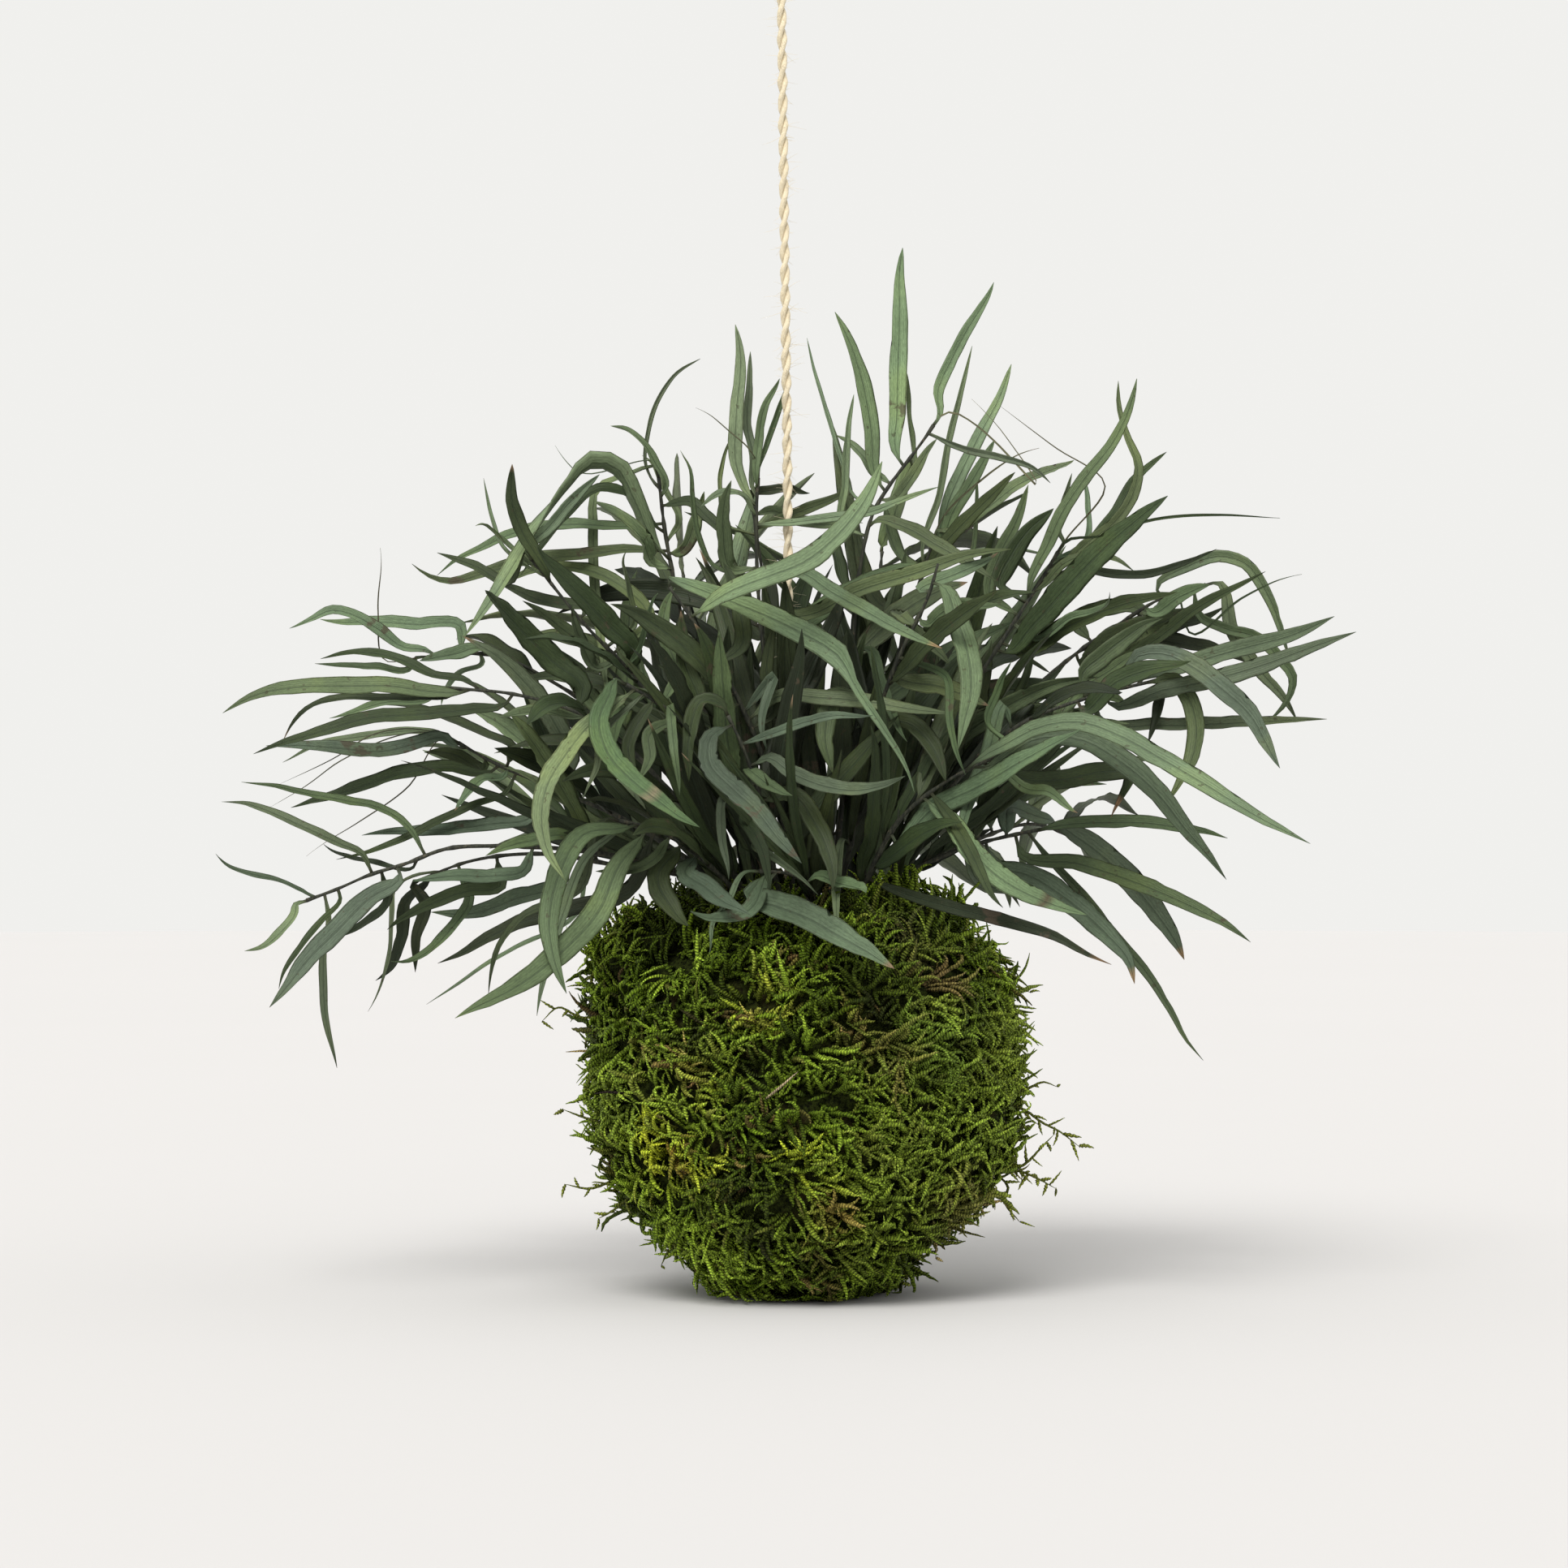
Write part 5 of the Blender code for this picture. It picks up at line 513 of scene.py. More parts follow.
      ("L", -34, 4.2, 0, 0, [(-8, 152.5), (4, 152.5), (16, 151.5), (28, 149.5), (38, 148.5)]),
      ("D", -14, 4.2, 0, 0, [(-17, 165), (-17, 176), (-21, 188)]),
      ("D", -26, 3.4, 0, 0, [(-9, 148), (-10, 160), (-8, 172)]),
      ("B", -36, 2.6, 20, 20, [(-8, 158), (-11, 148), (-11, 139)]),
      ("D", -36, 4.2, 0, 0, [(-20, 150), (-24, 162), (-28, 172)]),
      ("D", -16, 4.8, 0, 10, [(-4, 120), (-4.4, 134), (-4.6, 148), (-5.2, 160), (-6, 171)]),
      ("D", -13, 4.2, 0, 0, [(1.6, 112), (2, 126), (0.6, 140), (-0.4, 154)])]),
    # 21 front right, rising
    ([(8, -8), (11, -12, 112), (16, -19, 140), (24, -26, 163), (32, -29, 180), (34, -30, 187)],
     [("L", -62, 5.4, 0, 0, [(36, 181), (38.5, 173), (41.5, 164), (42.3, 154), (40.5, 146), (39, 140)]),
      ("L", -16, 3.6, 0, 0, [(30, 180), (38, 184), (49, 188.5)]),
      ("Y", -54, 2.0, 20, 20, [(36, 158), (37, 147), (38.5, 139), (40.5, 132.5)]),
      ("L", -62, 2.2, 10, 10, [(10.5, 116), (8, 104), (8, 92)]),
      ("M", -36, 5.2, 0, 0, [(24, 157.5), (34, 155.5), (47, 150.5)]),
      ("M", -40, 3.8, 0, 0, [(30, 172), (36, 175), (50, 176)]),
      ("D", -38, 4.6, 0, 0, [(26, 146), (33, 139), (36, 131)]),
      ("M", -6, 4.4, 0, 0, [(24, 174), (30, 168), (38, 161)]),
      ("M", -34, 5.0, 0, 0, [(8, 153), (5, 143), (7, 133)]),
      ("D", -15, 5.2, 0, 0, [(11.5, 129), (9.6, 142), (9, 156), (10, 170)])]),
    # 22 upright in the middle, behind the twine
    ([(-4, 11), (-5.5, 10, 130), (-8.5, 8, 165), (-12, 7, 192), (-13.5, 6.5, 202)],
     [("N", -4, 2.6, 10, 20, [(-9, 205.6), (-4, 206.2), (1, 204.2)]),
      ("D", 9, 3.2, 0, 10, [(-9, 197), (-2, 200), (6, 203), (12, 206)]),
      ("M", -3, 3.4, 0, 0, [(-8, 200.5), (-3, 198), (5, 197), (14, 198.3)]),
      ("D", 12, 5.2, 0, 0, [(-7, 158), (-3.5, 170), (1, 184), (3, 190)]),
      ("D", 16, 5.0, 0, 0, [(-12, 168), (-17, 180), (-21, 193)]),
      ("M", 24, 4.6, 0, 0, [(-3, 148), (3, 161), (8, 177)]),
      ("D", 20, 5.2, 0, 0, [(-9, 142), (-13, 155), (-15, 170)])]),
]
# Sprigs at the back: twig points, number of leaves.
BACK_SPRIGS = [
    ([(11, 17), (15, 24, 108), (27, 40, 130), (38, 56, 146), (45, 70, 150)], 10),
    ([(2, 19.5), (5, 28, 107), (9, 46, 118), (13, 64, 122), (16, 80, 118)], 10),
    ([(-9, 17.5), (-14, 26, 110), (-22, 38, 140), (-28, 50, 166), (-31, 60, 184)], 11),
    ([(3, 13.5), (8, 20, 115), (14, 32, 145), (18, 43, 170), (20, 52, 190)], 11),
    ([(-16, 14), (-23, 22, 106), (-40, 37, 116), (-56, 52, 120), (-68, 64, 116)], 10),
    ([(17, 14), (25, 23, 106), (44, 38, 116), (60, 52, 120), (72, 62, 115)], 10),
]


def placed(x, y, z):
    """A point of the bush, drawn in or let out by its depth."""
    k = 1.0 + y / TAPER
    return Vector((x * k, y, MIDDLE.z + (z - MIDDLE.z) * k))


def seen(point):
    """Where a point of the bush shows from the front, across and up: the reverse of placed."""
    k = 1.0 + point.y / TAPER
    return point.x / k, MIDDLE.z + (point.z - MIDDLE.z) / k


def smooth(points):
    """A dense polyline on a smooth curve through the points, and the length run at each of its points."""
    gaps = [max((b - a).length, 1e-6) for a, b in zip(points, points[1:])]
    slopes = [(b - a) / g for a, b, g in zip(points, points[1:], gaps)]
    tangents = [slopes[0]]
    for i in range(1, len(slopes)):
        share = gaps[i - 1] / (gaps[i - 1] + gaps[i])
        tangents.append(slopes[i - 1].lerp(slopes[i], share))
    tangents.append(slopes[-1])
    line = []
    for i, gap in enumerate(gaps):
        for j in range(10):
            u = j / 10
            line.append(points[i] * (2 * u**3 - 3 * u**2 + 1) + tangents[i] * (gap * (u**3 - 2 * u**2 + u))
                        + points[i + 1] * (3 * u**2 - 2 * u**3) + tangents[i + 1] * (gap * (u**3 - u**2)))
    line.append(points[-1])
    run = [0.0]
    for a, b in zip(line, line[1:]):
        run.append(run[-1] + (b - a).length)
    return line, run


def at(curve, distance):
    """The point and direction at a distance along a curve."""
    line, run = curve
    i = 0
    while i < len(line) - 2 and run[i + 1] < distance:
        i += 1
    span = max(run[i + 1] - run[i], 1e-9)
    u = min(max((distance - run[i]) / span, 0.0), 1.0)
    before = line[max(i - 1, 0)]
    after = line[min(i + 2, len(line) - 1)]
    return line[i].lerp(line[i + 1], u), (after - before).normalized()


def across(vector, direction):
    """The part of a vector that is square to a direction, as a unit vector."""
    rest = vector - direction * vector.dot(direction)
    if rest.length < 1e-4:
        rest = direction.orthogonal()
    return rest.normalized()


def stem_curve(points):
    """A twig's curve: straight up through the soil, then out through the bush."""
    x, y = points[0]
    line = [Vector((x, y, SOCKET_FLOOR)), Vector((x, y, CROWN - 5)), Vector((x, y, CROWN))]
    line += [placed(*p) for p in points[1:]]
    return smooth(line)


def nearest(curve, x, z):
    """The distance along a twig at which it passes closest to (x, z) as seen from the front."""
    line, run = curve
    best = (1e9, 0.0)
    for point, distance in zip(line, run):
        across_by, up_by = seen(point)
        best = min(best, ((across_by - x) ** 2 + (up_by - z) ** 2, distance))
    return best[1]


def base_slots(curve, wanted):
    """Distances along the twig for its leaves, spread so that no two share a spot.

    The end takes one leaf at most.
    """
    length = curve[1][-1]
    order = sorted(range(len(wanted)), key=lambda i: wanted[i])
    slots = [0.0] * len(wanted)
    limit = length
    for i in reversed(order):
        at_end = limit == length and wanted[i] > length - 4
        slots[i] = length if at_end else min(wanted[i], limit - LEAF_SPACING)
        limit = min(slots[i], length - 0.1)
    lowest = CROWN - SOCKET_FLOOR + 3.0
    for i in order:
        slots[i] = max(slots[i], lowest)
        lowest = slots[i] + LEAF_SPACING
    return slots


def past_stalk(share):
    """How far along its blade a leaf is, at a share of its length past the stalk."""
    return (share - STALK_SHARE) / (1 - STALK_SHARE)


def blade_width(share, width):
    """Width of a leaf at a share of its length: a narrow stalk, widest before the middle, a pointed tip."""
    if share <= STALK_SHARE:
        return PETIOLE
    u = past_stalk(share)
    return max(PETIOLE * (1 - u) ** 2, width * FULLNESS * math.sin(math.pi * u ** 0.72) ** 0.65)


class Leaf:
    """A leaf's middle line, width and the way that its blade faces."""

    def __init__(self, stem, slot, points, width, turns, facing):
        self.base, along = at(stem, slot)
        first = points[0] - self.base
        angle = min(max(first.angle(along, 0.8), STALK_ANGLES[0]), STALK_ANGLES[1])
        self.terminal = slot > stem[1][-1] - 0.01
        out = along if self.terminal else across(first, along) * math.sin(angle) + along * math.cos(angle)
        stalk = self.base + out * STALK
        rest = [p for p in points if (p - self.base).length > CLEAR_OF_STALK]
        self.curve = smooth([self.base, stalk] + rest)
        self.length = self.curve[1][-1]
        self.width = width
        self.turns = turns
        self.facing = facing

    def frame(self, share):
        """Middle point, side direction and blade normal at a share of the length."""
        point, along = at(self.curve, share * self.length)
        ease = share * share * (3 - 2 * share)
        turn = math.radians(self.turns[0] + (self.turns[1] - self.turns[0]) * ease)
        level = across(self.facing, along)
        side = along.cross(level)
        normal = level * math.cos(turn) + side * math.sin(turn)
        return point, along.cross(normal), normal

    def rings(self):
        """Three-cornered rings from the stalk out, then the tip."""
        rings = []
        for share in self.shares():
            point, side, normal = self.frame(share)
            half = blade_width(share, self.width) / 2
            top = normal * (LEAF_THICKNESS * 0.3)
            rings.append([point + side * half + top, point - normal * (LEAF_THICKNESS * 0.7),
                          point - side * half + top])
        return rings, self.curve[0][-1]

    def shares(self):
        """Where the rings stand: closer together on a leaf that bends or twists much."""
        line = self.curve[0][::5] + [self.curve[0][-1]]
        ways = [b - a for a, b in zip(line, line[1:]) if (b - a).length > 1e-3]
        bend = sum(a.angle(b, 0.0) for a, b in zip(ways, ways[1:]))
        for spread in RING_SPREADS[bend > 1.1:]:
            shares = [2.4 / self.length] + spread
            if self.twist(shares) < RING_TWIST:
                break
        return shares

    def twist(self, shares):
        """The most that the blade turns about its own line between neighbouring shares, in radians."""
        spots = []
        for share in shares:
            _point, side, normal = self.frame(share)
            spots.append((normal.cross(side), side))
        return max((a.rotation_difference(b) @ near).angle(far, 0.0)
                   for (a, near), (b, far) in zip(spots, spots[1:]))


def front_leaf(stem, slot, row, shift, bow):
    """A leaf from a table row, with its depth moved by shift and bowed by bow."""
    depth, width, turn_base, turn_tip, points = row
    base = at(stem, slot)[0]
    flat = [seen(base), *points]
    run = [0.0]
    for (xa, za), (xb, zb) in zip(flat, flat[1:]):
        run.append(run[-1] + math.hypot(xb - xa, zb - za))
    line = []
    for (x, z), distance in zip(flat[1:], run[1:]):
        share = distance / run[-1]
        y = base.y + (depth + shift - base.y) * share + bow * math.sin(math.pi * share)
        line.append(placed(x, y, z))
    return Leaf(stem, slot, line, width, (turn_base, turn_tip), Vector((0, -0.87, 0.5)))


def rule_leaf(stem, slot, sprig, number, attempt, inner):
    """A leaf by rule, spiralling round the twig and drooping to its tip. An inner one fills the middle."""
    dice = random.Random(sprig * 10007 + number * 101 + attempt)
    base, along = at(stem, slot)
    length = dice.uniform(46, 76) if inner else dice.uniform(58, 88)
    angle = math.radians(dice.uniform(18, 60))
    turn = GOLDEN_ANGLE * number + sprig + dice.uniform(-0.9, 0.9) + 0.5 * attempt
    x_axis = across(Vector((0.3, 0.2, 1.0)), along)
    y_axis = along.cross(x_axis)
    if slot > stem[1][-1] - 0.01:
        angle = math.radians(dice.uniform(2, 14))
        length *= 0.6
    ray = along * math.cos(angle) + (x_axis * math.cos(turn) + y_axis * math.sin(turn)) * math.sin(angle)
    droop = length * dice.uniform(0.12, 0.5) * (1.0 - ray.z * ray.z)
    line = []
    for share in (0.3, 0.55, 0.8, 1.0):
        drop = droop * share ** 2.2
        line.append(base + ray * (length * share * (1 - 0.08 * share)) - Vector((0, 0, drop)))
    facing = Vector((0, -0.8, 0.6)) if inner else Vector((base.x * 0.008, base.y * 0.008, 1.0))
    turns = (dice.uniform(-35, 35), dice.uniform(-60, 60))
    return Leaf(stem, slot, line, dice.uniform(4.4, 6.6), turns, facing)


def was_built(leaf, corners):
    """Whether the CAD node has this leaf: its tip and a middle ring are among the node's corners."""
    if corners.find(leaf.curve[0][-1])[2] > MATCH:
        return False
    return all(corners.find(p)[2] < MATCH for p in leaf.rings()[0][2])


def grown_leaf(stem, slot, sprig, spec, inner, corners):
    """The leaf that the CAD model grew from a table row, or by rule from a number."""
    if isinstance(spec, int):
        tried = (rule_leaf(stem, slot, sprig, spec, attempt, inner) for attempt in range(RULE_TRIES))
    else:
        moves = [(shift, bow) for shift in DEPTH_SHIFTS for bow in BOWS]
        moves.sort(key=lambda m: (abs(m[0]) + abs(m[1]), m[0], m[1]))
        tried = (front_leaf(stem, slot, spec[1:], shift, bow) for shift, bow in moves)
    return next((leaf for leaf in tried if was_built(leaf, corners)), None)


class Shapes:
    """Closed bodies, each a run of rings, gathered into one mesh."""

    def __init__(self):
        self.batches = []

    def add(self, rings, look, **facts):
        """Keep rings, an array (bodies, rings, corners, 3) in millimetres, that turn forward as they run.

        Each fact is an array that spreads over (bodies, rings, corners, its own width).
        """
        self.batches.append((np.asarray(rings, np.float32), look, facts))

    def piece(self, name, looks):
        """The piece, with its facts as attributes and an even UV map."""
        places, loops, counts, looks_used, maps = [], [], [], [], []
        facts = {}
        side = math.ceil(math.sqrt(sum(len(rings) for rings, _look, _facts in self.batches)))
        first = cells = 0
        for rings, look, given in self.batches:
            bodies, along, around, _ = rings.shape
            number = first + np.arange(bodies * along * around).reshape(bodies, along, around)
            after = np.roll(number, -1, axis=2)
            walls = np.stack([number[:, :-1], after[:, :-1], after[:, 1:], number[:, 1:]], axis=-1)
            loops.append(walls.ravel())
            counts.append(np.full(bodies * (along - 1) * around, 4))
            loops.append(np.concatenate([number[:, 0, ::-1], number[:, -1]]).ravel())
            counts.append(np.full(2 * bodies, around))
            looks_used.append(np.full(bodies * (along - 1) * around + 2 * bodies, look))
            maps.append(self.layout(cells + np.arange(bodies), side, along, around))
            cells += bodies
            places.append(rings.reshape(-1, 3) * MM)
            for key, value in given.items():
                value = np.asarray(value, np.float32)
                width = value.shape[-1]
                spread = np.broadcast_to(value, (bodies, along, around, width)).reshape(-1, width)
                facts.setdefault(key, {})[first] = spread
            first += bodies * along * around
        return self.build(name, looks, first, places, loops, counts, looks_used, maps, facts)

    def layout(self, cells, side, along, around):
        """UV corners of a batch: each body has its own cell of a square grid, with its caps in the rim."""
        cell = np.stack(np.divmod(cells, side), axis=-1)[:, None]
        j, k = np.meshgrid(np.arange(along - 1), np.arange(around), indexing="ij")
        corner = np.stack([np.stack([k, j], -1), np.stack([k + 1, j], -1),
                           np.stack([k + 1, j + 1], -1), np.stack([k, j + 1], -1)], axis=2)
        walls = cell[:, None, None] + 0.07 + 0.88 * corner / [around, along - 1]
        turn = 2 * math.pi * np.arange(around) / around
        cap = cell + 0.03 + 0.02 * np.stack([np.cos(turn), np.sin(turn)], axis=-1)
        return np.concatenate([part.reshape(-1, 2) for part in (walls, cap, cap + [0.94, 0])]) / side

    def build(self, name, looks, size, places, loops, counts, looks_used, maps, facts):
        """The mesh and its object, from the parts that the batches gave."""
        loops, counts = np.concatenate(loops), np.concatenate(counts)
        mesh = bpy.data.meshes.new(name)
        mesh.vertices.add(size)
        mesh.vertices.foreach_set("co", np.concatenate(places).ravel())
        mesh.loops.add(len(loops))
        mesh.loops.foreach_set("vertex_index", loops.astype(np.int32))
        mesh.polygons.add(len(counts))
        mesh.polygons.foreach_set("loop_start", (np.cumsum(counts) - counts).astype(np.int32))
        mesh.polygons.foreach_set("material_index", np.concatenate(looks_used).astype(np.int32))
        mesh.update(calc_edges=True)
        mesh.shade_smooth()
        for key, parts in facts.items():
            width = next(iter(parts.values())).shape[1]
            values = np.zeros((size, 4 if width == 4 else 3), np.float32)
            for start, part in parts.items():
                values[start:start + len(part), :width] = part
            kind, field = ("FLOAT_COLOR", "color") if width == 4 else ("FLOAT_VECTOR", "vector")
            mesh.attributes.new(key, kind, "POINT").data.foreach_set(field, values.ravel())
        uv = mesh.uv_layers.new(name="OFBake")
        uv.data.foreach_set("uv", np.concatenate(maps).astype(np.float32).ravel())
        for look in looks:
            mesh.materials.append(look)
        thing = bpy.data.objects.new(name, mesh)
        bpy.context.scene.collection.objects.link(thing)
        return thing


def unit(vectors):
    """An array of vectors, each scaled to length one."""
    return vectors / np.maximum(np.linalg.norm(vectors, axis=-1, keepdims=True), 1e-9)


def ring_frames(line, hint):
    """Directions square to each line of an array (bodies, points, 3): near a hint, and off it."""
    along = unit(np.gradient(line, axis=1))
    near = unit(hint - along * (hint * along).sum(-1, keepdims=True))
    return near, np.cross(along, near)


def tube(line, near, off, radius, around):
    """Round rings along each line of an array (bodies, points, 3)."""
    angle = (2 * math.pi * np.arange(around) / around)[:, None]
    return line[:, :, None] + (near[:, :, None] * np.cos(angle) + off[:, :, None] * np.sin(angle)) * radius


def fixed(piece, slot, *nodes):
    """Ride the one body and stand for CAD nodes. The slot is not used."""
    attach(piece, "root")
    if nodes:
        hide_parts(*nodes)
    return piece


class Look:
    """A material under construction: its nodes are made by short calls."""

    def __init__(self, name, roughness, specular=0.35):
        self.material = bpy.data.materials.new(name)
        self.material.use_nodes = True
        self.tree = self.material.node_tree
        self.shader = self.tree.nodes["Principled BSDF"]
        self.shader.inputs["Roughness"].default_value = roughness
        self.shader.inputs["Specular IOR Level"].default_value = specular

    def put(self, socket, value):
        """Link a socket into another, or set its value."""
        if isinstance(value, bpy.types.NodeSocket):
            self.tree.links.new(value, socket)
        else:
            socket.default_value = value

    def node(self, kind, values=(), **settings):
        """A node with its settings, and with its inputs linked or set."""
        made = self.tree.nodes.new(kind)
        for key, value in settings.items():
            setattr(made, key, value)
        for key, value in dict(values).items():
            self.put(made.inputs[key], value)
        return made

    def parts(self, name):
        """The three numbers of a fact that the mesh holds at each point."""
        fact = self.node("ShaderNodeAttribute", attribute_name=name)
        return self.node("ShaderNodeSeparateXYZ", {0: fact.outputs["Vector"]}).outputs

    def tint(self):
        """The colour that the mesh holds at each point."""
        return self.node("ShaderNodeAttribute", attribute_name="tint").outputs["Color"]

    def place(self):
        return self.node("ShaderNodeTexCoord").outputs["Object"]

    def math(self, operation, *values):
        return self.node("ShaderNodeMath", enumerate(values), operation=operation).outputs[0]

    def times(self, *values):
        return self.math("MULTIPLY", *values)

    def plus(self, *values):
        return self.math("ADD", *values)

    def noise(self, where, scale, detail=3.0, rough=0.55):
        return self.node("ShaderNodeTexNoise",
                         {"Vector": where, "Scale": scale, "Detail": detail, "Roughness": rough}).outputs[0]

    def ramp(self, value, low, high, out_low=0.0, out_high=1.0):
        """A smooth step of a value from low to high."""
        return self.node("ShaderNodeMapRange", {0: value, 1: low, 2: high, 3: out_low, 4: out_high},
                         interpolation_type="SMOOTHSTEP").outputs[0]

    def mix(self, share, a, b, blend="MIX"):
        """Two colours mixed. Each is a socket or three numbers."""
        a, b = (c if isinstance(c, bpy.types.NodeSocket) else (*c, 1) for c in (a, b))
        return self.node("ShaderNodeMix", {0: share, 6: a, 7: b}, data_type="RGBA",
                         blend_type=blend).outputs[2]

    def tinge(self, colour, toward, share, strength):
        """A colour moved toward another by a share times a strength."""
        return self.mix(self.times(share, strength), colour, toward)

    def filtered(self, colour, by):
        """A colour multiplied part by part by another."""
        return self.mix(1.0, colour, by, "MULTIPLY")

    def scaled(self, colour, by):
        """A colour made darker or lighter by a number."""
        return self.filtered(colour, self.node("ShaderNodeCombineColor", {0: by, 1: by, 2: by}).outputs[0])

    def finish(self, colour, height=None, depth_mm=0.1, roughness=None):
        """The material, with its colour, its bumps and its roughness connected."""
        self.put(self.shader.inputs["Base Color"], colour)
        if roughness is not None:
            self.put(self.shader.inputs["Roughness"], roughness)
        if height is not None:
            bump = self.node("ShaderNodeBump", {"Height": height, "Distance": depth_mm * MM, "Strength": 1.0})
            self.put(self.shader.inputs["Normal"], bump.outputs[0])
        return self.material


def leaf_look():
    """Matt grey-green blade: dark midrib, faint long veins, mottling, paler margins, dry tips and spots."""
    look = Look("eucalyptus_leaf", 0.56, 0.27)
    share, over, top = look.parts("lay")
    dry, spots, length = look.parts("wear")
    place = look.place()
    run = look.times(share, length)
    strip = look.node("ShaderNodeCombineXYZ", {0: look.times(run, 0.11), 1: over, 2: length}).outputs[0]
    streak = look.noise(strip, 7.0, 4.0, 0.6)
    broad = look.noise(place, 55.0, 2.0)
    fine = look.noise(place, 900.0, 3.0, 0.6)
    off = look.math("ABSOLUTE", over)
    midrib = look.ramp(off, 0.05, 0.13, 1.0, 0.0)
    veins = look.math("SINE", look.plus(look.times(over, 26.0), look.times(streak, 5.0)))
    vein = look.ramp(veins, 0.55, 1.0)
    colour = look.tint()
    colour = look.scaled(colour, look.ramp(broad, 0.3, 0.7, 0.84, 1.16))
    colour = look.scaled(colour, look.ramp(streak, 0.3, 0.72, 0.82, 1.18))
    colour = look.tinge(colour, look.filtered(colour, (1.25, 1.15, 0.7)), look.ramp(broad, 0.52, 0.72), 0.35)
    # Painted shade: the underside of a blade is a little darker and warmer than its top.
    under = look.filtered(colour, (0.94, 0.91, 0.88))
    colour = look.mix(look.math("SUBTRACT", 1.0, top), colour, under)
    colour = look.tinge(colour, (0.03, 0.05, 0.03), vein, 0.10)
    colour = look.tinge(colour, (0.028, 0.042, 0.024), midrib, 0.42)
    margin = look.ramp(off, 0.88, 1.0)
    colour = look.tinge(colour, look.filtered(colour, (1.45, 1.32, 1.25)), margin, 0.8)
    speck = look.ramp(look.noise(place, 420.0, 2.0, 0.7), 0.665, 0.70)
    colour = look.tinge(colour, (0.05, 0.045, 0.022), speck, 0.6)
    blot = look.ramp(look.noise(place, 95.0, 4.0, 0.7), 0.60, 0.66)
    colour = look.tinge(colour, (0.075, 0.055, 0.035), look.times(blot, spots), 0.75)
    edge = look.plus(share, look.times(look.math("SUBTRACT", streak, 0.5), 0.05))
    colour = look.tinge(colour, TIP_TAN, look.ramp(edge, 0.92, 0.97), dry)
    twig_end = look.ramp(share, 0.0, 0.07, 0.75, 0.0)
    colour = look.mix(twig_end, colour, (0.05, 0.042, 0.028))
    height = look.plus(look.times(fine, 0.35), look.times(vein, -0.5))
    height = look.plus(height, look.times(streak, 0.8))
    height = look.math("SUBTRACT", height, look.times(midrib, 0.9))
    return look.finish(colour, height, 0.12, look.ramp(streak, 0.3, 0.7, 0.5, 0.64))


def twig_look():
    """Dark brown bark with lengthwise streaks and paler flecks."""
    look = Look("twig_bark", 0.7)
    place = look.place()
    streak = look.noise(look.node("ShaderNodeMapping", {0: place, 3: (1500, 1500, 260)}).outputs[0], 1.0, 3.0)
    fleck = look.ramp(look.noise(place, 700.0, 2.0, 0.7), 0.6, 0.7)
    colour = look.mix(look.ramp(streak, 0.35, 0.7), (0.013, 0.015, 0.010), (0.046, 0.048, 0.030))
    return look.finish(look.tinge(colour, (0.12, 0.095, 0.06), fleck, 0.5), streak, 0.12)


def moss_look():
    """Shoots of moss: each tinted on its own, with overlapping scales that are painted darker where they join
    and lighter at their tips, a painted shade and highlight.
    """
    look = Look("moss_shoots", 0.58, 0.13)
    place = look.place()
    run, side, share = look.parts("lay")
    grain = look.noise(place, 1500.0, 2.0, 0.6)
    turn = look.plus(look.times(run, 8.4), look.times(side, 1.7))
    scale = look.math("SINE", look.plus(turn, look.times(grain, 5.0)))
    colour = look.tint()
    colour = look.scaled(colour, look.ramp(grain, 0.3, 0.7, 0.7, 1.35))
    # Painted shade and highlight: each scale darker where it joins the next and lighter at its tip.
    colour = look.scaled(colour, look.ramp(scale, -0.9, 0.9, 0.55, 1.5))
    patch = look.ramp(look.noise(place, 240.0, 3.0), 0.42, 0.66)
    colour = look.tinge(colour, look.filtered(colour, (1.35, 1.15, 1.0)), patch, 0.3)
    colour = look.tinge(colour, look.filtered(colour, (1.35, 1.35, 1.8)), look.ramp(share, 0.6, 1.0), 0.5)
    return look.finish(colour, look.plus(scale, grain), 0.16)


def mat_look():
    """The matted ground under the shoots: nearly black, painted shade between the shoots, with brown litter
    and green fuzz.
    """
    look = Look("moss_mat", 0.95, 0.1)
    place = look.place()
    grain = look.noise(place, 900.0, 4.0, 0.7)
    patch = look.noise(place, 75.0, 4.0, 0.6)
    colour = look.mix(look.ramp(grain, 0.36, 0.64), (0.003, 0.004, 0.001), (0.030, 0.040, 0.006))
    colour = look.tinge(colour, (0.040, 0.026, 0.011), look.ramp(patch, 0.52, 0.68), 0.6)
    return look.finish(colour, grain, 0.9)


def soil_look():
    """Moist dark potting mix with lighter crumbs and fibres."""
    look = Look("soil_crumbs", 0.92, 0.2)
    place = look.place()
    grain = look.noise(place, 520.0, 5.0, 0.7)
    crumb = look.node("ShaderNodeTexVoronoi", {"Vector": place, "Scale": 620.0}).outputs["Distance"]
    colour = look.mix(look.ramp(grain, 0.35, 0.7), (0.010, 0.007, 0.004), (0.070, 0.045, 0.026))
    pale = look.ramp(look.noise(place, 1300.0, 2.0), 0.66, 0.72)
    return look.finish(look.tinge(colour, (0.20, 0.15, 0.09), pale, 0.5), look.plus(grain, crumb), 0.8)


def twine_look():
    """Jute: pale yellow-brown fibres that run along the strands, and painted shade in the grooves between
    them.
    """
    look = Look("jute_twine", 0.82, 0.25)
    run, round_by, groove_shade = look.parts("lay")
    strip = look.node("ShaderNodeCombineXYZ", {0: look.times(run, 0.22), 1: round_by}).outputs[0]
    fibre = look.noise(strip, 9.0, 4.0, 0.65)
    colour = look.mix(look.ramp(fibre, 0.3, 0.68), TWINE_DARK, TWINE_PALE)
    return look.finish(look.tinge(colour, (0.50, 0.38, 0.20), groove_shade, 0.7), fibre, 0.3)


# ---- Camera and twine

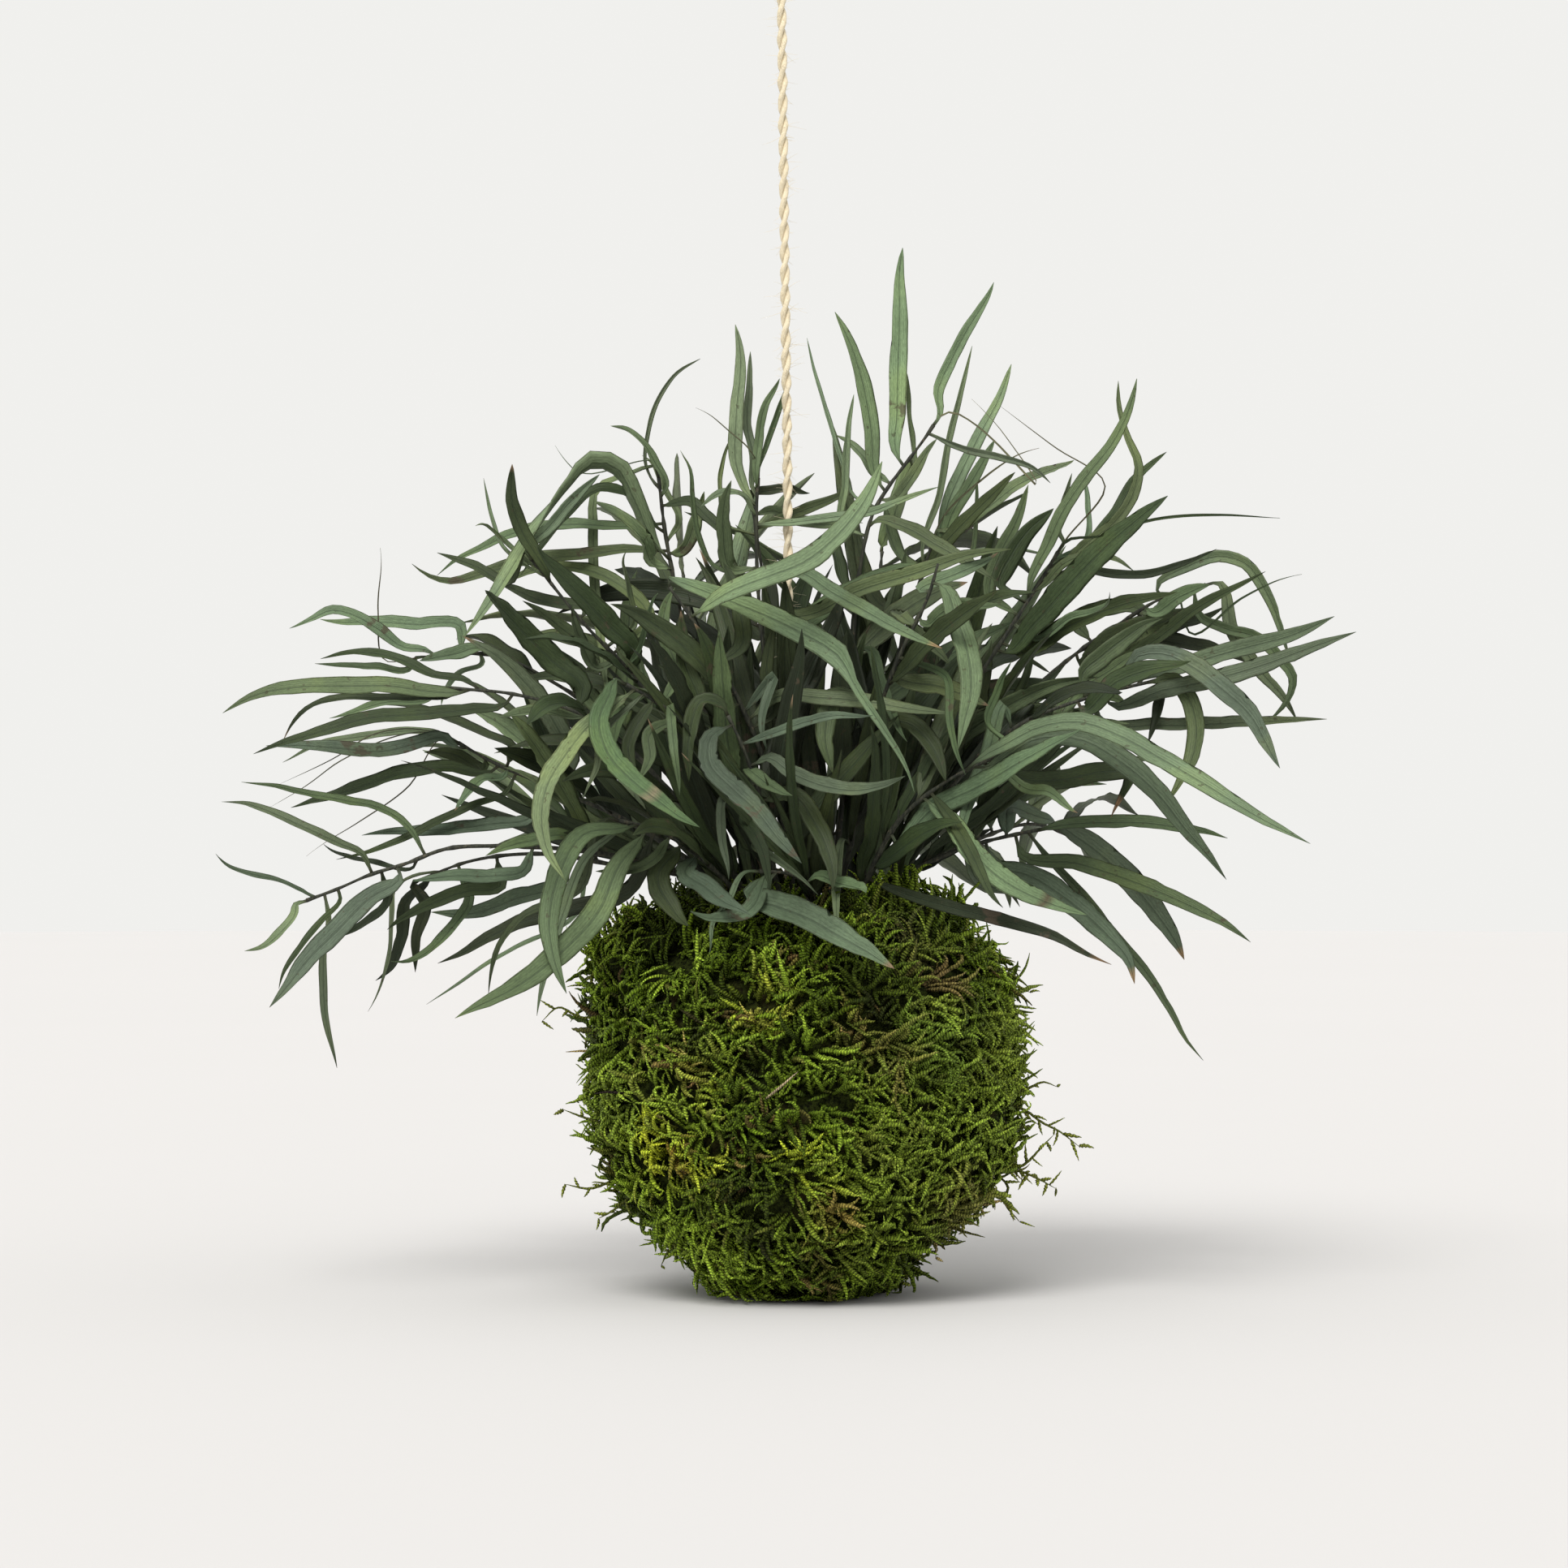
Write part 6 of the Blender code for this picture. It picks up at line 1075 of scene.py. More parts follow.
def add_camera():
    """A level camera in front of the plant, which shows VIEW_WIDTH of it."""
    data = bpy.data.cameras.new("camera")
    data.sensor_width = SENSOR
    data.lens = SENSOR * CAMERA_DISTANCE / VIEW_WIDTH
    data.clip_start = 0.01
    camera = bpy.data.objects.new("camera", data)
    x, y, z = CAMERA_AIM
    camera.location = Vector((x, y - CAMERA_DISTANCE, z)) * MM
    camera.rotation_euler = (math.pi / 2, 0, 0)
    bpy.context.scene.collection.objects.link(camera)
    bpy.context.scene.camera = camera


def spaced(curve, step):
    """Points along a smooth curve at even steps, as an array."""
    length = curve[1][-1]
    count = max(3, round(length / step) + 1)
    return np.array([at(curve, length * i / (count - 1))[0] for i in range(count)])


def run_along(line):
    """The length run at each point of a line, an array (points, width)."""
    return np.concatenate([[0], np.cumsum(np.linalg.norm(np.diff(line, axis=0), axis=1))])


def two_ply(line, radius, around=24):
    """Rings and facts of two strands twisted together along a line of points."""
    along = unit(np.gradient(line, axis=0))
    near = [unit(np.cross(along[0], (0.3, 1.0, 0.2)))]
    for way in along[1:]:
        near.append(unit(near[-1] - way * near[-1].dot(way)))
    near = np.array(near)
    run = run_along(line)
    angle = 2 * math.pi * np.arange(around) / around
    phase = angle[None] - 2 * math.pi * run[:, None] / TWINE_TURN
    strand, apart = 0.555 * radius, 0.445 * radius
    swell = 1 + 0.05 * np.sin(run * 1.7 + 1.0)[:, None] + 0.04 * np.sin(run * 0.61)[:, None] * np.cos(phase)
    reach = apart * np.abs(np.cos(phase)) + np.sqrt(strand**2 - (apart * np.sin(phase)) ** 2)
    reach = np.minimum(reach * swell, radius * 1.05)
    rings = tube(line[None], near[None], np.cross(along, near)[None], reach[..., None], around)
    # Painted shade: how deep a point lies in the groove between the two strands.
    groove_shade = np.clip(1 - (reach / radius - 0.35) / 0.3, 0, 1) ** 1.5
    lay = np.stack(np.broadcast_arrays(run[:, None] + phase * 2.0, phase, groove_shade), axis=-1)
    return rings, lay[None]


def twine_piece(name, line, radius, look, node):
    """A length of twine that stands for a CAD node."""
    rings, lay = two_ply(line, radius)
    shapes = Shapes()
    shapes.add(rings, 0, lay=lay)
    return fixed(shapes.piece(name, [look]), "jute_twine", node)


def knot_line(centre, size, steps=150):
    """A small overhand knot, as a closed three-lobed line that runs a little past its start."""
    t = 2 * math.pi * np.arange(steps + 3) / steps
    knot = np.stack([np.sin(t) + 2 * np.sin(2 * t), -np.sin(3 * t) * 1.1, np.cos(t) - 2 * np.cos(2 * t)],
                    axis=-1)
    return np.array(centre) + knot * size / 3


def loop_line():
    """The hanging loop: up out of its knot, round and back into it."""
    x, y, z = LOOP_KNOT
    bottom = z + KNOT_RADIUS + GAP + TWINE / 2
    a = np.linspace(0.33, 2 * math.pi - 0.33, 120)
    across_by = LOOP_WIDTH / 2 * np.sin(a) * np.sin(a / 2) ** 1.2
    rise = np.stack([x + across_by, np.full_like(a, y), bottom + LOOP_HEIGHT * (1 - np.cos(a)) / 2], axis=-1)
    feet = [[(x + aside, y, z + 0.8)] for aside in (0.5, -0.5)]
    points = [Vector(p) for p in np.concatenate([feet[0], rise[::8], rise[-1:], feet[1]])]
    return spaced(smooth(points), TWINE_STEP)


def twine_fuzz(line, look):
    """Loose fibres that stand off the twine."""
    dice = np.random.default_rng(FIBRE_SEED)
    count = FIBRES
    where = dice.integers(40, len(line) - 2, count)
    turn = dice.uniform(0, 2 * math.pi, count)
    out = np.stack([np.cos(turn), np.sin(turn), np.zeros(count)], axis=-1)
    swirl = np.stack([-np.sin(turn), np.cos(turn), np.zeros(count)], axis=-1)
    swirl = swirl * dice.uniform(-1, 1, (count, 1))
    up = np.array([0, 0, 1.0]) * dice.uniform(-1.2, 1.2, (count, 1))
    length = (dice.uniform(0.9, 2.1, count) ** 2)[:, None, None]
    s = np.linspace(0, 1, 8)[None, :, None]
    start = line[where] + out * TWINE * 0.36
    way = unit(out * 0.55 + swirl + up)
    curl = (swirl - up * 0.6)[:, None]
    fibre = start[:, None] + length * s * (way[:, None] + out[:, None] * 0.35 + s * curl * 0.5)
    near, off = ring_frames(fibre, np.array([0.2, 0.9, 0.4]))
    shapes = Shapes()
    shapes.add(tube(fibre, near, off, 0.055 - 0.035 * s[..., None], 3), 0, lay=np.array([0.0, 0.5, 0.0]))
    return fixed(shapes.piece("twine_fuzz", [look]), "jute_twine")


def build_twine():
    """The twine with its knots, loop and loose fibres. A knot is drawn with a thinner line, pulled tight."""
    look = twine_look()
    line = spaced(smooth([Vector(p) for p in TWINE_PATH]), TWINE_STEP)
    twine, stop, knot, loop = [twine_piece(name, path, radius, look, node) for name, path, radius, node in (
        ("twine_cord", line, TWINE / 2, "twine"),
        ("stop_knot", knot_line(KNOT, KNOT_RADIUS * 0.62), TWINE * 0.42, "twine_stop_knot"),
        ("tied_knot", knot_line(LOOP_KNOT, KNOT_RADIUS * 0.68), TWINE * 0.46, "loop_knot"),
        ("tied_loop", loop_line(), TWINE / 2, "hanging_loop"))]
    fuzz = twine_fuzz(line, look)


# ---- Sprigs

def visual_width(share, width, clear, edge_on):
    """Width of a leaf as drawn: like the CAD's, but a more even strap with a drawn-out tip."""
    stalk = min(PETIOLE, width)
    if share <= STALK_SHARE:
        return stalk
    u = past_stalk(share)
    drawn = width * math.sin(math.pi * u ** 0.80) ** (0.44 + (0.40 - 0.22 * clear) * u * u)
    if share > edge_on[0]:
        drawn *= edge_on[1] + (1 - edge_on[1]) * max(0.0, 1 - (share - edge_on[0]) / 0.08)
    return max(stalk * (1 - u) ** 2, drawn, 0.1)


def section():
    """The twelve corners round a blade: each one's share of the half width, whether on top, and its side."""
    top_v = np.array([-0.66, -0.33, 0.0, 0.33, 0.66])
    over = np.concatenate([[1.0], top_v[::-1], [-1.0], top_v])
    upper = np.array([0.5] + [0.0] * 5 + [0.5] + [1.0] * 5)
    sign = np.array([0.0] + [-1.0] * 5 + [0.0] + [0.0] * 5)
    return over, upper, sign


def blade(leaf, dice, colour, tip=None, along=BLADE_RINGS):
    """Rings and facts of one leaf: cupped, rippled at its margins, with a groove over its midrib.

    A leaf that stands clear above the bush is narrower and paler.
    """
    low, high = CLEAR_OF_BUSH
    clear = min(max((leaf.curve[0][-1].z - low) / (high - low), 0.0), 1.0)
    full_width = leaf.width * (FULLNESS + (CLEAR_WIDTH - FULLNESS) * clear)
    over, upper, sign = section()
    inner = 1 - np.abs(over) ** 2.5
    cup = dice.uniform(0.12, 0.5)
    wave = dice.uniform(8.0, 15.0)
    height = dice.uniform(0.1, 0.36)
    phases = [dice.uniform(0, 6.28) for _ in range(4)]
    curl = dice.choice((0, 0, 0, 1, -1)) * dice.uniform(0.8, 2.2)
    hook = dice.choice((0, 0, 1, -1)) * dice.uniform(0.5, 1.6)
    nicks = [(dice.uniform(0.15, 0.85), dice.choice((-1, 1)), dice.uniform(0.05, 0.17)) for _ in range(3)]
    rings, lay = [], []
    for i in range(along):
        share = min(i / (along - 1), 0.998)
        point, side, normal = (np.array(v) for v in leaf.frame(share))
        half = visual_width(share, full_width, clear, EDGE_ON.get(tip, WHOLE_WIDTH)) / 2
        run = share * leaf.length
        stalk = max(0.0, 1 - share / 0.1) ** 0.5
        end = max(0.0, (share - 0.8) / 0.2) ** 2
        sides = []
        for edge, a, b in ((1, phases[0], phases[1]), (-1, phases[2], phases[3])):
            wide = 1 + 0.03 * math.sin(run / 3.1 + a) + 0.02 * math.sin(run / 1.3 + b)
            for spot, nicked, deep in nicks:
                if nicked == edge:
                    wide -= deep * max(0.0, 1 - abs(share - spot) * leaf.length / 2.2)
            sides.append(wide)
        reach = over * half * np.where(over > 0, sides[0], sides[1])
        swing = [math.sin(run / wave * 6.28 + phases[k]) for k in (0, 2)]
        ripple = np.where(over > 0, swing[0], swing[1])
        rise = cup * half * np.abs(over) ** 1.6
        rise = rise + height * ripple * over ** 2 * (1 - stalk) * min(half / 2, 1)
        groove = -0.10 * (over == 0) * (upper == 1) * (1 - stalk)
        thick = 0.28 * inner + 0.22 * (over == 0) * (upper == 0)
        rounded = 0.42 * stalk * np.sqrt(np.maximum(1 - over**2, 0))
        lift = rise * (1 - stalk) + groove + sign * thick
        lift = lift + np.where(upper == 1, rounded, -rounded * (sign < 0))
        lift = lift * min(1.0, half / 0.6) + curl * end
        rings.append(point + np.outer(reach + hook * end, side) + np.outer(lift, normal))
        lay.append(np.stack([np.full(len(over), share), over, upper], axis=-1))
    rings = np.array(rings)
    tint = np.array(colour) * dice.uniform(0.86, 1.15)
    tint = tint * np.array([dice.uniform(0.93, 1.08), 1.0, dice.uniform(0.92, 1.08)])
    tint = tint * (1 + clear * CLEAR_PALER)
    wear = (float(dice.random() < 0.1), float(dice.random() < 0.25), leaf.length)
    away = (((rings.mean(axis=1) - CORE) / CORE_REACH) ** 2).sum(axis=1)
    tints = np.ones((along, 1, 4))
    tints[:, 0, :3] = tint * (1 - CORE_SHADE * np.exp(-away))[:, None]
    if tip in LEAF_MARKS:
        first, last, mark = LEAF_MARKS[tip]
        share = np.linspace(0, 1, along)
        tints[(share >= first) & (share <= last), 0, :3] = mark
    return rings, np.array(lay), tints, wear


def twig_rings(stem, slots):
    """An eight-sided twig, thicker at its foot and at each leaf."""
    line = spaced(stem, 2.0)[None]
    reach = stem[1][-1]
    run = np.linspace(0, reach, line.shape[1])
    radius = 0.85 - 0.52 * run / reach
    for slot in slots:
        radius = radius + 0.22 * np.exp(-((run - slot) / 0.9) ** 2)
    radius = radius * (1 + 0.06 * np.sin(run * 1.9) + 0.05 * np.sin(run * 0.7 + 2))
    return tube(line, *ring_frames(line, np.array([0.75, 0.65, 0.05])), radius[:, None, None], 8)


def inner_leaf(stem, dice):
    """A narrow leaf low on a twig that rises beside it. The CAD model leaves these out."""
    reach = stem[1][-1]
    slot = CROWN - SOCKET_FLOOR + dice.uniform(1.0, 0.3 * reach)
    base, along = at(stem, slot)
    aside = Vector((dice.uniform(-1, 1), dice.uniform(-0.6, 1), 0))
    ray = (along + Vector((0, 0, 0.3)) + aside * 0.4).normalized()
    length = dice.uniform(32, 62)
    line = [base + ray * (length * s) + aside * (length * 0.14 * s * s) for s in (0.3, 0.6, 1.0)]
    turns = (dice.uniform(-60, 60), dice.uniform(-60, 60))
    return Leaf(stem, slot, line, dice.uniform(2.4, 4.4), turns, Vector((0, -1, 0.3)))


def built_corners(node):
    """The corners of a CAD node, in millimetres, to be searched by place."""
    corners = KDTree(len(node.data.vertices))
    for i, corner in enumerate(node.data.vertices):
        corners.insert(corner.co / MM, i)
    corners.balance()
    return corners


def build_sprigs():
    """Each sprig as one piece: the leaves that its CAD node has, the wisps, small low leaves and the twig."""
    looks = [leaf_look(), twig_look()]
    for number, (points, leaves) in enumerate(SPRIGS + BACK_SPRIGS):
        name = f"sprig_{number + 1:02d}"
        corners = built_corners(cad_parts[name])
        stem = stem_curve(points)
        reach = stem[1][-1]
        inner = not isinstance(leaves, int)
        if inner:
            specs = [*leaves, *range(FILLERS)]
            wanted = [nearest(stem, *row[5][0]) for row in leaves]
            wanted += [reach * (0.42 + 0.42 * i / FILLERS) for i in range(FILLERS)]
        else:
            specs = list(range(leaves))
            wanted = [reach * (1 - 0.62 * (i / leaves) ** 1.15) for i in range(leaves)]
        slots = base_slots(stem, wanted)
        dice = random.Random(LEAF_SEED + number)
        blades = []
        for slot, spec in zip(slots, specs):
            leaf = grown_leaf(stem, slot, number, spec, inner, corners)
            if isinstance(spec, int):
                # Fillers in the middle of a front sprig take mostly dark tones, painted shade; back sprigs
                # take a mix.
                tone, tip = dice.choice("MDDN" if inner else "MMLDO"), None
            else:
                tone, tip = spec[0], spec[5][-1]
            if leaf:
                blades.append(blade(leaf, dice, TONES[tone], tip))
        for sprig, tone, depth, width, path in WISPS:
            if sprig == number + 1:
                slot = nearest(stem, *path[0])
                leaf = front_leaf(stem, slot, (depth, width, 40, 40, path), 0, 0)
                blades.append(blade(leaf, dice, TONES[tone]))
        # Small low leaves inside the bush take mostly dark tones: painted shade.
        low = [blade(inner_leaf(stem, dice), dice, TONES[dice.choice("DDNM")], None, INNER_RINGS)
               for _ in range(INNER_LEAVES)]
        shapes = Shapes()
        for group in (blades, low):
            rings, lay, tint, wear = (np.array(column) for column in zip(*group))
            shapes.add(rings, 0, lay=lay, tint=tint, wear=wear[:, None, None])
        shapes.add(twig_rings(stem, slots), 1)
        fixed(shapes.piece(name + "_leaves", looks), "eucalyptus_leaf", name)


# ---- Moss

def moss_bump(a, height):
    """Lumps of the moss surface, as in the CAD model."""
    fade = np.clip(height / 12, 0, 1) * np.clip((99 - height) / 8, 0, 1)
    lumps = np.sin(3 * a + height * 0.05) + 0.7 * np.sin(5 * a - height * 0.11 + 1.3)
    return fade * (0.8 * lumps + 0.5 * np.sin(9 * a + height * 0.23))


class Ball:
    """The moss surface, by distance up its outline from under the flat spot and by angle."""

    def __init__(self):
        line = np.array(MOSS_LINE, float)
        self.run = run_along(line)
        self.radius, self.height = line.T
        way = unit(np.gradient(line, axis=0))
        self.out, self.up = way[:, 1], -way[:, 0]
        self.length = self.run[-1]

    def normal(self, t, a):
        """Direction square to the outline, away from the ball."""
        out, up = np.interp(t, self.run, self.out), np.interp(t, self.run, self.up)
        return unit(np.stack([out * np.cos(a), out * np.sin(a), up], axis=-1))

    def point(self, t, a, lift=0.0):
        """The point at a lift over the lumpy surface, kept above the ground."""
        radius, height = np.interp(t, self.run, self.radius), np.interp(t, self.run, self.height)
        radius = radius + moss_bump(a, height)
        base = np.stack([radius * np.cos(a), radius * np.sin(a), height], axis=-1)
        for x, y, z, wide, tall in MOSS_LUMPS:
            away = np.sum((base - (x, y, z)) ** 2, axis=-1)
            lift = lift + tall * np.exp(-away / (2 * wide * wide))
        place = base + self.normal(t, a) * np.asarray(lift)[..., None]
        place[..., 2] = np.maximum(place[..., 2], 0.15)
        return place

    def around(self, t):
        """Radius at a distance up the outline."""
        return np.maximum(np.interp(t, self.run, self.radius), 9.0)


def moss_tints(place, dice):
    """A colour for each shoot from where it is, as listed patches over mixed greens."""
    count = len(place)
    broad = np.array([noise.noise(Vector(p) * 0.045) for p in place])
    near = np.array([noise.noise(Vector(p) * 0.16 + Vector((7, 3, 1))) for p in place])
    share = np.clip(0.5 + 1.1 * broad + 0.7 * near + dice.normal(0, 0.22, count), 0, 1)[:, None]
    low, middle, high = (np.array(c) for c in MOSS_GREENS)
    tint = np.where(share < 0.5, low + (middle - low) * share * 2, middle + (high - middle) * (share * 2 - 1))
    brown = (dice.random(count) < 0.045 + 0.10 * (near > 0.25))[:, None]
    tint = np.where(brown, np.array(MOSS_BROWN) * dice.uniform(0.6, 1.3, (count, 1)), tint)
    # Some patches are painted shade in hollows and painted light on the rims.
    for x, z, wide, colour in MOSS_PATCHES:
        away = (place[:, 0] - x) ** 2 + (place[:, 2] - z) ** 2
        hit = np.exp(-away / (2 * wide * wide)) * (place[:, 1] < 0) * dice.uniform(0.6, 1.0, count)
        tint = tint + (np.array(colour) - tint) * np.clip(hit * 1.25, 0, 1)[:, None]
    return tint * dice.uniform(0.8, 1.2, (count, 1))


def scaly(shapes, line, hint, half, roll, tint, sharp=0.6):
    """Scaly shoots: three-cornered rings, wide and narrow by turns on either side, that taper to a tip."""
    bodies, points, _ = line.shape
    line = line.copy()
    line[..., 2] = np.maximum(line[..., 2], half[:, None] * 0.9 + 0.1)
    near, off = ring_frames(line, hint)
    cos, sin = np.cos(roll)[:, None, None], np.sin(roll)[:, None, None]
    side, up = near * sin + off * -cos, near * cos + off * sin
    j = np.arange(points)
    s = j / (points - 1)
    taper = (0.6 + 0.4 * np.minimum(s * 4, 1)) * (1 - 0.85 * s**3)
    odd = np.where(j % 2 == 1, 1.0, sharp)
    even = np.where(j % 2 == 0, 1.0, sharp)
    wide = half[:, None] * taper
    ring = np.stack([line + side * (wide * odd)[..., None], line + up * (wide * 0.75)[..., None],
                     line - side * (wide * even)[..., None]], axis=2)
    steps = np.linalg.norm(np.diff(line, axis=1), axis=-1)
    run = np.concatenate([np.zeros((bodies, 1)), steps.cumsum(1)], axis=1)
    lay = np.stack(np.broadcast_arrays(run[..., None], np.array([-1.0, 0.0, 1.0]), s[None, :, None]), axis=-1)
    lit = (0.55 + 0.6 * np.minimum(s * 1.5, 1.0))[None, :, None, None]
    shade = np.broadcast_to(lit * tint[:, None, None, :], (*ring.shape[:3], 3))
    shapes.add(ring, 0, tint=np.concatenate([shade, np.ones_like(shade[..., :1])], axis=-1), lay=lay)


def wander(ball, t0, a0, heading, bend, s, length, samples, power=1.0):
    """Paths over the ball: distance up and angle at shares s of a length, as the heading turns by a bend."""
    fine = np.linspace(0, 1, samples) * s[..., None]
    turns = heading[:, None, None] + bend[:, None, None] * fine**power
    run = s * length[:, None]
    t = t0[:, None] + np.sin(turns).mean(-1) * run
    return t, a0[:, None] + np.cos(turns).mean(-1) * run / ball.around(t)


def shoots(ball, shapes, spots, heading, dice, tint, points=SHOOT_RINGS, lengths=SHOOT_LENGTHS,
           rises=SHOOT_RISES):
    """Single shoots that root in the ball, lift off it and arch over with hooked tips."""
    t0, a0 = spots
    count = len(t0)
    length = dice.uniform(*lengths, count)
    bend = dice.normal(0, 1.1, count)
    rise = dice.uniform(*rises, count) * (1 + 0.5 * (dice.random(count) < 0.1))
    hang = dice.uniform(-0.5, 0.85, count) * rise
    top = 1 - ball.around(t0) / 56
    rise = rise * (1 + CROWN_RISE * np.where(t0 > ball.length / 2, top, 0))
    foot = dice.uniform(-1.0, 0.2, count) - MAT_DEPTH
    s = np.linspace(0, 1, points)[None]
    t, a = wander(ball, t0, a0, heading, bend, s, length * 0.9, 6, 1.8)
    lift = foot[:, None] + (rise[:, None] + 1.2) * s * (2 - s) - hang[:, None] * s**3
    half = dice.uniform(0.72, 1.22, count) * (0.8 + 0.2 * length / lengths[1])
    scaly(shapes, ball.point(t, a, lift), ball.normal(t, a), half, dice.normal(0, 0.6, count), tint)


def tufts(ball, shapes, spots, heading, dice):
    """Clumps of shoots that spring from one spot each and fan out one way."""
    own = np.repeat(moss_tints(ball.point(*spots), dice), TUFT_SHOOTS, axis=0)
    t, a, way = (np.repeat(v, TUFT_SHOOTS) for v in (*spots, heading))
    count = len(t)
    t = np.clip(t + dice.normal(0, 1.5, count), 0.5, ball.length - 1)
    a = a + dice.normal(0, 1.5, count) / ball.around(t)
    other = moss_tints(ball.point(t, a), dice)
    tint = (0.6 * own + 0.4 * other) * dice.uniform(0.65, 1.35, (count, 1))
    shoots(ball, shapes, (t, a), way + dice.normal(0, 0.6, count), dice, tint)


def fronds(ball, shapes, spots, heading, dice):
    """Feathery strands that lie over the tufts: an axis each, with side shoots left and right by turns."""
    t0, a0 = spots
    count, twigs = len(t0), FROND_SHOOTS
    length = dice.uniform(10, 20, count)
    bend = dice.normal(0, 0.7, count)
    rise = dice.uniform(0.5, 2.6, count)
    foot = dice.uniform(-2.2, -0.6, count)

    def axis(s):
        """Distance up, angle and lift at shares s of each axis."""
        lift = foot[:, None] + rise[:, None] * s * (2 - s)
        return (*wander(ball, t0, a0, heading, bend, s, length, 9), lift)

    t, a, lift = axis(np.broadcast_to(np.linspace(0, 1, 14), (count, 14)))
    line = ball.point(t, a, lift)
    tint = moss_tints(line[:, 7], dice)
    scaly(shapes, line, ball.normal(t, a), np.full(count, 0.6), dice.normal(0, 0.3, count), tint * 0.8, 0.75)

    k = np.arange(twigs)
    where = np.clip((0.06 + 0.86 * k / (twigs - 1))[None] + dice.normal(0, 0.02, (count, twigs)), 0, 1)
    turn = heading[:, None] + bend[:, None] * where
    hand = np.where(k % 2 == 0, 1, -1)[None]
    start = (turn + hand * dice.normal(0.95, 0.22, (count, twigs))).ravel()
    bow = (dice.normal(-0.5, 0.5, (count, twigs)) * hand).ravel()
    reach = (dice.uniform(3.0, 6.5, (count, twigs)) * (1 - 0.4 * k / twigs)[None]).ravel()
    t, a, lift = (v.ravel() for v in axis(where))
    s = np.linspace(0, 1, 8)[None]
    path = wander(ball, t, a, start, bow, s, reach, 5)
    lift = lift[:, None] + dice.normal(0.5, 0.8, len(t))[:, None] * s
    lift = lift + dice.normal(0, 0.7, len(t))[:, None] * s * s
    tints = 0.6 * np.repeat(tint, twigs, axis=0) + 0.4 * moss_tints(ball.point(t, a), dice)
    tints = tints * dice.uniform(0.75, 1.25, (len(t), 1))
    half = dice.uniform(0.6, 0.92, len(t))
    scaly(shapes, ball.point(*path, lift), ball.normal(*path), half, dice.normal(0, 0.5, len(t)), tints)


def strays(shapes, dice):
    """Wiry strands that stand off the ball, with shoots along them."""
    for path, count, reach, colour in STRAYS:
        line = spaced(smooth([Vector(p) for p in path]), 0.9)
        tint = np.array(colour)
        wire = np.array([0.42])
        scaly(shapes, line[None], np.array([0.2, -0.9, 0.3]), wire, np.zeros(1), tint[None] * 0.6, 0.8)
        spots = (np.linspace(0.18, 1.0, count) * (len(line) - 1)).astype(int)
        along = unit(np.gradient(line, axis=0))[spots]
        start = line[spots]
        hand = np.where(np.arange(count) % 2 == 0, 1.0, -1.0)[:, None]
        aside = np.cross(along, [0.0, 1.0, 0.0]) * hand + dice.normal(0, 0.35, (count, 3))
        way = unit(along * dice.uniform(0.4, 1.4, (count, 1)) + aside)
        curl = dice.normal(0, 0.5, (count, 3)) - [0, 0, 0.25]
        length = dice.uniform(0.45, 1.0, (count, 1, 1)) * reach
        s = np.linspace(0, 1, 9)[None, :, None]
        shoot = start[:, None] + length * (way[:, None] * s + 0.5 * curl[:, None] * s * s)
        tints = tint * dice.uniform(0.75, 1.3, (count, 1))
        half = dice.uniform(0.42, 0.7, count)
        scaly(shapes, shoot, np.array([0.1, -1.0, 0.2]), half, dice.normal(0, 0.5, count), tints)


def scattered(ball, middle, count, low, high, dice):
    """Spots spread evenly over a sector, with no two at one place: distances up and angles."""
    line = np.linspace(low, high, 400)
    area = np.cumsum(ball.around(line))
    step = np.arange(count) + dice.random()
    t = np.interp(step * EVEN_STEPS[0] % 1.0 * area[-1], area, line) + dice.normal(0, 0.5, count)
    return t, math.radians(middle) + (step * EVEN_STEPS[1] % 1.0 - 0.5) * math.pi / 2


def build_moss():
    """The mat, then a piece of low shoots, tufts and fronds for each side. The front one has the strays."""
    ball = Ball()
    build_mat(ball)
    look = moss_look()
    dice = np.random.default_rng(MOSS_SEED)
    for name, middle, clumps, feathers in MOSS_SECTORS:
        shapes = Shapes()
        spots = scattered(ball, middle, LOW_SHOOTS, 1.0, ball.length - 4, dice)
        heading = dice.uniform(0, 2 * math.pi, LOW_SHOOTS)
        tint = moss_tints(ball.point(*spots), dice) * LOW_SHADE
        shoots(ball, shapes, spots, heading, dice, tint, LOW_RINGS, LOW_LENGTHS, LOW_RISES)
        spots = t0, a0 = scattered(ball, middle, clumps, 1.0, ball.length - 4, dice)
        flow = 1.1 * np.sin(2 * a0 + t0 * 0.05) + 1.4 * np.sin(3 * a0 - t0 * 0.08 + 2) + 0.4
        tufts(ball, shapes, spots, flow + dice.normal(0, 1.0, clumps), dice)
        spots = t0, a0 = scattered(ball, middle, feathers, 6.0, ball.length - 14, dice)
        flow = 1.2 * np.sin(2 * a0 + t0 * 0.04) + 1.3 * np.sin(3 * a0 - t0 * 0.07 + 2) - 0.9
        fronds(ball, shapes, spots, flow + dice.normal(0, 0.8, feathers), dice)
        if name == "moss_front":
            strays(shapes, dice)
        fixed(shapes.piece(name, [look]), "moss")


def build_mat(ball):
    """The ground under the shoots, painted dark for the shade between them, a closed cup that the shoots root
    in.
    """
    around, up = 160, 72
    t = np.linspace(0, ball.length, up)[:, None]
    a = 2 * math.pi * np.arange(around)[None] / around
    t, a = np.broadcast_arrays(t, a)
    place = ball.point(t, a, -MAT_DEPTH)
    rough = np.array([noise.fractal(Vector(p) * 0.16, 0.8, 2.1, 5) for p in place.reshape(-1, 3)])
    place = ball.point(t, a, -MAT_DEPTH + 1.4 * rough.reshape(t.shape))
    shapes = Shapes()
    shapes.add(place[None], 0)
    fixed(shapes.piece("moss_mat", [mat_look()]), "moss", "moss_cover")


# ---- Soil

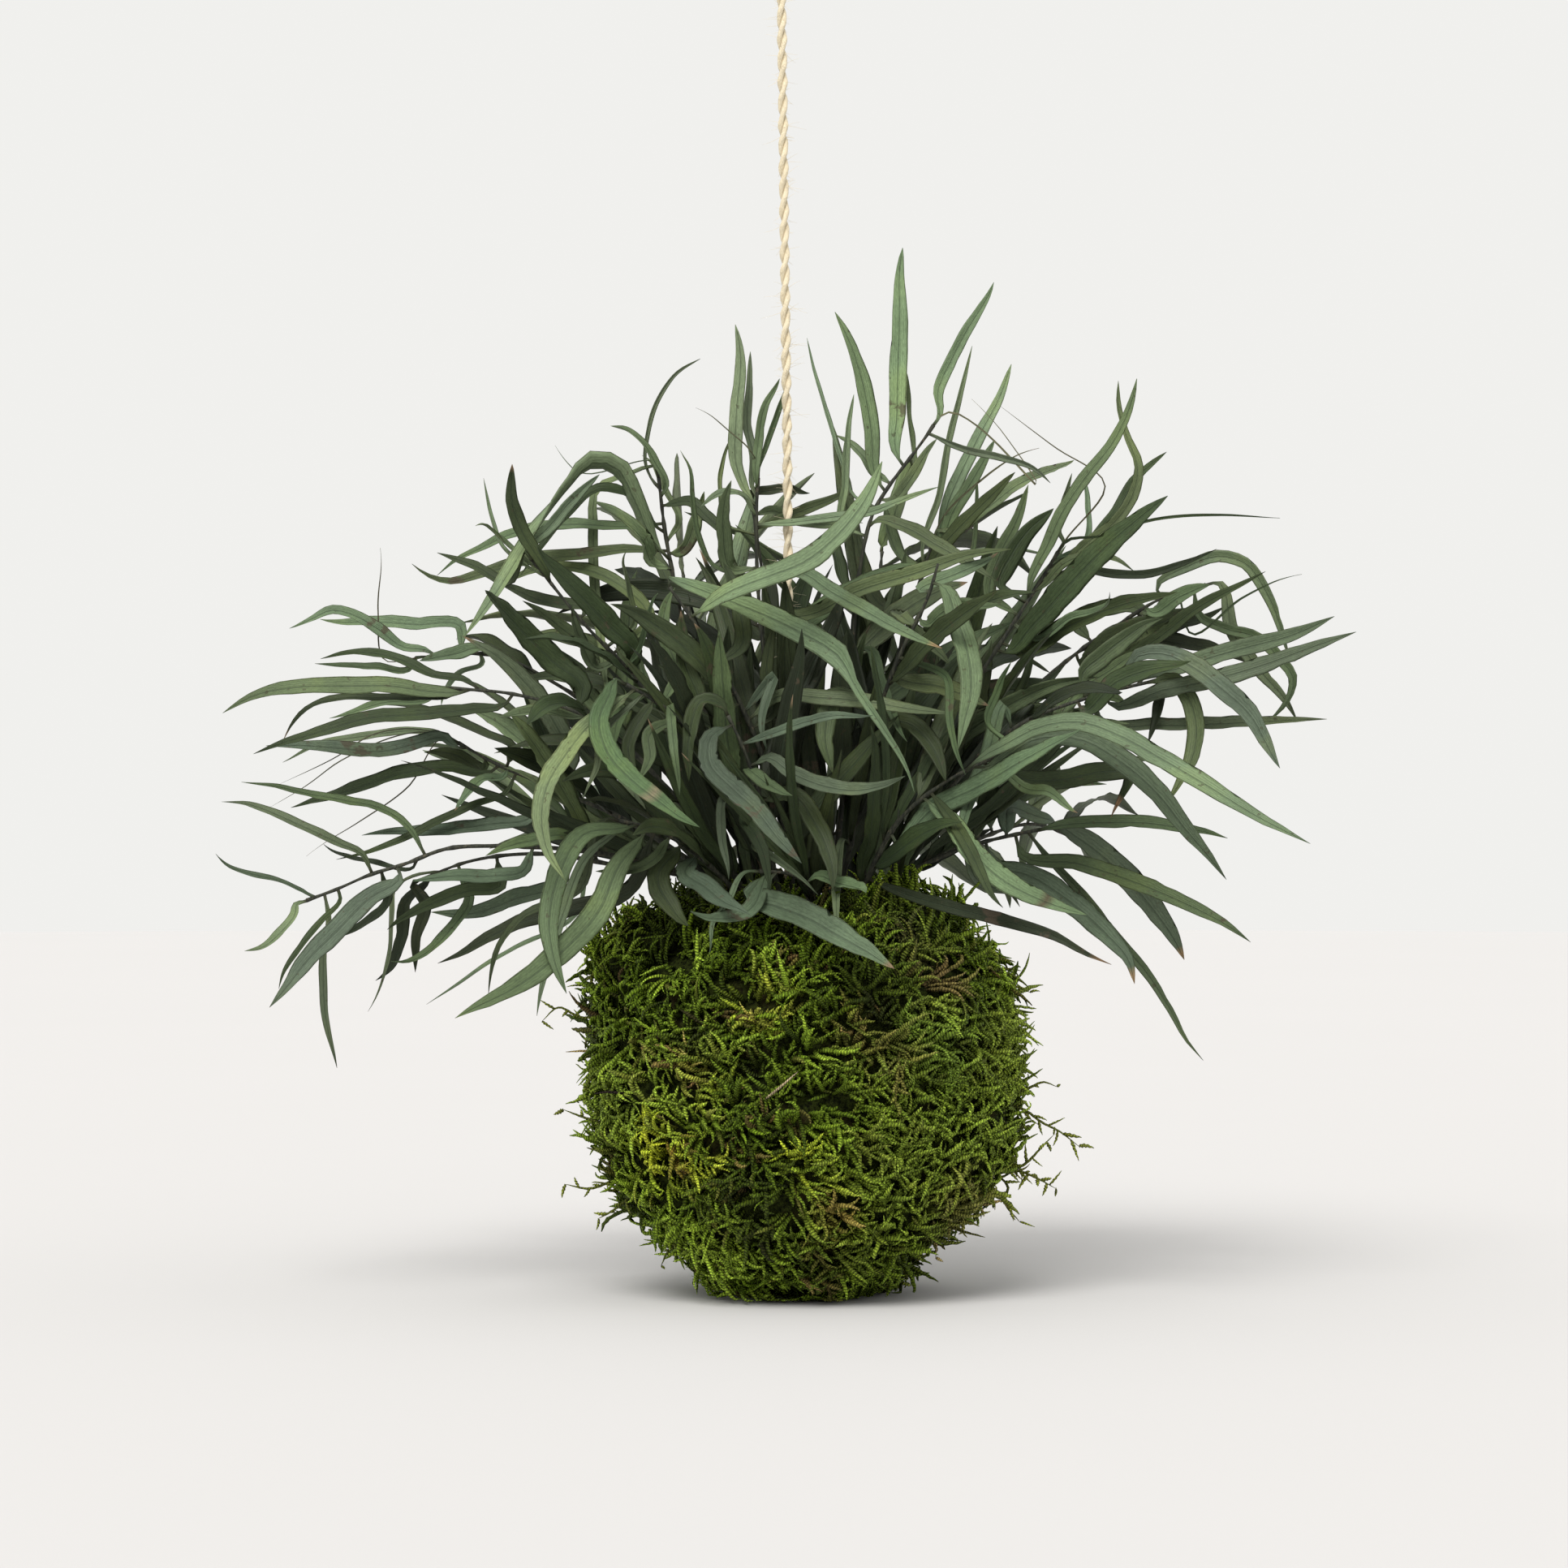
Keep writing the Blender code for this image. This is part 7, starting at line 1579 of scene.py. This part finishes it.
def build_soil():
    """The soil ball keeps its CAD shape. Crumbs lie on it at the crown."""
    look = soil_look()
    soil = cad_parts["soil_ball"]
    soil.data.materials.clear()
    soil.data.materials.append(look)
    dice = np.random.default_rng(CRUMB_SEED)
    radius = SOIL_TOP[0] * np.sqrt(dice.uniform(0, 1, CRUMBS))
    angle = dice.uniform(0, 2 * math.pi, CRUMBS)
    size = dice.uniform(0.4, 1.5, CRUMBS)
    centre = np.stack([radius * np.cos(angle), radius * np.sin(angle), SOIL_TOP[1] + 0.3 * size], axis=-1)
    band = math.pi * np.linspace(0.12, 0.88, 5)[:, None]
    turn = 2 * math.pi * np.arange(6) / 6
    corner = (np.sin(band) * np.cos(turn), np.sin(band) * np.sin(turn), -np.cos(band))
    globe = np.stack(np.broadcast_arrays(*corner), axis=-1)
    bumps = dice.uniform(0.7, 1.25, (CRUMBS, *globe.shape[:2], 1)) * size[:, None, None, None]
    shapes = Shapes()
    shapes.add(centre[:, None, None] + globe * bumps, 0)
    fixed(shapes.piece("soil_crumbs", [look]), "soil")


# ---- Stage

def build_stage():
    """A pale floor under an even pale sky, with one broad soft light from the upper left front."""
    scene = bpy.context.scene
    mesh = bpy.data.meshes.new("floor")
    corners = [(FLOOR_RADIUS * math.cos(a), FLOOR_RADIUS * math.sin(a), -FLOOR_DROP)
               for a in np.linspace(0, 2 * math.pi, 65)[:-1]]
    mesh.from_pydata(corners, [], [tuple(range(len(corners)))])
    floor = bpy.data.objects.new("floor", mesh)
    look = Look("floor", 0.9, 0.1)
    colour = look.mix(look.noise(look.place(), 3.0), FLOOR_COLOUR, [c * 1.02 for c in FLOOR_COLOUR])
    mesh.materials.append(look.finish(colour))
    scene.collection.objects.link(floor)
    world = bpy.data.worlds.new("studio")
    world.use_nodes = True
    background = world.node_tree.nodes["Background"].inputs
    background["Color"].default_value = (*SKY_COLOUR, 1)
    background["Strength"].default_value = 1.0
    scene.world = world
    light = bpy.data.lights.new("key", "SUN")
    light.energy = KEY_POWER
    light.angle = KEY_SPREAD
    light.color = KEY_COLOUR
    key = bpy.data.objects.new("key", light)
    key.rotation_euler = Vector(KEY_FROM).to_track_quat("Z", "Y").to_euler()
    scene.collection.objects.link(key)
    scene.view_settings.view_transform = "Standard"


add_camera()
build_twine()
build_sprigs()
build_moss()
build_soil()
build_stage()
